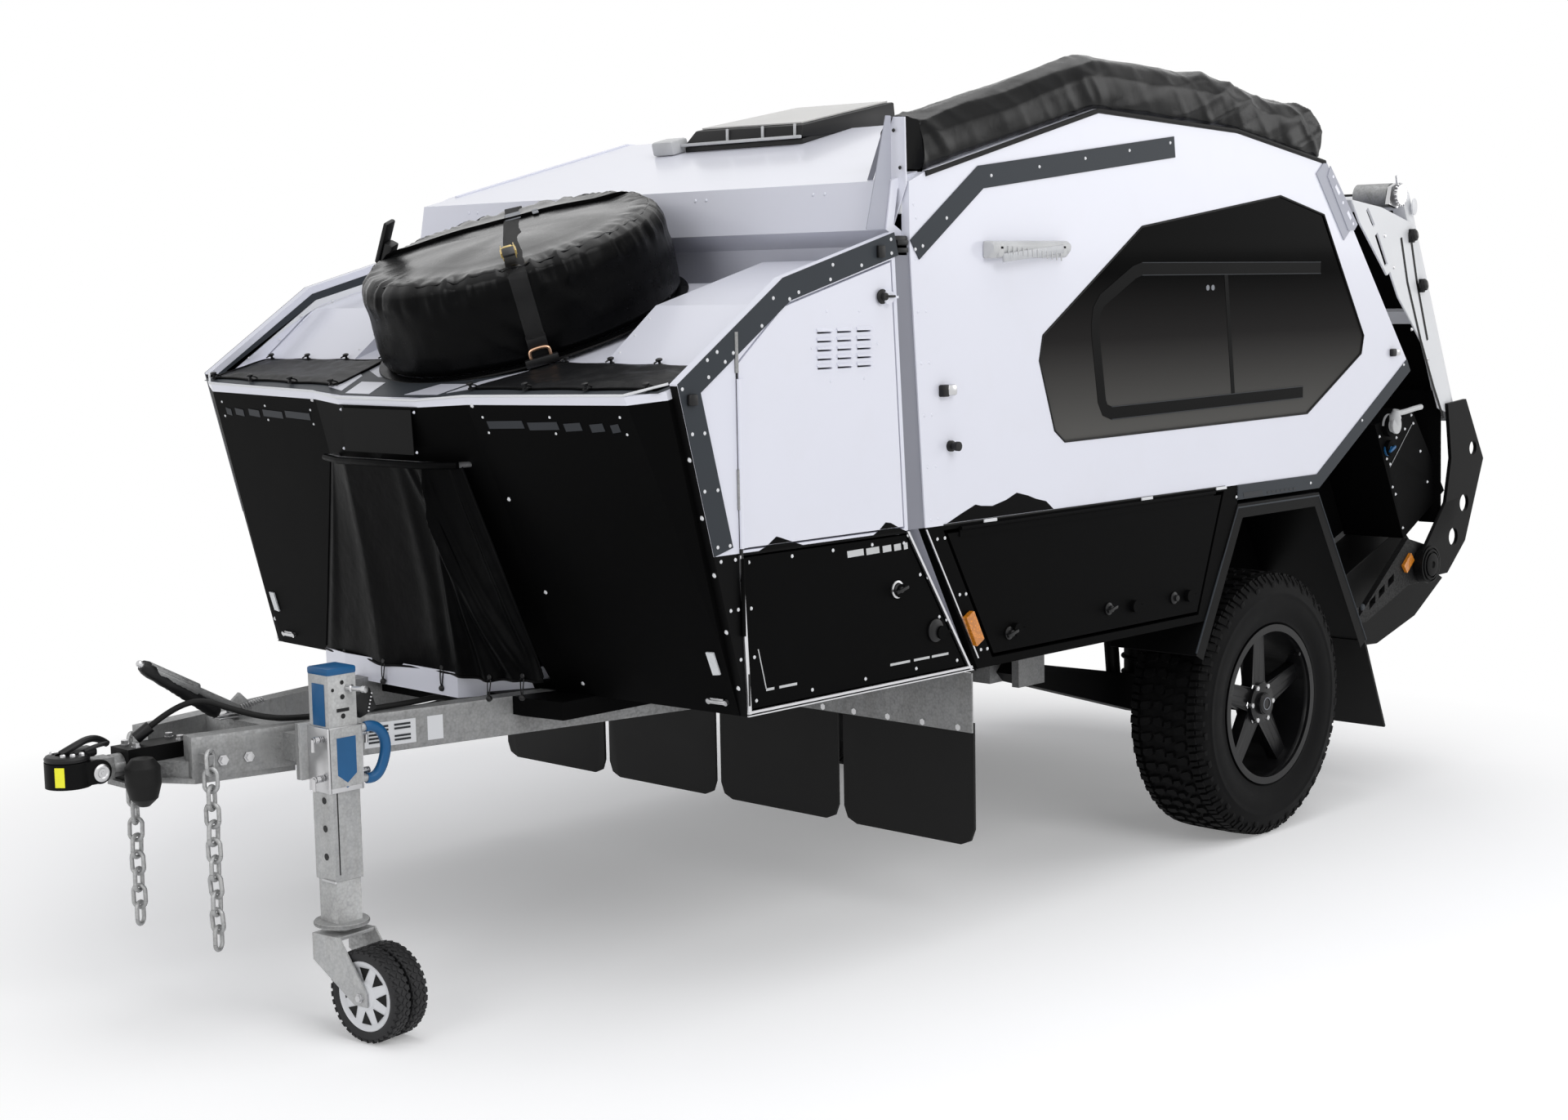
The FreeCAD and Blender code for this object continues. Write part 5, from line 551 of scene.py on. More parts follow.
def seat(point, normal, up=Vector((0, 0, 1))):
    """A place whose Z looks along the normal and whose Y leans to up."""
    z = Vector(normal).normalized()
    x = up.cross(z)
    if x.length < 1e-6:
        x = Vector((1, 0, 0))
    x.normalize()
    return Matrix.Translation(point) @ Matrix((x, z.cross(x), z)).transposed().to_4x4()


def disc(bm, point, normal, radius, height, segments=16, top=1.0):
    """A short turned stub or dome on a surface; sizes in millimetres."""
    middle = Vector(point) + Vector(normal).normalized() * (height * MM / 2)
    bmesh.ops.create_cone(bm, cap_ends=True, segments=segments, radius1=radius * MM, radius2=radius * MM * top,
                          depth=height * MM, matrix=seat(middle, normal))


def slab(bm, corners, thickness):
    """A flat plate: corners in metres, thickened along its normal by millimetres."""
    verts = [bm.verts.new(c) for c in corners]
    face = bm.faces.new(verts)
    face.normal_update()
    way = face.normal * thickness * MM
    made = bmesh.ops.extrude_face_region(bm, geom=[face])
    moved = [g for g in made["geom"] if isinstance(g, bmesh.types.BMVert)]
    bmesh.ops.translate(bm, verts=moved, vec=way)
    return moved


def brick(bm, matrix, size, bevel=0.0):
    """A box of a size in millimetres, placed by a matrix, with rounded edges."""
    made = bmesh.ops.create_cube(bm, size=1.0, matrix=matrix @ Matrix.Diagonal((*[s * MM for s in size], 1.0)))
    if bevel:
        edges = list({e for v in made["verts"] for e in v.link_edges})
        bmesh.ops.bevel(bm, geom=edges, offset=bevel * MM, segments=2, profile=0.5, affect="EDGES", material=-1)


def side_plate(bm, outline, side, lift, thickness):
    """A plate on a side wall: outline of (x, z) in millimetres from the axle."""
    y = side * (HALF + lift)
    corners = [at(x, y, z) for x, z in outline]
    area = sum(a[0] * b[1] - b[0] * a[1] for a, b in zip(outline, outline[1:] + outline[:1]))
    if (area > 0) == (side > 0):
        corners.reverse()
    slab(bm, corners, thickness)


def lathe(bm, profile, matrix, steps=48):
    """Turns an open profile of (radius, height) in millimetres round the matrix's Z."""
    verts = [bm.verts.new(matrix @ Vector((r * MM, 0, h * MM))) for r, h in profile]
    edges = [bm.edges.new(pair) for pair in zip(verts, verts[1:])]
    bmesh.ops.spin(bm, geom=verts + edges, cent=matrix.translation, axis=matrix.to_3x3() @ Vector((0, 0, 1)),
                   angle=math.tau, steps=steps, use_merge=True)
    bmesh.ops.remove_doubles(bm, verts=bm.verts, dist=1e-6)


def wall_seat(x, y, z, side):
    """A place on a side wall whose Z looks outwards."""
    return seat(at(x, side * y, z), (0, side, 0))


def sheet_grid(columns, rows, place):
    """A grid of cloth whose points are placed by their shares across and down."""
    bm = bmesh.new()
    bmesh.ops.create_grid(bm, x_segments=columns, y_segments=rows, size=0.5)
    for v in bm.verts:
        v.co = place(v.co.x + 0.5, v.co.y + 0.5)
    return bm


def ribbon(bm, line, width, y, thickness):
    """A flat mitred band in a side wall's plane along (x, z) points."""
    pairs = []
    for i, (x, z) in enumerate(line):
        before, after = line[max(i - 1, 0)], line[min(i + 1, len(line) - 1)]
        way = Vector((after[0] - before[0], after[1] - before[1])).normalized()
        off = Vector((-way.y, way.x)) * width / 2
        pairs.append([bm.verts.new(at(x + off.x * k, y, z + off.y * k)) for k in (-1, 1)])
    faces = [bm.faces.new((a[0], a[1], b[1], b[0])) for a, b in zip(pairs, pairs[1:])]
    made = bmesh.ops.extrude_face_region(bm, geom=faces)
    moved = [g for g in made["geom"] if isinstance(g, bmesh.types.BMVert)]
    bmesh.ops.translate(bm, verts=moved, vec=(0, math.copysign(thickness * MM, y), 0))


def tube(bm, points, radius, resolution=3, smooth=True):
    """A round bar or cable through points, added to a bmesh; radius in millimetres."""
    curve = bpy.data.curves.new("path", "CURVE")
    curve.dimensions = "3D"
    spline = curve.splines.new("NURBS" if smooth else "POLY")
    spline.points.add(len(points) - 1)
    for target, p in zip(spline.points, points):
        target.co = (*p, 1.0)
    if smooth:
        spline.order_u = 3
        spline.use_endpoint_u = True
        spline.resolution_u = 6
    curve.bevel_depth = radius * MM
    curve.bevel_resolution = resolution
    curve.use_fill_caps = True
    holder = bpy.data.objects.new("path", curve)
    bpy.context.scene.collection.objects.link(holder)
    mesh = bpy.data.meshes.new_from_object(holder.evaluated_get(bpy.context.evaluated_depsgraph_get()))
    bm.from_mesh(mesh)
    bpy.data.objects.remove(holder)
    bpy.data.curves.remove(curve)
    bpy.data.meshes.remove(mesh)


def soften(node, width, look=None, segments=2, angle=25.0):
    """Replaces a node by the same form with rounded edges."""
    source = NODES[node]
    bm = bmesh.new()
    bm.from_mesh(source.data)
    bmesh.ops.remove_doubles(bm, verts=bm.verts, dist=2e-6)
    obj = piece(node + "_skin", bm, look or NODE_LOOKS[node], 30.0, source["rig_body"], slot=slot_of(node),
                turn_out=False)
    bevel = obj.modifiers.new("edges", "BEVEL")
    bevel.width = width * MM
    bevel.segments = segments
    bevel.limit_method = "ANGLE"
    bevel.angle_limit = math.radians(angle)
    bevel.harden_normals = True
    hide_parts(node)
    return obj


def slot_of(node):
    for entry in FRAME["record"]["subparts"]:
        if entry["node"] == node:
            return entry["material_slot"]
    raise RuntimeError("no slot for " + node)


SIDES = {"left": 1, "right": -1}
NOSE_BAND_DOTS = [
    (2442, 1461), (2363, 1522), (2360, 1484), (2332, 1539), (2307, 1516), (2281, 1535), (2187, 1593), (2148, 1655),
    (2094, 1652), (2063, 1667), (1954, 1695), (1945, 1729), (1844, 1727), (1737, 1788), (1735, 1755),
    (2414, 1360), (2376, 1360), (2380, 1230), (2339, 1230), (2343, 1101), (2304, 1101)]
NOSE_SKIRT_DOTS = [(2331, 1067), (2285, 1067), (2303, 952), (2279, 952), (2274, 836), (1611, 956), (1540, 841),
                   (1684, 1068)]
LOWER_DOOR_DOTS = [
    (2242, 1057), (2098, 1057), (1957, 1057), (1817, 1057), (1700, 1050), (2237, 950), (2230, 836), (2226, 734),
    (2037, 733), (1848, 733), (1659, 733), (1500, 733), (1640, 966), (1568, 852)]
BODY_FRONT_DOTS = [(1596, 1098), (1568, 1098), (1637, 1613), (1606, 1613), (1627, 1487), (1596, 1487), (1617, 1358),
                   (1589, 1358), (1607, 1230), (1575, 1230), (1644, 1740), (1616, 1746), (1649, 1872), (1640, 1840)]
BODY_SKIRT_DOTS = [(1572, 1048), (1543, 1048), (1487, 899), (1462, 898), (1404, 748), (1378, 747)]
UPPER_TRIM_DOTS = [(1647, 1764), (1619, 1772), (1527, 1840), (1350, 1947), (1152, 1973), (954, 1999), (755, 2025),
                   (563, 2051)]
LOWER_TRIM_DOTS = [(224, 1046), (-185, 1056), (-486, 1229), (-742, 1392)]
LOUVRE_DOTS = [(1967, 1621), (1852, 1619), (2020, 1537), (1788, 1540), (1956, 1457), (1838, 1459)]


def panel_x(y, z):
    """Where the near front panel lies; the far one mirrors it."""
    return 2519.6 - (0.0657 * (abs(y) - 337.5) - 0.3148 * (z - 1369.7)) / 0.9469


PANEL_NORMAL = {1: Vector((0.9469, 0.0657, -0.3148)), -1: Vector((0.9469, -0.0657, -0.3148))}


def shelf_z(x):
    return 1436.0 + 0.2525 * (2544.0 - x)


SHELF_NORMAL = Vector((0.2448, 0, 0.9696))


def wall_dots(bm, places, side, y=940.0, radius=None, height=2.4):
    radius = radius or scene_sizes().rivet / MM
    for x, z in places:
        disc(bm, at(x, side * y, z), (0, side, 0), radius, height, 8, 0.5)


def build_rivets():
    """Bright and painted rivets on bands, doors and panels."""
    for word, side in SIDES.items():
        for name, body, slot, look, dots, seats in (
                ("band_rivets_", "trailer", "alloy_white", "alloy",
                 NOSE_BAND_DOTS + UPPER_TRIM_DOTS + LOWER_TRIM_DOTS, {"y": 943.0}),
                ("body_rivets_", "trailer", "panel_white", "white", BODY_FRONT_DOTS, {}),
                ("lower_door_rivets_", "nose_lower_" + word, "alloy_white", "alloy", LOWER_DOOR_DOTS, {}),
                ("upper_door_rivets_", "nose_upper_" + word, "panel_white", "white", LOUVRE_DOTS,
                 {"radius": 4.0, "height": 2.6})):
            bm = bmesh.new()
            wall_dots(bm, dots, side, **seats)
            if name == "band_rivets_":
                wall_dots(bm, NOSE_SKIRT_DOTS + BODY_SKIRT_DOTS, side)
            piece(name + word, bm, look, body=body, slot=slot)
        bm = bmesh.new()
        normal = PANEL_NORMAL[side]
        for y, z in ((323, 1415), (354, 1189), (385, 959), (421, 729)):
            disc(bm, at(panel_x(y, z), side * y, z), normal, 5.5, 3, 10, 0.5)
        for y, z in ((348, 1388), (573, 1393), (797, 1398), (354, 1351), (579, 1355), (805, 1359)):
            disc(bm, at(panel_x(y, z), side * y, z), normal, 3.6, 2, 8, 0.5)
        for z in (1302, 1169, 1036, 902, 768):
            x = 2455.0 - (1472.0 - z) * 200.0 / 772.0
            disc(bm, at(x, side * 928, z), (0.97, 0, -0.25), 6, 3, 10, 0.5)
        piece("panel_rivets_" + word, bm, "alloy")
        bm = bmesh.new()
        for x, z in ((2225, 1556), (2330, 1508), (2150, 1620), (2040, 1660), (1930, 1690), (1820, 1712)):
            disc(bm, at(x, side * 912, z), (0, -side, 0), 4, 2, 8, 0.5)
        for x in (2240, 2190, 2140):
            z = 1504 + (2275 - x) * 0.78
            disc(bm, at(x, side * 520, z), (0.6, 0, 0.8), 3.5, 2, 8, 0.5)
        piece("ear_rivets_" + word, bm, "alloy")
    bm = bmesh.new()
    for y in (-148, 148):
        for z in (1397, 1300):
            disc(bm, at(2574 - (1424 - z) * 0.046, y, z), (1, 0, -0.05), 4, 3, 8, 0.5)
    for y in range(-850, 851, 85):
        disc(bm, at(1666, y, 1872), (1, 0, 0), 3.6, 2, 8, 0.5)
    for y in (-700, -660, -240, -200, 240, 280, 700, 660):
        disc(bm, at(1705, y, 1905), (0.98, 0, 0.18), 5, 2.5, 8, 0.5)
    piece("bulkhead_rivets", bm, "white")


# Plates on both side walls: piece, body, slot, look, smoothing, lift, and rows of a thickness and an outline
TRIM_PLATES = [
    ("door_edges_", "trailer", "alloy_white", "edge", 20, 0, [
        (5, [(2275, 1076), (2265, 1076), (2247, 706), (2257, 706)]),
        (6, [(2257, 713), (1447, 713), (1443, 707), (2257, 707)]),
        (4, [(2257, 703), (1440, 703), (1438, 700), (2257, 700)]),
        (5, [(1692, 1078), (1684, 1078), (1444, 702), (1452, 702)]),
        (3, [(1619, 1076), (1614, 1076), (1415, 728), (1420, 728)])]),
    ("door_shadow_strips_", "trailer", "rubber_black", "rubber", 20, 0, [
        (2, [(2272, 1560), (2268, 1560), (2268, 1092), (2272, 1092)]),
        (2, [(1548, 1083), (281, 1083), (281, 1079), (1548, 1079)])]),
    ("door_dashes_", "nose_lower_", "alloy_white", "grey_plastic", 0, 0,
     [(0.6, [(a, 1050), (b, 1051), (b - 2, 1035), (a - 2, 1034)])
      for a, b in ((1908, 1850), (1840, 1793), (1780, 1749), (1738, 1713), (1702, 1688))] +
     [(0.6, [(a, 758), (b, 758), (b, 752), (a, 752)])
      for a, b in ((2194, 2167), (2150, 2090), (1757, 1683), (1668, 1608), (1599, 1535))] +
     [(0.6, [(2219, 853), (2216, 853), (2192, 757), (2195, 757)])]),
    ("door_skyline_", "nose_upper_", "panel_black", "graphic", 0, 0, [
        (0.6, [(2178, 1091.5), (2150, 1108), (2136, 1104), (2098, 1091.5)]),
        (0.6, [(1789, 1091.5), (1767, 1107), (1748, 1104), (1721, 1091.5)])]),
    ("body_skyline_", "trailer", "panel_black", "graphic", 0, 0, [
        (0.6, [(2208, 1080), (2182, 1089), (2090, 1089), (2062, 1080)]),
        (0.6, [(1812, 1080), (1794, 1089), (1716, 1089), (1694, 1080)]),
        (0.6, [(1535, 1084), (1478, 1104), (1421, 1122), (1398, 1117), (1353, 1113), (1296, 1124), (1252, 1139),
               (1205, 1128), (1172, 1117), (1128, 1107), (1096, 1084)])]),
    ("locker_hinge_tabs_", "trailer", "alloy_white", "alloy", 0, 2,
     [(3, [(x, 1082), (x - 52, 1082), (x - 52, 1074), (x, 1074)]) for x in (1392, 700, 330)]),
    ("sill_dashes_", "trailer", "panel_black", "dash", 0, 3,
     [(0.8, [(190, 1056), (90, 1056), (82, 1040), (184, 1040)])] +
     [(0.8, [(x, 1050), (x - 15, 1050), (x - 17, 1042), (x - 2, 1042)]) for x in range(60, -85, -24)]),
]


def on_panel(bm, side, row, lift, thickness):
    """A plate on a front panel: row of (y, z) corners, raised by a lift in metres."""
    corners = [at(panel_x(y, z), side * y, z) + lift for y, z in row]
    slab(bm, corners if side < 0 else corners[::-1], thickness)


def build_trims():
    """Edge strips, dashes, reflectors, latches and the skyline film."""
    for word, side in SIDES.items():
        for name, body, slot, look, smooth, lift, plates in TRIM_PLATES:
            bm = bmesh.new()
            for thickness, outline in plates:
                side_plate(bm, outline, side, lift, thickness)
            piece(name + word, bm, look, smooth, body + word if body.endswith("_") else body, slot=slot)
        bm = bmesh.new()
        normal = PANEL_NORMAL[side]
        for y0, y1 in ((358, 478), (494, 592), (612, 666), (695, 737), (760, 786)):
            on_panel(bm, side, [(y0, 1379), (y1, 1383), (y1 + 3, 1365), (y0 + 3, 1361)], normal * 0.0003, 0.8)
        piece("panel_dashes_" + word, bm, "slate", 0)
        bm = bmesh.new()
        on_panel(bm, side, [(866, 852), (890, 853), (893, 800), (870, 797)], Vector((MM, 0, 0)), 4)
        piece("front_reflector_" + word, bm, "reflector", 0)
        bm = bmesh.new()
        for y in (834, 886):
            disc(bm, at(panel_x(y, 730), side * y, 731), normal, 7, 8, 12)
        brick(bm, seat(at(panel_x(860, 727) + 6, side * 860, 729), normal), (52, 10, 7), 2.5)
        brick(bm, seat(at(panel_x(860, 735) + 3, side * 860, 736), normal), (40, 5, 5), 1.5)
        piece("toe_latch_" + word, bm, "plated")


def build_nose_trims():
    """The strip along the nose's rim, the blank plate and the film on the front shelf."""
    rim = [(2458, -915, 1473), (2513, -826, 1448), (2546, -304, 1438), (2577, -159, 1426), (2577, 159, 1426),
           (2546, 304, 1438), (2513, 826, 1448), (2458, 915, 1473)]
    bm = bmesh.new()
    tube(bm, [at(*p) for p in rim], scene_sizes().rim_strip / MM, 2, False)
    piece("nose_rim_strip", bm, "alloy")
    bm = bmesh.new()
    corners = [at(2575.5, -140, 1402), at(2575.5, 140, 1402), at(2570, 140, 1294), at(2570, -140, 1294)]
    slab(bm, corners[::-1], 1.5)
    piece("prow_blank_plate", bm, "steel", 0)
    bm = bmesh.new()

    def on_shelf(x, y, lift):
        return at(x, y, shelf_z(x) + lift)
    field = [(2480, -905), (2490, -826), (2536, -304), (2562, -159), (2562, 159), (2536, 304), (2490, 826),
             (2480, 905), (2283, 905), (2283, 300), (2323, 259), (2421, 184), (2430, 0), (2414, -205), (2300, -440),
             (2283, -905)]
    slab(bm, [on_shelf(x, y, 0.3) for x, y in field], 0.8)
    piece("shelf_field", bm, "band", 0)
    bm = bmesh.new()
    for shape in ([(2503, -296), (2344, -394), (2411, -276), (2532, -200)],
                  [(2550, -159), (2457, -216), (2458, -115), (2550, -60)],
                  [(2547, 78), (2459, 110), (2454, 205), (2539, 196)],
                  [(2525, 214), (2432, 228), (2300, 330), (2330, 372), (2489, 264)]):
        slab(bm, [on_shelf(x, y, 1.2) for x, y in shape][::-1], 0.8)
    piece("shelf_dashes", bm, "white", 0)


def handle(bm, x, z, side, y, radius, wing):
    """A T-handle or knob: dished base, stem and a wing."""
    base = wall_seat(x, y, z, side)
    lathe(bm, [(0, 0), (radius, 0), (radius, 3), (radius * 0.8, 5), (radius * 0.55, 6), (radius * 0.5, 14), (0, 15)],
          base, 24)
    if wing:
        brick(bm, base @ shift(0, 0, 0.014) @ turn_by(0.25, "Z"), (wing, 8, 8), 2)


def build_hardware():
    """Knobs, locks, hinges, caps and wall fittings."""
    for word, side in SIDES.items():
        bm = bmesh.new()
        handle(bm, 1775, 1652, side, 945, 18, 0)
        brick(bm, spot(1758, side * 958, 1652), (34, 6, 6), 2)
        piece("upper_door_knob_" + word, bm, "plastic", body="nose_upper_" + word)
        bm = bmesh.new()
        handle(bm, 1730, 939, side, 945, 15, 46)
        lathe(bm, [(0, 0), (29, 0), (29, 4), (24, 7), (10, 8), (0, 8)], wall_seat(1586, 941, 820, side),
              32)
        piece("lower_door_lock_" + word, bm, "plastic", body="nose_lower_" + word)
        bm = bmesh.new()
        lathe(bm, [(17, 0), (22, 0), (22, 4), (17, 5)], wall_seat(1730, 941, 939, side), 32)
        piece("lower_door_lock_ring_" + word, bm, "plated", body="nose_lower_" + word)
        bm = bmesh.new()
        for x, z in ((1290, 777), (852, 790), (540, 785)):
            handle(bm, x, z, side, 941, 17, 44 if x != 540 else 0)
        piece("locker_latches_" + word, bm, "plastic", body="locker_" + word)
        bm = bmesh.new()
        for x, y, z, size, bevel in (
                (1779, 948, 1759, (24, 10, 30), 3),
                (2417, 949, 1436, (26, 12, 26), 4),
                (1692, 925, 1772, (48, 22, 50), 3),
                (1690, 937, 1781, (40, 8, 12), 2),
                (1690, 937, 1762, (40, 8, 12), 2),
                (1549, 948, 1416, (26, 18, 30), 4)):
            brick(bm, spot(x, side * y, z), size, bevel)
        lathe(bm, [(0, 0), (14, 0), (14, 8), (9, 10), (9, 20), (12, 21), (12, 30), (0, 31)],
              wall_seat(1520, 940, 1277, side), 24)
        brick(bm, spot(-668, side * 946, 1433), (26, 14, 24), 4)
        piece("wall_fittings_" + word, bm, "plastic")
        bm = bmesh.new()
        for x, y, z, size, bevel in (
                (1527, 950, 1417, (34, 20, 28), 6),
                (-694, 946, 1433, (26, 12, 20), 4)):
            brick(bm, spot(x, side * y, z), size, bevel)
        piece("wall_fitting_bodies_" + word, bm, "plated")
        bm = bmesh.new()
        for z in (1490, 1180):
            lathe(bm, [(0, 0), (5, 0), (5, 92), (0, 92)], seat(at(2271, side * 942, z), (0, 0, 1), Vector((0, 1, 0))),
                  12)
        piece("hinge_barrels_upper_" + word, bm, "zinc", slot="alloy_white")
        bm = bmesh.new()
        for z in (1090, 800):
            lathe(bm, [(0, 0), (4.5, 0), (4.5, 74), (0, 74)],
                  seat(at(2268 - (1090 - z) * 0.05, side * 942, z - 74), (0, 0, 1), Vector((0, 1, 0))), 12)
        piece("hinge_barrels_lower_" + word, bm, "plastic")
        bm = bmesh.new()
        plate = spot(1666, side * 900, 1885)
        brick(bm, plate, (4, 34, 70), 3)
        brick(bm, plate @ shift(0.003, 0, 0.012), (5, 22, 24), 3)
        piece("post_fitting_" + word, bm, "alloy")


def fold(u, v, top, low, width_top, width_low):
    """One pleat's height at a place on the cover: 1 on its crest."""
    crest = top + (low - top) * v
    width = width_top + (width_low - width_top) * v
    d = (u - crest) / width
    return math.exp(-d * d * 2.0)


def thicken(cover):
    """Gives a sheet the cloth's thickness."""
    cover.modifiers.new("cloth", "SOLIDIFY").thickness = scene_sizes().cloth


def build_front_cover():
    """The hanging cover before the niche, with pleats, hem, loops and toggles."""
    top = [(2536, -266, 1272), (2570, -162, 1270), (2570, 162, 1270), (2536, 266, 1272)]
    low = [(2440, -455, 739), (2478, -160, 737), (2478, 160, 738), (2446, 450, 750)]

    def along(row, u):
        share = u * 3
        i = min(int(share), 2)
        t = share - i
        return Vector(row[i]).lerp(Vector(row[i + 1]), t)
    folds = [(0.600, 0.900, 0.018, 0.055, 21), (0.635, 0.965, 0.016, 0.045, 15), (0.655, 0.790, 0.018, 0.040, 17),
             (0.668, 0.690, 0.014, 0.050, 19), (0.560, 0.610, 0.030, 0.060, 7), (0.900, 0.990, 0.020, 0.030, 9),
             (0.300, 0.345, 0.050, 0.100, 4), (0.060, 0.040, 0.030, 0.050, 5)]
    toggles = [0.115, 0.352, 0.80]
    columns, rows = 150, 110

    def hang(u, v):
        p = along(top, u).lerp(along(low, u), v)
        out = Vector((0.96, (u - 0.5) * 0.5, -0.2)).normalized()
        lift = sum(a * fold(u, v, t, l, wt, wl) for t, l, wt, wl, a in folds)
        lift *= 0.25 + 0.75 * math.sin(min(v * 1.35, 1.0) * math.pi / 2)
        sag = -12 * math.sin(math.pi * v) * math.sin(math.pi * u)
        loose = min(max((u - 0.35) * 2.2, 0.25), 1.0)
        crumple = noise.noise(Vector((u * 6, v * 5, 3.1))) * 6 + noise.noise(Vector((u * 24, v * 14, 8.2))) * 2
        hem = min(min(abs(u - t) for t in toggles) * 9, 1.0)
        p = p + out * (lift + sag + crumple * v * loose - 8)
        p.z += (hem * 8 + noise.noise(Vector((u * 9, 0, 0))) * 4) * v ** 6
        return at(*p)
    bm = sheet_grid(columns, rows, hang)
    cover = piece("front_cover_cloth", bm, "vinyl", 60)
    thicken(cover)
    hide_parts("front_cover")
    hems = bmesh.new()
    edge = [p.co.copy() for p in cover.data.vertices][-(columns + 1):]
    tube(hems, [p + Vector((0.001, 0, 0.001)) for p in edge[::3] + [edge[-1]]], 3.2, 1)
    for column in (0, columns):
        line = [cover.data.vertices[j * (columns + 1) + column].co.copy() for j in range(0, rows + 1, 4)]
        tube(hems, line, 3.0, 1)
    tube(hems, [at(*p) for p in [(2541, -269, 1272), (2577, -164, 1270), (2577, 164, 1270), (2541, 269, 1272)]], 9, 2,
         False)
    hem = piece("front_cover_hems", hems, "vinyl", 40)
    loops = bmesh.new()
    for share in toggles + [0.60, 0.93]:
        foot = edge[int(share * columns)]
        ball = foot + Vector((0.004, 0, -0.040))
        for y in (-0.001, 0.001):
            tube(loops, [foot + Vector((0.002, y * 6, 0.006)), ball.lerp(foot, 0.4) + Vector((0.004, y * 5, 0)),
                         ball], 1.6, 1)
        lathe(loops, [(0, -8), (5, -6.5), (8, -2), (8, 2), (5, 6.5), (0, 8)], Matrix.Translation(ball), 14)
        disc(loops, foot + Vector((0.001, 0, 0.012)), (1, 0, 0), 7, 3, 14, 0.8)
    loop = piece("front_cover_loops", loops, "plastic", 40)


def build_pan_face():
    """The white face below the hanging cover, with its corner right of the middle."""
    bm = bmesh.new()
    line = [(2436, -452), (2462, -330), (2480, 160), (2270, 262)]
    for (x0, y0), (x1, y1) in zip(line, line[1:]):
        slab(bm, [at(x0, y0, 690), at(x1, y1, 690), at(x1, y1, 752), at(x0, y0, 752)], -3)
    piece("pan_face", bm, "white", 20)


def build_deck_covers():
    """Two small stretched covers on the front shelf with their toggles."""
    near = [Vector((2281, 352)), Vector((2291, 884))]
    front = [Vector((2497, 268)), Vector((2466, 884))]
    columns, rows = 90, 36
    for word, side in SIDES.items():
        def stretch(u, v, side=side):
            x0, y0 = near[0].lerp(near[1], u)
            x1, y1 = front[0].lerp(front[1], u)
            x, y = x0 + (x1 - x0) * v, y0 + (y1 - y0) * v
            edge = min(v, 1 - v, u, 1 - u)
            pull = abs(math.sin(u * math.pi * 3.0))
            lift = 4 + 9 * min(edge * 7, 1) - 5 * math.sin(math.pi * v) * math.sin(math.pi * u)
            lift += noise.noise(Vector((u * 7 + v * 3, v * 4 - u * 4, side * 3.0))) * 4.0 * min(edge * 9, 1)
            lift += noise.noise(Vector((u * 22, v * 9, side * 5.0))) * 1.2
            x += pull * 7 * (0.5 - v) * 2
            return at(x, side * y, shelf_z(x) + lift)
        bm = sheet_grid(columns, rows, stretch)
        cover = piece("shelf_cover_" + word, bm, "shelf", 60)
        thicken(cover)
        if side > 0:
            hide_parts("deck_covers")
        count = columns + 1
        hems = bmesh.new()
        co = [v.co.copy() for v in cover.data.vertices]
        loop = co[:count:4] + [co[r * count + columns] for r in range(3, rows, 4)] + co[-1:-count:-4] + \
            [co[r * count] for r in range(rows - 3, 0, -4)] + [co[0]]
        tube(hems, loop, 3.4, 2)
        hem = piece("shelf_cover_hem_" + word, hems, "vinyl", 40)
        knobs = bmesh.new()
        for i in range(4):
            u = 0.03 + 0.313 * i
            for v, step in ((0, -9), (rows, 9)):
                p = co[v * count + int(u * columns)] + Vector((step * MM, 0, -0.001))
                base = seat(p, SHELF_NORMAL)
                lathe(knobs, [(0, 0), (7, 0), (7, 4), (3.5, 6), (3.5, 10), (8, 12), (8.5, 16), (5, 18), (0, 18)], base,
                      16)
                tube(knobs, [p + Vector((0, 0, 0.011)), p + Vector((-step * MM * 1.2, 0.003, 0.012)),
                             p + Vector((-step * MM * 2.2, 0, 0.006))], 2.0, 1)
        knob = piece("shelf_cover_toggles_" + word, knobs, "plastic", 40)


SPARE_TURN = Matrix(((0.947, 0, 0.322), (0, 1, 0), (-0.322, 0, 0.947))).to_4x4()
SPARE_SEAT = Matrix.Translation(SPARE_FOOT) @ SPARE_TURN
SPARE_KEY = [(0.0, 0, 258), (0.16, 140, 259), (0.30, 262, 255), (0.40, 334, 249), (0.46, 366, 240), (0.52, 385, 222),
             (0.60, 394, 182), (0.70, 398, 122), (0.80, 399, 62), (0.88, 397, 24), (0.92, 388, 9), (0.95, 360, 4),
             (0.975, 300, 3), (1.0, 200, 2)]


def spare_point(angle, radius, height):
    return SPARE_SEAT @ Vector((radius * math.cos(angle) * MM, radius * math.sin(angle) * MM, height * MM))


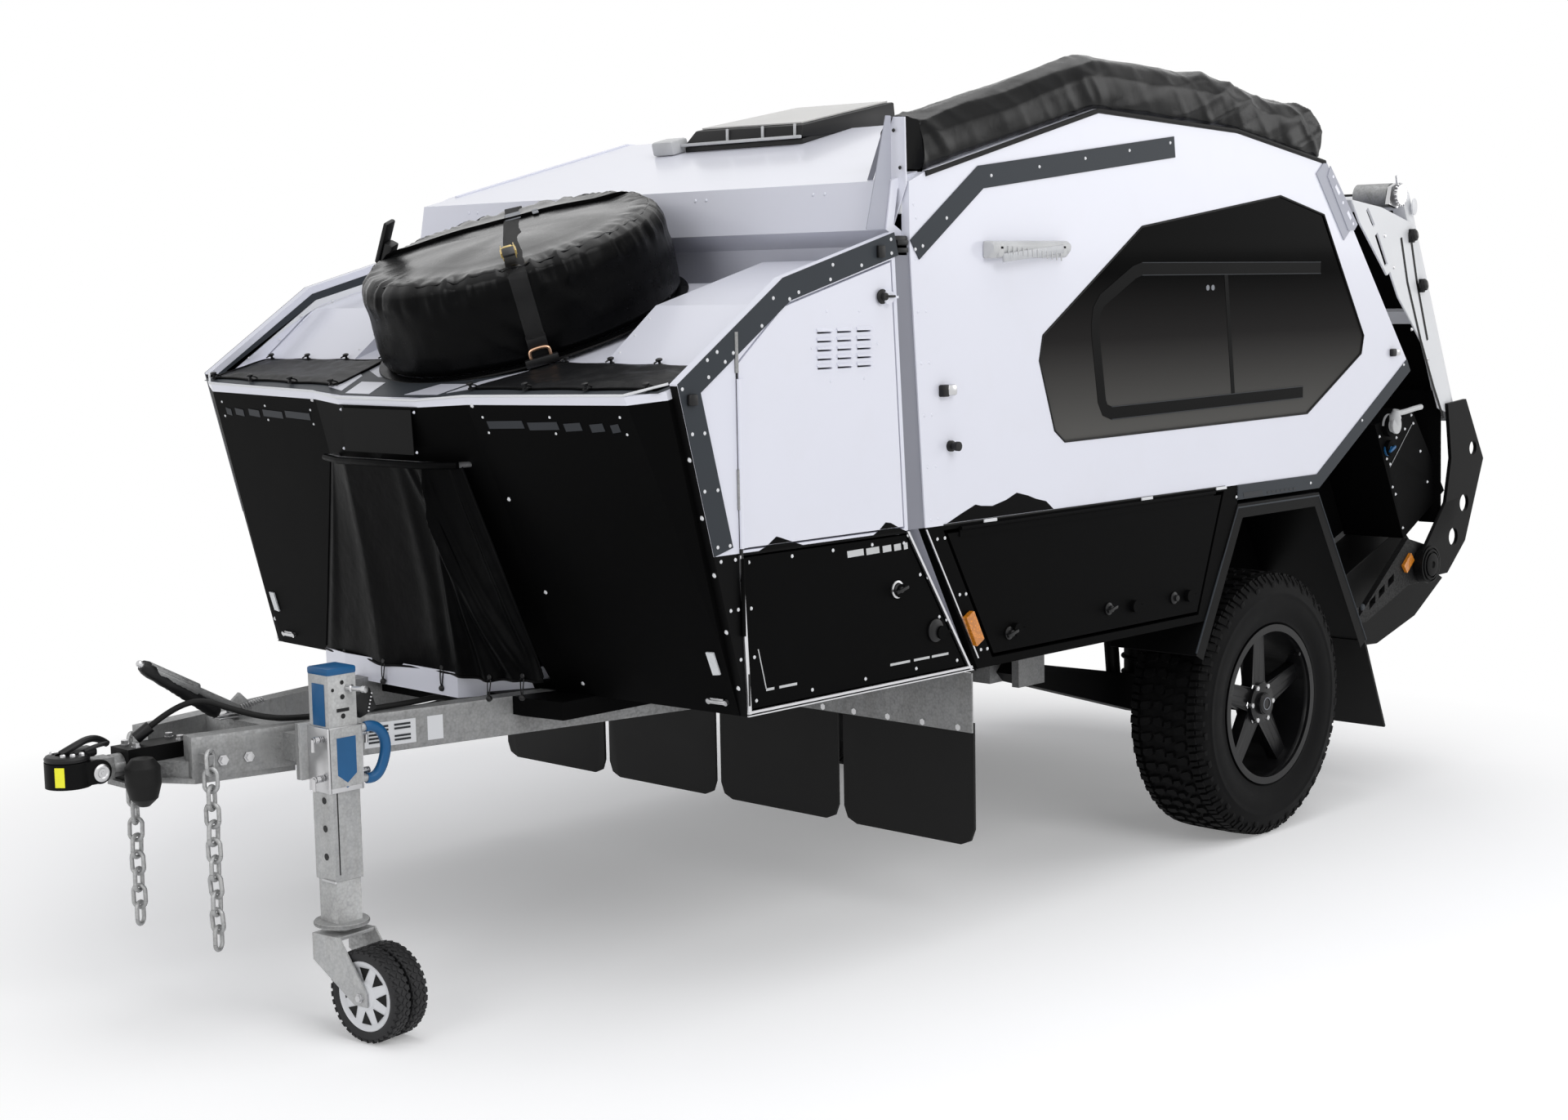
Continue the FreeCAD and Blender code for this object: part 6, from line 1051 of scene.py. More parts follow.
def spare_form(angle, t):
    """Radius and height on the cover's skin; t runs from the top's middle to the tuck below."""
    for (t0, r0, h0), (t1, r1, h1) in zip(SPARE_KEY, SPARE_KEY[1:]):
        if t <= t1:
            s = (t - t0) / (t1 - t0)
            radius, height = r0 + (r1 - r0) * s, h0 + (h1 - h0) * s
            break
    c, s = math.cos(angle), math.sin(angle)
    rim = math.exp(-((t - 0.48) / 0.07) ** 2)
    wall = math.exp(-((t - 0.72) / 0.14) ** 2)
    flat = math.exp(-((t - 0.22) / 0.2) ** 2)
    gather = 1 - abs(noise.noise(Vector((c * 13, s * 13, 1.0)))) * 2.6
    below = math.exp(-((t - 0.57) / 0.05) ** 2)
    fine = noise.noise(Vector((c * 24 + t * 4, s * 24, t * 5)))
    broad = noise.noise(Vector((c * 1.6, s * 1.6, t * 2.5 + 4)))
    ridge = 1 - abs(noise.noise(Vector((c * 3.5 + t * 5, s * 3.5 - t * 2, 2.0)))) * 2
    height += rim * (gather * 9 + fine * 4) + flat * broad * 9 * min(radius / 180, 1)
    radius += below * (gather * 9 + fine * 4) + wall * (broad * 7 + ridge * 4 + fine)
    height -= 9 * math.exp(-((t - 0.34) / 0.10) ** 2) * (0.6 + 0.4 * noise.noise(Vector((c * 2, s * 2, 9))))
    return min(radius, 404), height


def spare_skin(angle, t, lift=0.0):
    radius, height = spare_form(angle, t)
    r1, h1 = spare_form(angle, min(t + 0.01, 1.0))
    slope = Vector((r1 - radius, h1 - height))
    out = Vector((-slope.y, slope.x)).normalized() if slope.length > 1e-6 else Vector((0, 1))
    return spare_point(angle, radius + out.x * lift, height + out.y * lift)


def strap_run(start, end, t_of):
    """Points of a strap that crosses the top between two rim angles."""
    points = []
    a, b = Vector((math.cos(start), math.sin(start))) * 372, Vector((math.cos(end), math.sin(end))) * 372
    for i in range(41):
        q = a.lerp(b, i / 40)
        angle = math.atan2(q.y, q.x)
        radius = q.length
        low, high = 0.0, 0.50
        for _ in range(24):
            middle = (low + high) / 2
            if spare_form(angle, middle)[0] < radius:
                low = middle
            else:
                high = middle
        points.append(spare_skin(angle, low, 2.0))
    head = [spare_skin(start, t, 2.5) for t in [t_of - (t_of - 0.52) * i / 14 for i in range(15)]]
    tail = [spare_skin(end, t, 2.5) for t in [0.52 + (t_of - 0.52) * i / 14 for i in range(15)]]
    return head + points[1:-1] + tail


def buckle(bm_black, bm_yellow, frame_at, size):
    """A ratchet: side cheeks, bars and handle, lying on the frame's XY with the strap along Y."""
    for x in (-1, 1):
        brick(bm_yellow, frame_at @ shift(x * size * 0.36 * MM, 0, 0.012), (2.4, size * 1.5, 20), 1)
        brick(bm_yellow, frame_at @ shift(x * size * 0.42 * MM, size * 0.5 * MM, 0.018),
              (3, size * 0.7, 12), 1)
    for y in (-0.45, 0.15, 0.62):
        turn = frame_at @ shift(-size * 0.42 * MM, y * size * MM, 0.014) @ turn_by(math.pi / 2, "Y")
        lathe(bm_yellow, [(0, 0), (5, 0), (5, size * 0.84), (0, size * 0.84)], turn, 12)
    brick(bm_black, frame_at @ shift(0, size * 0.85 * MM, 0.024) @ turn_by(-0.18, "X"),
          (size * 0.7, size * 0.9, 7), 2.5)
    brick(bm_yellow, frame_at @ shift(0, size * 0.1 * MM, 0.026), (size * 0.5, 12, 5), 1.5)


def build_spare_cover():
    """The spare wheel's soft cover with its two ratchet straps."""
    turns, rings = 220, 92
    bm = sheet_grid(turns, rings - 1, lambda u, v: spare_skin(math.tau * u, (1 + v * (rings - 1)) / rings))
    bmesh.ops.remove_doubles(bm, verts=bm.verts, dist=1e-6)
    bmesh.ops.holes_fill(bm, edges=[e for e in bm.edges if e.is_boundary])
    cover = piece("spare_cover_cloth", bm, "spare", 70)
    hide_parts("spare_cover")
    seams = bmesh.new()
    tube(seams, [spare_skin(math.tau * i / 120, 0.475, 0.2) for i in range(121)], 1.6, 1)
    lathe(seams, [(388, 8), (412, 5), (414, 1), (380, 1)], SPARE_SEAT, 96)
    piece("spare_cover_seams", seams, "spare", 50)
    straps, yellow, black = bmesh.new(), bmesh.new(), bmesh.new()
    for start, end, width in ((math.radians(51), math.radians(226), scene_sizes().wide_strap / MM),
                              (math.radians(-66), math.radians(164), scene_sizes().thin_strap / MM)):
        run = strap_run(start, end, 0.90)
        rows = []
        for i, p in enumerate(run):
            ahead, behind = run[min(i + 1, len(run) - 1)], run[max(i - 1, 0)]
            way = (ahead - behind).normalized()
            up = (p - (SPARE_SEAT @ Vector((0, 0, 0.11)))).normalized()
            side = way.cross(up).normalized() * width * MM / 2
            rows.append([straps.verts.new(c) for c in (p - side, p + side)])
        for r, q in zip(rows, rows[1:]):
            straps.faces.new((r[0], q[0], q[1], r[1]))
    bmesh.ops.solidify(straps, geom=straps.faces[:], thickness=0.0018)
    piece("spare_straps", straps, "web", 50)
    turned = turn_by(math.radians(51 - 90), "Z")
    buckle(black, yellow, Matrix.Translation(spare_point(math.radians(50), 318, 256)) @ SPARE_TURN @ turned
           @ turn_by(-0.12, "X"), 44)
    rim_spot = Matrix.Translation(spare_point(math.radians(-72), 392, 232)) @ SPARE_TURN @ \
        turn_by(math.radians(-72), "Z") @ turn_by(math.radians(-34), "Y")
    brick(black, rim_spot @ shift(0.012, 0, 0.05), (13, 44, 120), 5)
    brick(black, rim_spot @ shift(-0.008, 0, 0.02), (26, 36, 70), 5)
    for dz in (-0.02, 0.0):
        brick(yellow, rim_spot @ shift(0.006, 0.0, dz), (30, 8, 9), 2)
    foot = Matrix.Translation(spare_point(math.radians(51), 404, 26)) @ SPARE_TURN @ turn_by(math.radians(51), "Z")
    hooks = bmesh.new()
    tube(hooks, [foot @ Vector((0.004, y * MM, z * MM)) for y, z in
                 ((-24, -14), (-26, 4), (-20, 14), (20, 14), (26, 4), (24, -14))], 4.2, 2)
    piece("spare_strap_hook", hooks, "copper", 40)
    brick(black, foot @ shift(0.006, 0, -0.018), (16, 84, 22), 4)
    brick(black, foot @ shift(-0.004, 0, 0.03), (9, 50, 34), 3)
    tags = bmesh.new()
    back = strap_run(math.radians(51), math.radians(226), 0.90)
    first, last = back[len(back) // 2 + 6], back[len(back) // 2 + 14]
    middle = first.lerp(last, 0.5)
    lie = SPARE_TURN @ turn_by(math.atan2((last - first).y, (last - first).x), "Z")
    brick(tags, Matrix.Translation(middle + Vector((0, 0, 0.004))) @ lie, (92, 42, 2), 0.6)
    brick(tags, Matrix.Translation(spare_point(math.radians(200), 165, 262)) @ SPARE_TURN
          @ turn_by(0.9, "Z"), (60, 16, 2), 0.6)
    piece("spare_strap_tags", tags, "grey_film", 20)
    for side in (-1, 1):
        a = spare_point(math.radians(-62 if side < 0 else 118), 396, 96)
        tube(black, [a, a + Vector((0.012, side * 0.016, -0.05)), a + Vector((0.004, side * 0.012, -0.095)),
                     a + Vector((-0.008, side * 0.004, -0.05)), a], 2.6, 1)
    piece("spare_buckles", yellow, "yellow", 40)
    piece("spare_buckle_handles", black, "plastic", 40)


def remeshed(node, voxel, rounds):
    """A closed even skin over a node, ready to be shaped."""
    holder = bpy.data.objects.new("skin", NODES[node].data.copy())
    bpy.context.scene.collection.objects.link(holder)
    skin = holder.modifiers.new("skin", "REMESH")
    skin.mode = "VOXEL"
    skin.voxel_size = voxel * MM
    even = holder.modifiers.new("even", "SMOOTH")
    even.factor = 0.5
    even.iterations = rounds
    mesh = bpy.data.meshes.new_from_object(holder.evaluated_get(bpy.context.evaluated_depsgraph_get()))
    bm = bmesh.new()
    bm.from_mesh(mesh)
    bpy.data.objects.remove(holder)
    bpy.data.meshes.remove(mesh)
    bm.normal_update()
    return bm


# The awning bag goes no farther forward, outwards or up, in metres
BAG_LIMIT = (at(1604, 0, 0).x, 0.942, 2.277)


def crease(x, centre, width):
    d = (x - centre) / width
    return math.exp(-d * d)


def build_awning():
    """The rolled awning in its crumpled bag, its track, and the lamp's lens and ribs below it."""
    bm = remeshed("awning_bag", 8, 9)
    shift = {}
    for v in bm.verts:
        x, y, z = v.co.x / MM - AXLE_X, v.co.y / MM, v.co.z / MM
        p = Vector((x * 0.001, y * 0.001, z * 0.001))
        drag = noise.noise(Vector((p.x * 1.8 - p.z * 3.0, p.y * 5, p.z * 6.0)))
        fine = noise.noise(Vector((p.x * 5 - p.z * 6, p.y * 12, p.z * 16)))
        ridge = 1 - abs(noise.noise(Vector((p.x * 4.5 + p.z * 12, p.y * 11, 1.7)))) * 3.2
        pinch = 1 - abs(noise.noise(Vector((p.x * 8 - p.z * 7, p.y * 14, 5.1)))) * 3.6
        near_bend = crease(x, 892, 130) + crease(x, 224, 150) + crease(x, -170, 140) * 1.3 + crease(x, 1600, 90)
        lump = 10 * crease(x, 360, 60) + 9 * crease(x, -190, 55) - 7 * crease(x, 60, 120) - 6 * crease(x, 1250, 160)
        top = max(v.normal.z, 0.0)
        shift[v] = drag * 9 + fine * 1.5 + max(ridge, 0) * 6 * (0.6 + near_bend * 0.5) + \
            max(pinch, 0) * 4 * (0.25 + near_bend) + lump * top - 6
    for v, d in shift.items():
        v.co += v.normal * d * MM
        v.co = [min(*pair) for pair in zip(v.co, BAG_LIMIT)]
    bag = piece("awning_bag_cloth", bm, "bag", 70)
    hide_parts("awning_bag")
    line = [(1604, 1952), (892, 2131), (224, 2100), (-254, 2024)]
    track = bmesh.new()
    tube(track, [at(x, 939, z - 6) for x, z in line], 7, 2, False)
    piece("awning_track", track, "rubber", 40)
    lens = bmesh.new()
    middle = at(1222, 976, 1752)
    lean = turn_by(math.radians(5.0), "Y")
    brick(lens, Matrix.Translation(middle) @ lean, (250, 8, 22), 2)
    piece("awning_lamp_lens", lens, "lens", 30)
    shell = bmesh.new()
    for i in range(12):
        brick(shell, spot(1330 - i * 20, 980, 1761 - i * 1.75) @ lean, (3, 3, 20), 0.6)
    for x in (1352, 1092):
        brick(shell, spot(x, 960, 1762) @ lean, (26, 36, 40), 8)
    piece("awning_lamp_ribs", shell, "grey_plastic", 30, slot="lamp_white")


WINDOW = [(1138, 1540), (693, 1822), (-8, 1914), (-253, 1861), (-494, 1492), (-480, 1437), (-166, 1268), (1045, 1258),
          (1089, 1290), (1153, 1475)]
FRAME_LINE = [(-240, 1703), (690, 1708), (726, 1699), (874, 1626), (898, 1600), (905, 1560), (902, 1520), (876, 1356),
              (862, 1332), (832, 1322), (-144, 1333)]


def build_gussets():
    """The white plate ahead of the awning bag, with its rivets and its flange, a strip in darker paint as painted
    shade on the fold.
    """
    plate, edge, dots = bmesh.new(), bmesh.new(), bmesh.new()
    outline = [(899, 2083), (936, 2081), (938, 1940), (938, 1921), (895, 1821), (785, 1816)]
    slab(plate, [at(1674, y, z) for y, z in outline], 4)
    # painted shade: the flange is the plate's white metal folded away from the light, drawn in the darker post film
    slab(edge, [at(1683, y, z) for y, z in ((901, 2083), (787, 1816), (772, 1822), (886, 2083))], 3)
    for y, z in ((906, 2050), (880, 1990), (852, 1925), (824, 1860), (905, 1870), (925, 1960)):
        disc(dots, at(1680, y, z), (1, 0, 0), 5, 3, 10, 0.6)
    piece("awning_gusset_plate", plate, "white", 20)
    piece("awning_gusset_flange_painted_shade", edge, "post", 20)
    piece("awning_gusset_rivets", dots, "plastic", 30)


def build_windows():
    """Rubber seals, the inner frame seen through the pane and its latch."""
    for word, side in SIDES.items():
        seal = bmesh.new()
        tube(seal, [at(x, side * 939.5, z) for x, z in WINDOW + WINDOW[:1]], scene_sizes().window_seal / MM, 1, False)
        piece("window_seal_" + word, seal, "rubber", 40)
        bars = bmesh.new()
        ribbon(bars, FRAME_LINE, scene_sizes().window_bar / MM, side * 937.3, 0.9)
        ribbon(bars, [(275, 1690), (235, 1340)], 18, side * 937.1, 0.9)
        piece("window_frame_lines_" + word, bars, "frame_grey", 0)
        edge = bmesh.new()
        for off in (-1, 1):
            tube(edge, [at(x, side * 938, z + off * 17) for x, z in (FRAME_LINE[0], FRAME_LINE[1])], 1.3, 1, False)
            tube(edge, [at(x, side * 938, z + off * 17) for x, z in FRAME_LINE[-2:]], 1.3, 1, False)
        piece("window_frame_edges_" + word, edge, "slate", 30, slot="window_dark")
        latch = bmesh.new()
        for x in (342, 368):
            lathe(latch, [(0, 0), (8, 0), (8, 1.2), (0, 1.4)], wall_seat(x, 937, 1652, side), 20)
        piece("window_latch_" + word, latch, "grey_film", 30, slot="window_dark")


TYRE_RADIUS = 400.0
TYRE_HALF_WIDTH = 132.0
TREAD_PITCHES = 52
SIDE_LUGS = 26


def radial_face(bm, outline, low, high, shrink):
    """One tread block: outline of (across, arc) in millimetres, raised from a low to a high radius."""
    def place(a, s, r):
        turn = s / TYRE_RADIUS
        return Vector((r * math.sin(turn) * MM, a * MM, r * math.cos(turn) * MM))
    middle = (sum(p[0] for p in outline) / len(outline), sum(p[1] for p in outline) / len(outline))
    base = [bm.verts.new(place(a, s, low(a))) for a, s in outline]
    face = bm.faces.new(base)
    made = bmesh.ops.extrude_face_region(bm, geom=[face])
    tops = [g for g in made["geom"] if isinstance(g, bmesh.types.BMVert)]
    for vert in tops:
        a = vert.co.y / MM
        s = math.atan2(vert.co.x, vert.co.z) * TYRE_RADIUS
        a2 = middle[0] + (a - middle[0]) * shrink
        s2 = middle[1] + (s - middle[1]) * shrink
        vert.co = place(a2, s2, high(a2))


def tread_low(a):
    return 389.0 - (abs(a) / TYRE_HALF_WIDTH) ** 6 * 12.0


def tread_high(a):
    return TYRE_RADIUS - (abs(a) / TYRE_HALF_WIDTH) ** 4 * 7.0


def shoulder_low(a):
    return 384.0 - max(abs(a) - 104, 0) * 1.25


def shoulder_high(a):
    return 396.0 - max(abs(a) - 108, 0) * 1.2


def tyre_bmesh():
    """An all-terrain tyre about the Y axis, centred on the origin."""
    bm = bmesh.new()
    wall = [(228, -100), (236, -112), (246, -117), (249, -121), (254, -121), (262, -121), (280, -127), (300, -131),
            (318, -132.4), (330, -132.0), (333, -133.0), (338, -133.0), (341, -131.5), (352, -129.5), (364, -126),
            (374, -121), (382, -113), (387, -100), (389, -70), (390, -35), (390.5, 0)]
    profile = wall + [(r, -a) for r, a in wall[-2::-1]]
    lathe(bm, profile, turn_by(-math.pi / 2, "X"), 96)
    block = bmesh.new()
    for shape in ([(-30, 1), (-6, -6), (4, 4), (2, 24), (-10, 27), (-31, 18)],
                  [(8, 8), (31, 2), (34, 20), (10, 32), (6, 26)],
                  [(-74, 4), (-40, -3), (-38, 14), (-46, 24), (-73, 30), (-80, 16)],
                  [(42, 22), (70, 12), (80, 20), (76, 42), (44, 45), (38, 34)]):
        radial_face(block, shape, tread_low, tread_high, 0.90)
    shoulder = [([(84, 0), (112, -4), (114, 17), (86, 21)], tread_low, tread_high, 0.92),
                ([(84, 27), (108, 24), (110, 37), (85, 41)], tread_low, tread_high, 0.92),
                ([(112, -5), (127, -3), (127, 14), (113, 18)], shoulder_low, shoulder_high, 0.93),
                ([(112, 24), (122, 25), (122, 36), (112, 38)], shoulder_low, shoulder_high, 0.93)]
    for way, step in ((1, 0), (-1, 8)):
        for shape, low, high, shrink in shoulder:
            radial_face(block, [(a * way, s + step) for a, s in shape][::way], low, high, shrink)
    bmesh.ops.recalc_face_normals(block, faces=block.faces)
    mesh = bpy.data.meshes.new("pitch")
    block.to_mesh(mesh)
    block.free()
    for i in range(TREAD_PITCHES):
        mesh_turn = turn_by(math.tau * i / TREAD_PITCHES, "Y")
        mesh.transform(mesh_turn)
        bm.from_mesh(mesh)
        mesh.transform(mesh_turn.inverted())
    bpy.data.meshes.remove(mesh)
    for way in (-1, 1):
        for i in range(SIDE_LUGS):
            turn = turn_by(math.tau * i / SIDE_LUGS, "Y")
            brick(bm, turn @ shift(0, way * 0.1265, 0.362), (22, 5, 16), 1.5)
    return bm


def build_wheels():
    """Tyres with tread blocks, softened rims, wheel nuts, caps and valves."""
    for word, side in SIDES.items():
        bm = tyre_bmesh()
        bmesh.ops.transform(bm, matrix=spot(0, side * 802.5, 400) @ turn_by(0.0 if side > 0 else math.pi, "Z"),
                            verts=bm.verts)
        tyre = piece("tyre_tread_" + word, bm, "tyre", 28, "wheel_" + word)
        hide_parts("tyre_" + word)
        soften("rim_" + word, 2.2, "wheel", 3, 20)
        nuts, cap, ring = bmesh.new(), bmesh.new(), bmesh.new()
        hub = seat(at(0, side * (926 - 48), 400), (0, side, 0))
        for i in range(6):
            turn = hub @ turn_by(math.tau * i / 6, "Z") @ shift(0.056, 0, 0)
            lathe(nuts, [(0, 0), (11.5, 0), (11.5, 3), (9.5, 5), (9.5, 16), (7.5, 20), (0, 21)], turn, 6)
            lathe(cap, [(15, -1), (15, 2.5), (12.5, 3), (12.0, -1)], turn, 20)
        lathe(cap, [(0, 0), (36, 0), (36, 4), (33, 8), (33, 26), (30, 31), (16, 33), (15, 31), (0, 31)], hub, 40)
        lathe(ring, [(15.2, 31.4), (17, 33.6), (19, 33.2), (20, 31)], hub, 40)
        piece("wheel_nuts_" + word, nuts, "plated", 30, "wheel_" + word)
        piece("wheel_cap_" + word, cap, "wheel", 30, "wheel_" + word)
        piece("wheel_cap_ring_" + word, ring, "grey_film", 30, "wheel_" + word)
        rim = bmesh.new()
        face = wall_seat(0, 926, 400, side)
        lathe(rim, [(224, -16), (232, -12), (234.5, -4), (234.5, -1), (232, 0), (226, -2), (221, -10), (219, -22)],
              face, 96)
        lathe(rim, [(0, 0), (4.5, 0), (4.0, 14), (5.2, 16), (5.2, 30), (0, 31)],
              face @ turn_by(0.7, "Z") @ shift(0.206, 0, -0.03), 12)
        piece("rim_lip_" + word, rim, "wheel", 30, "wheel_" + word)


JOCKEY_LUGS = 34


def small_tyre(bm, middle):
    """One jockey tyre about the matrix's Y axis: a turned body with slanted tread blocks."""
    lathe(bm, [(78, -17), (84, -21), (92, -23), (99, -22), (104, -18), (106, -12), (106.6, 0), (106, 12), (104, 18),
               (99, 22), (92, 23), (84, 21), (78, 17)], middle @ turn_by(-math.pi / 2, "X"), 64)
    for i in range(JOCKEY_LUGS):
        turn = middle @ turn_by(math.tau * i / JOCKEY_LUGS, "Y")
        for y, skew in ((-12, 0.55), (0, -0.55), (12, 0.55)):
            spin = turn_by(0.105 if y == 0 else 0.0, "Y")
            brick(bm, turn @ spin @ shift(0, y * MM, 0.1064) @ turn_by(skew, "Z"),
                  (13.5, 9.5, 3.6), 0.8)
        for y in (-20.5, 20.5):
            brick(bm, turn @ shift(0, y * MM, 0.1015), (12, 6, 5), 1)


def build_jockey_wheels():
    """The jockey wheel's twin tyres, rims with dark triangles of painted shade in their openings, and axle nuts."""
    tyres, rims, cuts = bmesh.new(), bmesh.new(), bmesh.new()
    hub = spot(*JOCKEY_HUB) @ turn_by(-CASTOR_TURN, "Z")
    for y in (27, -27):
        small_tyre(tyres, hub @ shift(0, y * MM, 0))
        for side in (1, -1):
            face = hub @ shift(0, (y + side * 20) * MM, 0) @ turn_by(-side * math.pi / 2, "X")
            lathe(rims, [(0, -6), (22, -6), (22, 3), (19, 5), (30, 2), (34, -3), (66, -6), (72, -2), (79, 1), (81, -1),
                         (80, -8)], face, 64)
            # painted shade: dark triangles laid on each rim face stand for the shade in its openings
            for i in range(8):
                turn = face @ turn_by(math.tau * i / 8, "Z")
                tip = [Vector((0.035, 0, -0.0024)), Vector((0.065, -0.015, -0.0050)), Vector((0.065, 0.015, -0.0050))]
                slab(cuts, [turn @ p for p in tip], 0.7)
    made = piece("jockey_tyres", tyres, "small_tyre", 30, "jockey_roller")
    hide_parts("jockey_wheels")
    piece("jockey_rims", rims, "alloy", 30, "jockey_roller")
    piece("jockey_rim_opening_shade", cuts, "rubber", 0, "jockey_roller")
    nuts = bmesh.new()
    for side in (1, -1):
        lathe(nuts, [(0, 0), (11, 0), (11, 5), (8, 5), (8, 10), (0, 10)],
              hub @ shift(0, side * 0.058, 0) @ turn_by(-side * math.pi / 2, "X"), 6)
    piece("jockey_axle_nuts", nuts, "plated", 30, "jockey_castor", slot="steel_galvanised")


def build_jockey_post():
    """Cap, plates, clamp gear and lifting loop of the jockey wheel's post."""
    blue, metal, black, pale = bmesh.new(), bmesh.new(), bmesh.new(), bmesh.new()
    for x, y, z, size, bevel in (
            (2955, 310, 841, (80, 80, 18), 5),
            (2993.8, 310, 765, (1.6, 46, 96), 0.6)):
        brick(blue, spot(x, y, z), size, bevel)
    shield = [(2990, 700), (2920, 700), (2920, 600), (2955, 574), (2990, 600)]
    side_plate(blue, shield, 1, 353 - 940, 2.2)
    side_plate(pale, [(2984, 694), (2926, 694), (2926, 604), (2955, 582), (2984, 604)], 1, 355.4 - 940, 0.5)
    side_plate(blue, [(2981, 691), (2929, 691), (2929, 606), (2955, 586), (2981, 606)], 1, 355.8 - 940, 0.5)
    brick(metal, spot(2955, 350.5, 640), (96, 5, 150), 2)
    for x in (2912, 2998):
        brick(metal, spot(x, 312, 640), (6, 82, 150), 2)
        for z in (690, 600):
            tube(metal, [at(x, 330, z), at(x + (30 if x > 2955 else -30), 330, z),
                         at(x + (30 if x > 2955 else -30), 330, z - 26)], 4.5, 2, False)
            lathe(metal, [(0, 0), (8, 0), (8, 8), (0, 8)], seat(at(x + (16 if x > 2955 else -24), 330, z), (1, 0, 0)),
                  6)
            for k in range(6):
                lathe(metal, [(4.5, 0), (8, 0), (8, 2), (4.5, 2)],
                      seat(at(x + (6 if x > 2955 else -34) + k * 4.4, 330, z), (1, 0, 0)), 14)
    for x, z, r in ((2955, 815, 5), (2955, 782, 6), (2955, 738, 6), (2930, 800, 4), (2981, 800, 4)):
        lathe(black, [(0, 0), (r, 0), (r, 0.6), (0, 0.7)], seat(at(x, 348.2, z), (0, 1, 0)), 20)
    brick(black, spot(2955, 348.4, 752), (34, 0.8, 8), 0.3)
    for z in (545, 480, 415):
        lathe(black, [(0, 0), (8, 0), (8, 0.6), (0, 0.7)], seat(at(2993.2, 316, z), (1, 0, 0)), 20)
    brick(black, spot(2980, 348.4, 470), (3, 0.8, 190), 0.3)
    lathe(metal, [(0, 0), (9, 0), (9, 12), (6, 14), (6, 40), (8, 42), (8, 52), (0, 53)],
          seat(at(2940, 348, 800), (-0.3, 1, 0)), 18)
    tube(blue, [at(2895, 345, 704), at(2867, 350, 709), at(2835, 350, 657), at(2867, 350, 579), at(2895, 345, 585)],
         12.5, 4)
    brick(black, spot(2868, 300, 752) @ turn_by(0.35, "Y"), (52, 26, 56), 4)
    for k in range(6):
        brick(metal, spot(2850 + k * 2.2, 314, 772 - k * 8), (5, 3, 4), 0.8)
    tube(metal, [at(2995, 300, 360), at(2995, 350, 360)], 3, 1, False)
    piece("jockey_blue_parts", blue, "blue", body="jockey_tube")
    piece("jockey_plate_lines", pale, "grey_plastic", 0, "jockey_tube")
    piece("jockey_clamp_gear", metal, "plated", body="jockey_tube", slot="steel_galvanised")
    piece("jockey_dark_parts", black, "plastic", body="jockey_tube")
    ring = bmesh.new()
    lathe(ring, [(60, 1), (64, 3), (64, 7), (60, 9)], spot(2955, 310, 252), 48)
    piece("jockey_leg_ring", ring, "zinc", body="jockey_slider")


def rail_y(x):
    """How far from the middle a drawbar rail's axis lies."""
    return 100 + 355 * (3205 - x) / 1705


def build_receiver():
    """The receiver's collar, latch, studs and yellow tab."""
    black, metal, yellow = bmesh.new(), bmesh.new(), bmesh.new()
    lathe(black, [(26, 0), (46, 0), (49, 2), (50, 8), (46, 13), (30, 16), (26, 14)], spot(3447, 0, 670), 48)
    brick(black, spot(3412, 0, 684), (60, 44, 22), 8)
    for x, y in ((3470, 24), (3452, 34), (3430, 34), (3470, -24), (3430, -34)):
        lathe(metal, [(0, 0), (6.5, 0), (6.5, 6), (4, 8), (0, 8)], spot(x, y, 683), 6)
    lathe(metal, [(0, 0), (20, 0), (20, 5), (16, 8), (12, 8), (10, 6), (4, 6), (3, 8), (0, 8)],
          seat(at(3391, 45, 640), (0, 1, 0)), 36)
    tube(black, [at(3470, 14, 690), at(3436, 20, 706), at(3400, 16, 716), at(3368, 8, 708), at(3350, 4, 694)], 8, 3)
    tube(black, [at(3420, 30, 692), at(3390, 40, 704), at(3365, 30, 700)], 5, 3)
    brick(yellow, seat(at(3485, 33, 642), Vector((0.78, 0.62, 0))), (22, 44, 1.6), 0.5)
    piece("receiver_yellow_tab", yellow, "yellow_film", 30, "coupling_receiver")
    piece("receiver_casting_parts", black, "plastic", body="coupling_receiver", slot="steel_black")
    piece("receiver_studs", metal, "plated", body="coupling_receiver")


def build_lever():
    """The handbrake lever's ribbed grip, tip and ratchet teeth."""
    grip = bmesh.new()
    start, end = at(3062, 0, 721), at(3250, 0, 857.5)
    way = (end - start).normalized()
    profile = [(0, 0), (14, 0), (15, 8)]
    length = (end - start).length / MM
    ribs = 9
    for i in range(ribs):
        s = 8 + (length * 0.62) * i / ribs
        profile += [(15.5, s + 2), (16.6, s + 9)]
    profile += [(16, length * 0.64), (17.5, length * 0.72), (16.5, length * 0.8), (18.2, length * 0.88),
                (17, length * 0.95), (13, length), (0, length + 1)]
    lathe(grip, profile, seat(start, way), 28)
    piece("lever_grip", grip, "plastic")
    tip = bmesh.new()
    lathe(tip, [(0, 0), (8, 0), (8, 10), (6, 13), (0, 13)], seat(end, way), 20)
    for z in (708, 716):
        brick(tip, spot(3036, 0, z), (60, 38, 4), 1.5)
    for k in range(9):
        brick(tip, spot(3000 - k * 7.0, 12, 727 + k * 1.2) @ turn_by(0.5, "Y"), (3, 4, 14), 0.6)
    piece("lever_ratchet", tip, "plated", slot="steel_galvanised")


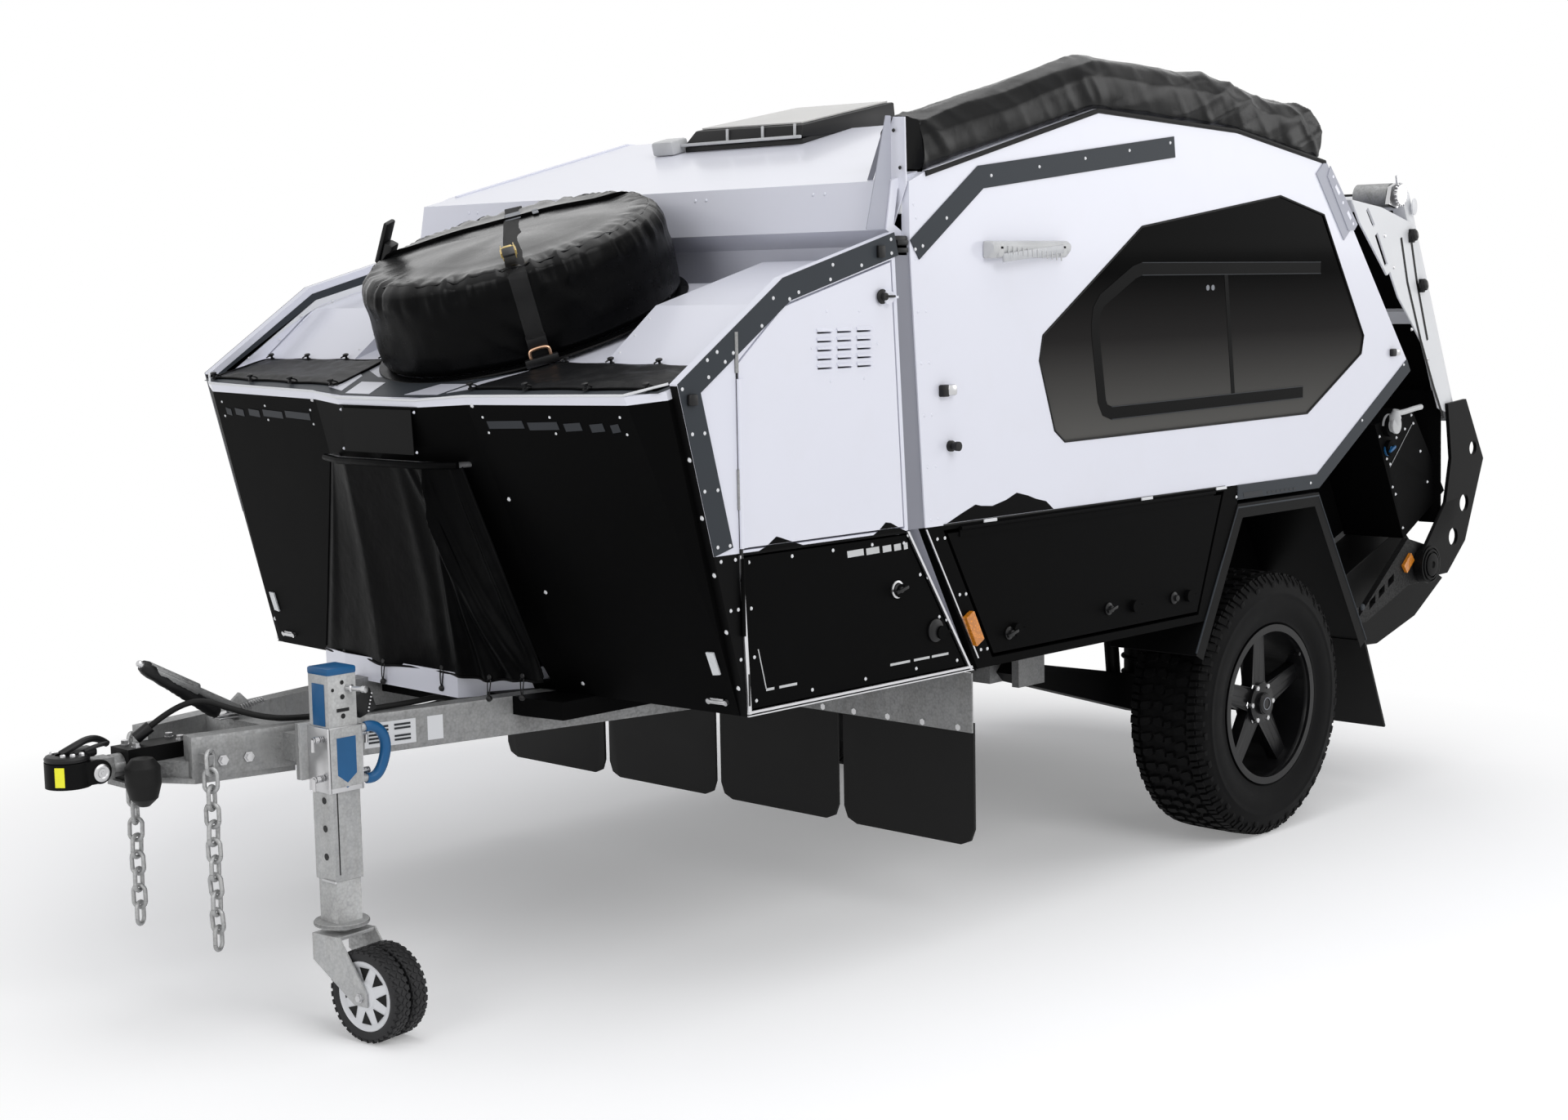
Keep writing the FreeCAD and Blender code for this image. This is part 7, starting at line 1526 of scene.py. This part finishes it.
def build_rail_details():
    """Bolts at the drawbar's nose and blank plates along its rails."""
    plates = bmesh.new()
    for side in (-1, 1):
        for x, z in ((3140, 640), (3080, 640)):
            y = rail_y(x) + 27
            lathe(plates, [(0, 0), (13, 0), (13, 3), (9, 3), (9, 11), (0, 12)],
                  seat(at(x, side * y, z), (0.2, side, 0)), 6)
    for x in (3176, 3290):
        for y in (-24, 24):
            lathe(plates, [(0, 0), (11, 0), (11, 3), (9, 3), (9, 11), (0, 12)], spot(x, y, 678), 6)
    piece("nose_bolts", plates, "plated")
    fields = [(2790, 2740, 668 - 9 * k) for k in range(5)] + [(2725, 2684, 668 - 9 * k) for k in (0, 1, 3, 4)]
    for name, slot, look, lift, thickness, spans in (
            ("rail_blank_plates", "alloy_white", "alloy", 25.6, 0.8, [(2800, 2670, 620, 678), (2640, 2600, 620, 678)]),
            ("rail_plate_fields", "steel_black", "slate", 26.8, 0.5,
             [(a, b, z - 2.4, z + 2.4) for a, b, z in fields])):
        bm = bmesh.new()
        for side in (1, -1):
            for x0, x1, z0, z1 in spans:
                row = [at(x, side * (rail_y(x) + lift), z) for x, z in ((x0, z0), (x1, z0), (x1, z1), (x0, z1))]
                slab(bm, row if side < 0 else row[::-1], thickness)
        piece(name, bm, look, 0, slot=slot)


def build_chains():
    """Two hanging safety chains of round oval links, each link turned against the one above."""
    source = [v.co for v in NODES["chains"].data.vertices]
    sizes = scene_sizes()
    link_long, link_wide, wire, count = sizes.chain_link, sizes.chain_width, sizes.chain_wire, sizes.chain_count
    bm = bmesh.new()
    for side in (1, -1):
        own = [p for p in source if p.y * side > 0]
        middle_x = (min(p.x for p in own) + max(p.x for p in own)) / 2
        middle_y = (min(p.y for p in own) + max(p.y for p in own)) / 2
        low, high = min(p.z for p in own), max(p.z for p in own)
        half = link_long / 2
        pitch = (high - low - half * 2) / (count - 1)
        for i in range(count):
            centre = Vector((middle_x, middle_y, high - half - pitch * i))
            sway = noise.noise(Vector((i * 1.7, side * 3.0, 0.5)))
            turn = turn_by(math.radians(28 + 90 * (i % 2) + sway * 24), "Z") @ \
                turn_by(math.radians(sway * 9), "Y")
            ring = []
            for k in range(25):
                angle = math.tau * k / 24
                straight = (link_long - link_wide) / 2 * (1 if math.sin(angle) > 0 else -1)
                bend = (link_wide - wire) / 2
                ring.append(centre + turn @ Vector((bend * math.cos(angle), 0, straight + bend * math.sin(angle))))
            tube(bm, ring, wire / 2 / MM, 2, False)
    made = piece("safety_chains", bm, "chain", 60, slot=slot_of("chains"))
    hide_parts("chains")


def build_softened():
    """Steel and panels with rounded edges in place of the plain solids."""
    for node, width in (("drawbar", 3.5), ("jockey_post", 3.0), ("jockey_leg", 3.0),
                        ("jockey_fork", 2.0), ("coupling_head", 3.0), ("coupling_block", 3.0), ("coupling_boot", 8.0),
                        ("coupling_swivel", 2.0), ("deck_arms", 2.5), ("deck_frame", 2.5), ("mudguards", 2.0),
                        ("stone_flaps", 1.2), ("suspension_arms", 3.0), ("galley_boxes", 3.0),
                        ("roof_hatch_frame", 2.5), ("chassis", 2.5), ("handbrake_lever", 2.0), ("rear_tray", 3.0),
                        ("marker_lamps", 2.5), ("awning_lamp", 6.0), ("trim_bands", 0.8), ("awning_brackets", 1.2)):
        soften(node, width)


def build_deck_gear():
    """The rear deck's winch gear, knobs, bosses, foot sheet, and dark strips of painted shade in the beam's gaps."""
    pale, metal, black = bmesh.new(), bmesh.new(), bmesh.new()
    for side in (1, -1):
        for x, z in ((-700, 1800), (-760, 1700), (-880, 1500), (-990, 1400)):
            disc(metal, at(x, side * 893, z), (0, side, 0), 6, 4, 10, 0.7)
    for x, z in ((-860, 1800), (-930, 1640)):
        lathe(black, [(0, 0), (14, 0), (14, 8), (20, 10), (20, 20), (12, 26), (0, 26)],
              seat(at(x, 893, z), (-0.3, 1, 0.2)), 10)
        brick(black, spot(x, 900, z), (16, 20, 44), 4)
    side_plate(metal, [(-800, 1968), (-760, 1955), (-745, 1900), (-800, 1888), (-836, 1930)], 1, -72, 14)
    lathe(metal, [(0, 0), (34, 0), (34, 4), (14, 6), (14, 26), (32, 28), (32, 32), (0, 32)],
          seat(at(-798, 866, 1930), (0, 1, 0)), 40)
    for i in range(18):
        turn = seat(at(-798, 894, 1930), (0, 1, 0)) @ turn_by(math.tau * i / 18,
            "Z") @ shift(0.035, 0, 0)
        brick(metal, turn, (8, 5, 6), 1)
    brick(metal, spot(-790, 885, 1962) @ turn_by(0.2, "Y"), (7, 7, 60), 2)
    piece("deck_winch_gear", metal, "plated", body="rear_deck")
    piece("deck_knobs", black, "plastic", body="rear_deck")
    lathe(pale, [(0, 0), (26, 0), (27, 5), (24, 7), (11, 9), (0, 9)], seat(at(-880, 893, 1893), (-0.25, 1, 0)), 36)
    piece("deck_strap_disc", pale, "alloy", body="rear_deck")
    for side in (1, -1):
        boss = bmesh.new()
        lathe(boss, [(0, 0), (62, 0), (62, 6), (56, 7), (56, 3), (50, 3), (50, 9), (44, 10), (44, 5), (38, 5),
                     (38, 12), (30, 14), (12, 14), (10, 10), (0, 10)],
              wall_seat(-1000, 905, 722, side), 56)
        piece("deck_boss_" + ("left" if side > 0 else "right"), boss, "steel", body="rear_deck", slot="steel_black")
    sheet = bmesh.new()
    slab(sheet, [at(-1092, -886, 1292), at(-1092, 886, 1292), at(-1104, 886, 850), at(-1104, 806, 850),
                 at(-1099.5, 806, 1015), at(-1099.5, -806, 1015), at(-1104, -806, 850), at(-1104, -886, 850)], 4)
    piece("deck_foot_sheet", sheet, "black", 20, "rear_deck")
    # painted shade: dark strips on the beam's outer face stand for the shade seen in its gaps
    lines = bmesh.new()
    for side in (1, -1):
        for line in ([(-804, 1794), (-848, 1652), (-939, 1465), (-1030, 1307), (-1100, 1200)],
                     [(-868, 1790), (-910, 1651), (-985, 1462)]):
            ribbon(lines, line, 11, side * 893.4, 0.8)
    piece("deck_beam_gap_painted_shade", lines, "rubber", 0, "rear_deck")


def build_galley():
    """Rivets, lines, filler cap and hand pump on the galley boxes."""
    dots, cap, pump, line = bmesh.new(), bmesh.new(), bmesh.new(), bmesh.new()
    for side in (1, -1):
        for x, z in ((-946, 1218), (-905, 1175), (-850, 1150), (-790, 1085), (-742, 1160), (-1010, 1095), (-830, 990),
                     (-850, 965), (-1060, 990), (-960, 1190), (-812, 1066), (-900, 850)):
            disc(dots, at(x, side * 860, z), (0, side, 0), 5, 3, 8, 0.5)
        side_plate(line, [(-812, 1058), (-808, 1056), (-946, 1186), (-950, 1188)], side, -79, 0.8)
    piece("galley_rivets", dots, "alloy", 40)
    piece("galley_lines", line, "grey_plastic", 0)
    lathe(cap, [(0, 0), (23, 0), (23, 5), (18, 8), (18, 13), (0, 15)], seat(at(-794, 860, 1117), (0, 1, 0)), 30)
    brick(cap, seat(at(-794, 878, 1117), (0, 1, 0)) @ turn_by(0.4, "Z"), (40, 10, 10), 4)
    piece("galley_filler_cap", cap, "blue")
    base = at(-790, 862, 1195)
    lathe(pump, [(0, 0), (36, 0), (36, 7), (24, 10), (22, 24), (28, 27), (28, 34), (17, 38), (0, 38)],
          seat(base, (0, 1, 0)), 36)
    lathe(pump, [(0, 0), (20, 0), (20, 22), (15, 30), (11, 44), (0, 46)], seat(at(-790, 884, 1202), (0.1, 0.25, 1)),
          28)
    tube(pump, [at(-796, 890, 1232), at(-840, 898, 1236), at(-900, 898, 1244), at(-942, 896, 1246)], 9, 4)
    piece("galley_hand_pump", pump, "grey_plastic")


def build_tail_edges():
    """The mudguards' edges and the hatch brackets with their holes."""
    edges = bmesh.new()
    for side in (1, -1):
        tube(edges, [at(-527, side * 942, 532), at(-233, side * 942, 1014), at(215, side * 942, 1014),
                     at(428, side * 942, 612)], 3, 1, False)
        disc(edges, at(-498, side * 944, 640), (0, side, 0), 11, 5, 20, 0.8)
    piece("mudguard_edges", edges, "band", 30, slot="steel_black")
    plate = bmesh.new()
    for side in (1, -1):
        side_plate(plate, [(-277, 2007), (-439, 1833), (-420, 1815), (-385, 1815), (-262, 1975)], side, 4, 3)
    piece("hatch_brackets", plate, "pale", 0)
    holes = bmesh.new()
    for side in (1, -1):
        for x, z, length in ((-318, 1936, 34), (-388, 1860, 30)):
            place = spot(x, side * 947.4, z) @ turn_by(-math.radians(47), "Y")
            brick(holes, place, (length, 0.8, 12), 0.3)
        for x, z in ((-292, 1975), (-350, 1898), (-412, 1835)):
            disc(holes, at(x, side * 947, z), (0, side, 0), 5, 1, 12, 1.0)
    piece("hatch_bracket_holes", holes, "white", 0, slot="rubber_black")


def build_roof():
    """The roof hatch with its pane and ribs, the roof's seams and a small vent box."""
    low = [(1104, -424), (1104, 64), (694, 64), (640, -424)]
    foot = [at(x, y, 2098 + (1104 - x) * (0.122 if x > 892 else 0.09)) for x, y in low]
    head = [at(1100, -376, 2140), at(1100, 60, 2134), at(700, 60, 2214), at(640, -392, 2224)]
    lid = bmesh.new()
    rows = [[lid.verts.new(p) for p in ring] for ring in (foot, head)]
    for i in range(4):
        k = (i + 1) % 4
        lid.faces.new((rows[0][i], rows[0][k], rows[1][k], rows[1][i]))
    lid.faces.new(rows[1])
    lid.faces.new(rows[0][::-1])
    bmesh.ops.bevel(lid, geom=lid.edges[:], offset=0.006, segments=2, profile=0.5, affect="EDGES", material=-1)
    top = piece("roof_hatch_form", lid, "plastic", 30, "roof_lid", slot=slot_of("roof_hatch"))
    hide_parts("roof_hatch")
    pane = bmesh.new()
    middle = sum(head, Vector()) / 4
    slab(pane, [middle + (p - middle) * 0.93 + Vector((0, 0, 0.0015)) for p in head], 4)
    piece("roof_hatch_pane", pane, "hatch_pane", 0, "roof_lid")
    ribs = bmesh.new()
    for y in (-236, -92, 36):
        brick(ribs, spot(1106, y, 2121), (7, 7, 34), 1.5)
    brick(ribs, spot(1112, -180, 2100), (10, 488, 9), 2)
    piece("roof_hatch_ribs", ribs, "grey_plastic", 30, "roof_lid")
    seams = bmesh.new()
    for side in (1, -1):
        tube(seams, [at(1588, side * 905, 1960), at(892, side * 905, 2133), at(224, side * 905, 2102),
                     at(-254, side * 905, 2026)], 4, 2, False)
    piece("roof_seams", seams, "white", 40)
    box = bmesh.new()
    brick(box, spot(1115, -470, 2098) @ turn_by(math.radians(13.5), "Y"), (70, 90, 42), 8)
    piece("roof_pale_box", box, "grey_plastic")


def build_ears():
    """Strips inside the nose walls above the deck."""
    for word, side in SIDES.items():
        y = side * 914
        dark, pale = bmesh.new(), bmesh.new()
        line = [(2440, 1462), (2109, 1682), (1735, 1782)]
        low = [(2420, 1450), (2098, 1664), (1735, 1757)]
        foot = [(2400, 1478), (2088, 1648), (1735, 1742)]
        for made, a, b, t in ((dark, line, low, 1.0), (pale, low, foot, 2.0)):
            for i in range(2):
                corners = [at(a[i][0], y, a[i][1]), at(a[i + 1][0], y, a[i + 1][1]), at(b[i + 1][0], y, b[i + 1][1]),
                           at(b[i][0], y, b[i][1])]
                slab(made, corners if side < 0 else corners[::-1], t)
        piece("ear_strip_" + word, dark, "band", 0)
        piece("ear_flange_" + word, pale, "alloy", 0)


def build_underside():
    """Bolts of the stone flaps, and the brake cables below the floor."""
    bolts, lines = bmesh.new(), bmesh.new()
    for i in range(4):
        y = (i - 1.5) * 473
        for dy in (-180, -60, 60, 180):
            disc(bolts, at(1434, y + dy, 545), (1, 0, 0), 9, 5, 6, 1.0)
    piece("flap_bolts", bolts, "plated", 30)
    for side in (1, -1):
        tube(lines, [at(3000, side * 60, 612), at(2700, side * 150, 606), at(2100, side * 260, 600),
                     at(1500, side * 400, 596), at(900, side * 430, 592), at(300, side * 520, 470),
                     at(60, side * 600, 430)], 4, 2)
    piece("brake_cables", lines, "rubber", 40)


def build_lead():
    """The tow lead and the boot at its gland."""
    route = [(2437, 192, 678), (2495, 192, 678), (2562, 199, 712), (2650, 207, 710), (2790, 185, 707.6),
             (2930, 160, 708.6), (3010, 137, 716), (3080, 102, 742), (3140, 60, 772), (3196, 24, 752),
             (3238, 2, 716.3)]
    curve = bpy.data.curves.new("tow_lead_cable", "CURVE")
    curve.dimensions = "3D"
    spline = curve.splines.new("NURBS")
    spline.points.add(len(route) - 1)
    for target, p in zip(spline.points, route):
        target.co = (*at(*p), 1.0)
    spline.order_u = 3
    spline.use_endpoint_u = True
    spline.resolution_u = 24
    curve.bevel_depth = 0.007
    curve.bevel_resolution = 5
    curve.use_fill_caps = True
    lead = bpy.data.objects.new("tow_lead_cable", curve)
    bpy.context.scene.collection.objects.link(lead)
    curve.materials.append(M["rubber"])
    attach(lead, "trailer")
    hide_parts("tow_lead")
    boots = bmesh.new()
    way = (at(*route[1]) - at(*route[0])).normalized()
    lathe(boots, [(7.2, 0), (12, 0), (12, 6), (10, 8), (11, 12), (9.4, 15), (10.4, 19), (8.8, 22), (9.8, 26),
                  (7.6, 32), (7.2, 34)],
          seat(at(*route[0]), way), 28)
    boot = piece("tow_lead_boot", boots, "plastic")
    fine = curve_points([at(*p) for p in route])
    total = sum((b - a).length for a, b in zip(fine, fine[1:]))
    tuple(at(*route[0]))


def curve_points(points):
    """Points on the clamped quadratic curve through control points."""
    count = len(points)
    knots = [0.0, 0.0] + [float(i) for i in range(count - 1)] + [float(count - 2)] * 2

    def at_u(u):
        span = min(int(u), count - 3)
        k = span + 2
        d = [points[k - 2 + j].copy() for j in range(3)]
        for r in (1, 2):
            for j in range(2, r - 1, -1):
                i = k - 2 + j
                base = knots[i + 3 - r] - knots[i]
                share = (u - knots[i]) / base if base else 0.0
                d[j] = d[j - 1].lerp(d[j], share)
        return d[2]
    steps = 40 * (count - 2)
    return [at_u((count - 2) * s / steps) for s in range(steps + 1)]


def assign_looks():
    """Gives each plain node its finish."""
    for node, look in NODE_LOOKS.items():
        mesh_object = NODES[node]
        mesh_object.data.materials.clear()
        mesh_object.data.materials.append(M[look])


# Studio lights: name, place, aim, size and power
LIGHTS = [
    ("key", (2.0, 7.0, 5.5), (0.3, 0.5, 0.9), (5.0, 3.5), 181.0),
    ("front", (7.5, 1.5, 3.6), (1.0, 0.0, 0.9), (3.5, 3.0), 82.0),
    ("top", (-0.5, 0.5, 6.5), (0.0, 0.0, 1.0), (7.0, 5.0), 171.0),
    ("rear", (-6.0, 4.5, 3.0), (-0.6, 0.6, 1.0), (3.0, 2.5), 54.0),
]
# The photograph's camera: place in metres, yaw, pitch and roll in degrees, and lens and sensor in millimetres
CAMERA_PLACE = (4.91855, 4.64135, 1.69327)
CAMERA_TURN = (223.8008, -6.85, -1.074)
CAMERA_LENS = 53.286
CAMERA_SENSOR = 36.0
FLOOR_HALF = 30.0


def build_floor(scene):
    """A pale floor that fades into the bright surroundings."""
    s = Shade("studio floor")
    axes = s.axes()
    away = ((axes[0] + 0.1) * (axes[0] + 0.1) + axes[1] * axes[1]) ** 0.5
    fade = ((away - 2.0) / 1.4).clamped()
    base = s.noise(2.0, 2.0)
    lit = s.node("ShaderNodeBsdfDiffuse", None, {0: s.mix(base, (0.93, 0.93, 0.935), (0.95, 0.95, 0.955))})[0]
    bright = s.node("ShaderNodeEmission", None, {0: (1.0, 1.0, 1.0), 1: 1.0})[0]
    glow = s.node("ShaderNodeEmission", None, {0: (1.0, 1.0, 1.0), 1: 0.22})[0]
    near = s.node("ShaderNodeAddShader", None, {0: lit, 1: glow})[0]
    mixed = s.node("ShaderNodeMixShader", None, {0: fade, 1: near, 2: bright})[0]
    s.node("ShaderNodeOutputMaterial", None, {0: mixed})
    bm = bmesh.new()
    bmesh.ops.create_grid(bm, x_segments=1, y_segments=1, size=FLOOR_HALF)
    mesh = bpy.data.meshes.new("studio_floor")
    bm.to_mesh(mesh)
    bm.free()
    floor = bpy.data.objects.new("studio_floor", mesh)
    floor.location.z = -0.0005
    scene.collection.objects.link(floor)
    mesh.materials.append(s.material)


def build_world(scene):
    """White to the camera, and softer for the light it gives."""
    world = bpy.data.worlds.new("studio")
    world.use_nodes = True
    w = Shade("studio", world.node_tree)
    lit = w.node("ShaderNodeBackground", None, {0: (0.95, 0.96, 1.0), 1: 0.36})[0]
    seen = w.node("ShaderNodeBackground", None, {0: (1.0, 1.0, 1.0), 1: 1.0})[0]
    ray = w.node("ShaderNodeLightPath")
    mixed = w.node("ShaderNodeMixShader", None, {0: (ray[0] + ray[3] + ray[6]).clamped(), 1: lit, 2: seen})[0]
    w.node("ShaderNodeOutputWorld", None, {0: mixed})
    scene.world = world


def build_lights(scene):
    for name, place, aim, size, power in LIGHTS:
        light = bpy.data.lights.new(name, "AREA")
        light.shape = "RECTANGLE"
        light.size, light.size_y = size
        light.energy = power
        holder = bpy.data.objects.new(name, light)
        holder.location = place
        holder.rotation_euler = (Vector(aim) - Vector(place)).to_track_quat("-Z", "Y").to_euler()
        scene.collection.objects.link(holder)


def build_camera(scene):
    camera = bpy.data.cameras.new("photo_camera")
    camera.lens = CAMERA_LENS
    camera.sensor_width = CAMERA_SENSOR
    holder = bpy.data.objects.new("photo_camera", camera)
    yaw, pitch, roll = (math.radians(angle) for angle in CAMERA_TURN)
    forward = Vector((math.cos(yaw) * math.cos(pitch), math.sin(yaw) * math.cos(pitch), math.sin(pitch)))
    right = forward.cross(Vector((0, 0, 1))).normalized()
    up = right.cross(forward)
    r = math.cos(roll) * right + math.sin(roll) * up
    u = -math.sin(roll) * right + math.cos(roll) * up
    turn = Matrix((r, u, -forward)).transposed().to_4x4()
    holder.matrix_world = Matrix.Translation(CAMERA_PLACE) @ turn
    scene.collection.objects.link(holder)
    scene.camera = holder


def build_stage():
    """Pale floor, soft studio light and the photo's camera."""
    scene = bpy.context.scene
    scene.view_settings.view_transform = "Standard"
    for build in (build_floor, build_world, build_lights, build_camera):
        build(scene)


class TRAILER_OT_stage(bpy.types.Operator):
    """Add the pale floor, the studio lights and the photograph's camera"""
    bl_idname = "trailer.stage"
    bl_label = "Stage, lights and camera"

    def execute(self, context):
        build_stage()
        return {"FINISHED"}


class TRAILER_OT_materials(bpy.types.Operator):
    """Make the finishes and give each plain part its own"""
    bl_idname = "trailer.materials"
    bl_label = "Finishes"

    def execute(self, context):
        make_materials()
        assign_looks()
        return {"FINISHED"}


class TRAILER_OT_tow_lead(bpy.types.Operator):
    """Add the tow lead with its boot"""
    bl_idname = "trailer.tow_lead"
    bl_label = "Tow lead"

    def execute(self, context):
        build_lead()
        return {"FINISHED"}


class TRAILER_OT_softened_parts(bpy.types.Operator):
    """Replace the sharp solids by the same forms with rounded edges"""
    bl_idname = "trailer.softened_parts"
    bl_label = "Rounded parts"

    def execute(self, context):
        build_softened()
        return {"FINISHED"}


class TRAILER_OT_safety_chains(bpy.types.Operator):
    """Replace the safety chains by round oval links"""
    bl_idname = "trailer.safety_chains"
    bl_label = "Safety chains"

    def execute(self, context):
        build_chains()
        return {"FINISHED"}


class TRAILER_OT_rivets(bpy.types.Operator):
    """Add the rivets of bands, doors and panels"""
    bl_idname = "trailer.rivets"
    bl_label = "Rivets"

    def execute(self, context):
        build_rivets()
        return {"FINISHED"}


class TRAILER_OT_trims(bpy.types.Operator):
    """Add edge strips, dashes, reflectors and blank plates"""
    bl_idname = "trailer.trims"
    bl_label = "Trims"

    def execute(self, context):
        build_trims()
        build_nose_trims()
        return {"FINISHED"}


class TRAILER_OT_hardware(bpy.types.Operator):
    """Add knobs, locks, hinges and wall fittings"""
    bl_idname = "trailer.hardware"
    bl_label = "Door and wall fittings"

    def execute(self, context):
        build_hardware()
        return {"FINISHED"}


class TRAILER_OT_front_cover(bpy.types.Operator):
    """Hang the soft cover before the niche"""
    bl_idname = "trailer.front_cover"
    bl_label = "Front cover"

    def execute(self, context):
        build_front_cover()
        return {"FINISHED"}


class TRAILER_OT_pan_face(bpy.types.Operator):
    """Add the white face below the hanging cover"""
    bl_idname = "trailer.pan_face"
    bl_label = "Pan face"

    def execute(self, context):
        build_pan_face()
        return {"FINISHED"}


class TRAILER_OT_shelf_covers(bpy.types.Operator):
    """Stretch the two small covers on the front shelf"""
    bl_idname = "trailer.shelf_covers"
    bl_label = "Shelf covers"

    def execute(self, context):
        build_deck_covers()
        return {"FINISHED"}


class TRAILER_OT_spare_cover(bpy.types.Operator):
    """Add the spare wheel's cover with its straps"""
    bl_idname = "trailer.spare_cover"
    bl_label = "Spare wheel cover"

    def execute(self, context):
        build_spare_cover()
        return {"FINISHED"}


class TRAILER_OT_awning(bpy.types.Operator):
    """Add the rolled awning's bag, track and lamp details"""
    bl_idname = "trailer.awning"
    bl_label = "Awning bag and lamp"

    def execute(self, context):
        build_awning()
        return {"FINISHED"}


class TRAILER_OT_gussets(bpy.types.Operator):
    """Add the white plate ahead of the awning bag"""
    bl_idname = "trailer.gussets"
    bl_label = "Awning gusset"

    def execute(self, context):
        build_gussets()
        return {"FINISHED"}


class TRAILER_OT_windows(bpy.types.Operator):
    """Add window seals, inner frames and latches"""
    bl_idname = "trailer.windows"
    bl_label = "Windows"

    def execute(self, context):
        build_windows()
        return {"FINISHED"}


class TRAILER_OT_wheels(bpy.types.Operator):
    """Add lugged tyres and wheel details"""
    bl_idname = "trailer.wheels"
    bl_label = "Road wheels"

    def execute(self, context):
        build_wheels()
        return {"FINISHED"}


class TRAILER_OT_jockey_wheel(bpy.types.Operator):
    """Add the jockey wheel's tyres, rims, handle and plates"""
    bl_idname = "trailer.jockey_wheel"
    bl_label = "Jockey wheel"

    def execute(self, context):
        build_jockey_wheels()
        build_jockey_post()
        return {"FINISHED"}


class TRAILER_OT_coupling(bpy.types.Operator):
    """Add the coupling's casting, lever grip, bolts and blank plates"""
    bl_idname = "trailer.coupling"
    bl_label = "Coupling"

    def execute(self, context):
        build_receiver()
        build_lever()
        build_rail_details()
        return {"FINISHED"}


class TRAILER_OT_rear_deck(bpy.types.Operator):
    """Add the winch, bosses, pump, cap and rivets at the tail"""
    bl_idname = "trailer.rear_deck"
    bl_label = "Rear deck and galley"

    def execute(self, context):
        build_deck_gear()
        build_galley()
        build_tail_edges()
        return {"FINISHED"}


class TRAILER_OT_roof(bpy.types.Operator):
    """Add the roof hatch and the roof's seams"""
    bl_idname = "trailer.roof"
    bl_label = "Roof details"

    def execute(self, context):
        build_roof()
        return {"FINISHED"}


class TRAILER_OT_nose_walls(bpy.types.Operator):
    """Add the strips inside the nose walls"""
    bl_idname = "trailer.nose_walls"
    bl_label = "Nose wall strips"

    def execute(self, context):
        build_ears()
        return {"FINISHED"}


class TRAILER_OT_underside(bpy.types.Operator):
    """Add the stone flaps' bolts and the brake cables"""
    bl_idname = "trailer.underside"
    bl_label = "Underside"

    def execute(self, context):
        build_underside()
        return {"FINISHED"}


class TRAILER_PT_sidebar(bpy.types.Panel):
    """Sizes, colours and building steps of the trailer"""
    bl_idname = "TRAILER_PT_sidebar"
    bl_label = "Teardrop trailer"
    bl_space_type = "VIEW_3D"
    bl_region_type = "UI"
    bl_category = "Trailer"

    def draw(self, context):
        for group in (context.scene.trailer_sizes, context.scene.trailer_colours):
            box = self.layout.box()
            for key in group.bl_rna.properties.keys():
                if key not in ("rna_type", "name"):
                    box.prop(group, key)
        for step in STEPS:
            self.layout.operator(step.bl_idname)


STEPS = [
    TRAILER_OT_stage, TRAILER_OT_materials, TRAILER_OT_tow_lead, TRAILER_OT_softened_parts,
    TRAILER_OT_safety_chains, TRAILER_OT_rivets, TRAILER_OT_trims, TRAILER_OT_hardware, TRAILER_OT_front_cover,
    TRAILER_OT_pan_face, TRAILER_OT_shelf_covers, TRAILER_OT_spare_cover, TRAILER_OT_awning, TRAILER_OT_gussets,
    TRAILER_OT_windows, TRAILER_OT_wheels, TRAILER_OT_jockey_wheel, TRAILER_OT_coupling, TRAILER_OT_rear_deck,
    TRAILER_OT_roof, TRAILER_OT_nose_walls, TRAILER_OT_underside,
]
CLASSES = [TrailerSizes, TrailerColours, TRAILER_PT_sidebar] + STEPS


def register():
    for made in CLASSES:
        bpy.utils.register_class(made)
    bpy.types.Scene.trailer_sizes = PointerProperty(type=TrailerSizes)
    bpy.types.Scene.trailer_colours = PointerProperty(type=TrailerColours)


def unregister():
    del bpy.types.Scene.trailer_colours
    del bpy.types.Scene.trailer_sizes
    for made in reversed(CLASSES):
        bpy.utils.unregister_class(made)


def main():
    register()
    for step in STEPS:
        getattr(bpy.ops.trailer, step.bl_idname.split(".")[1])()


if __name__ == "__main__":
    main()
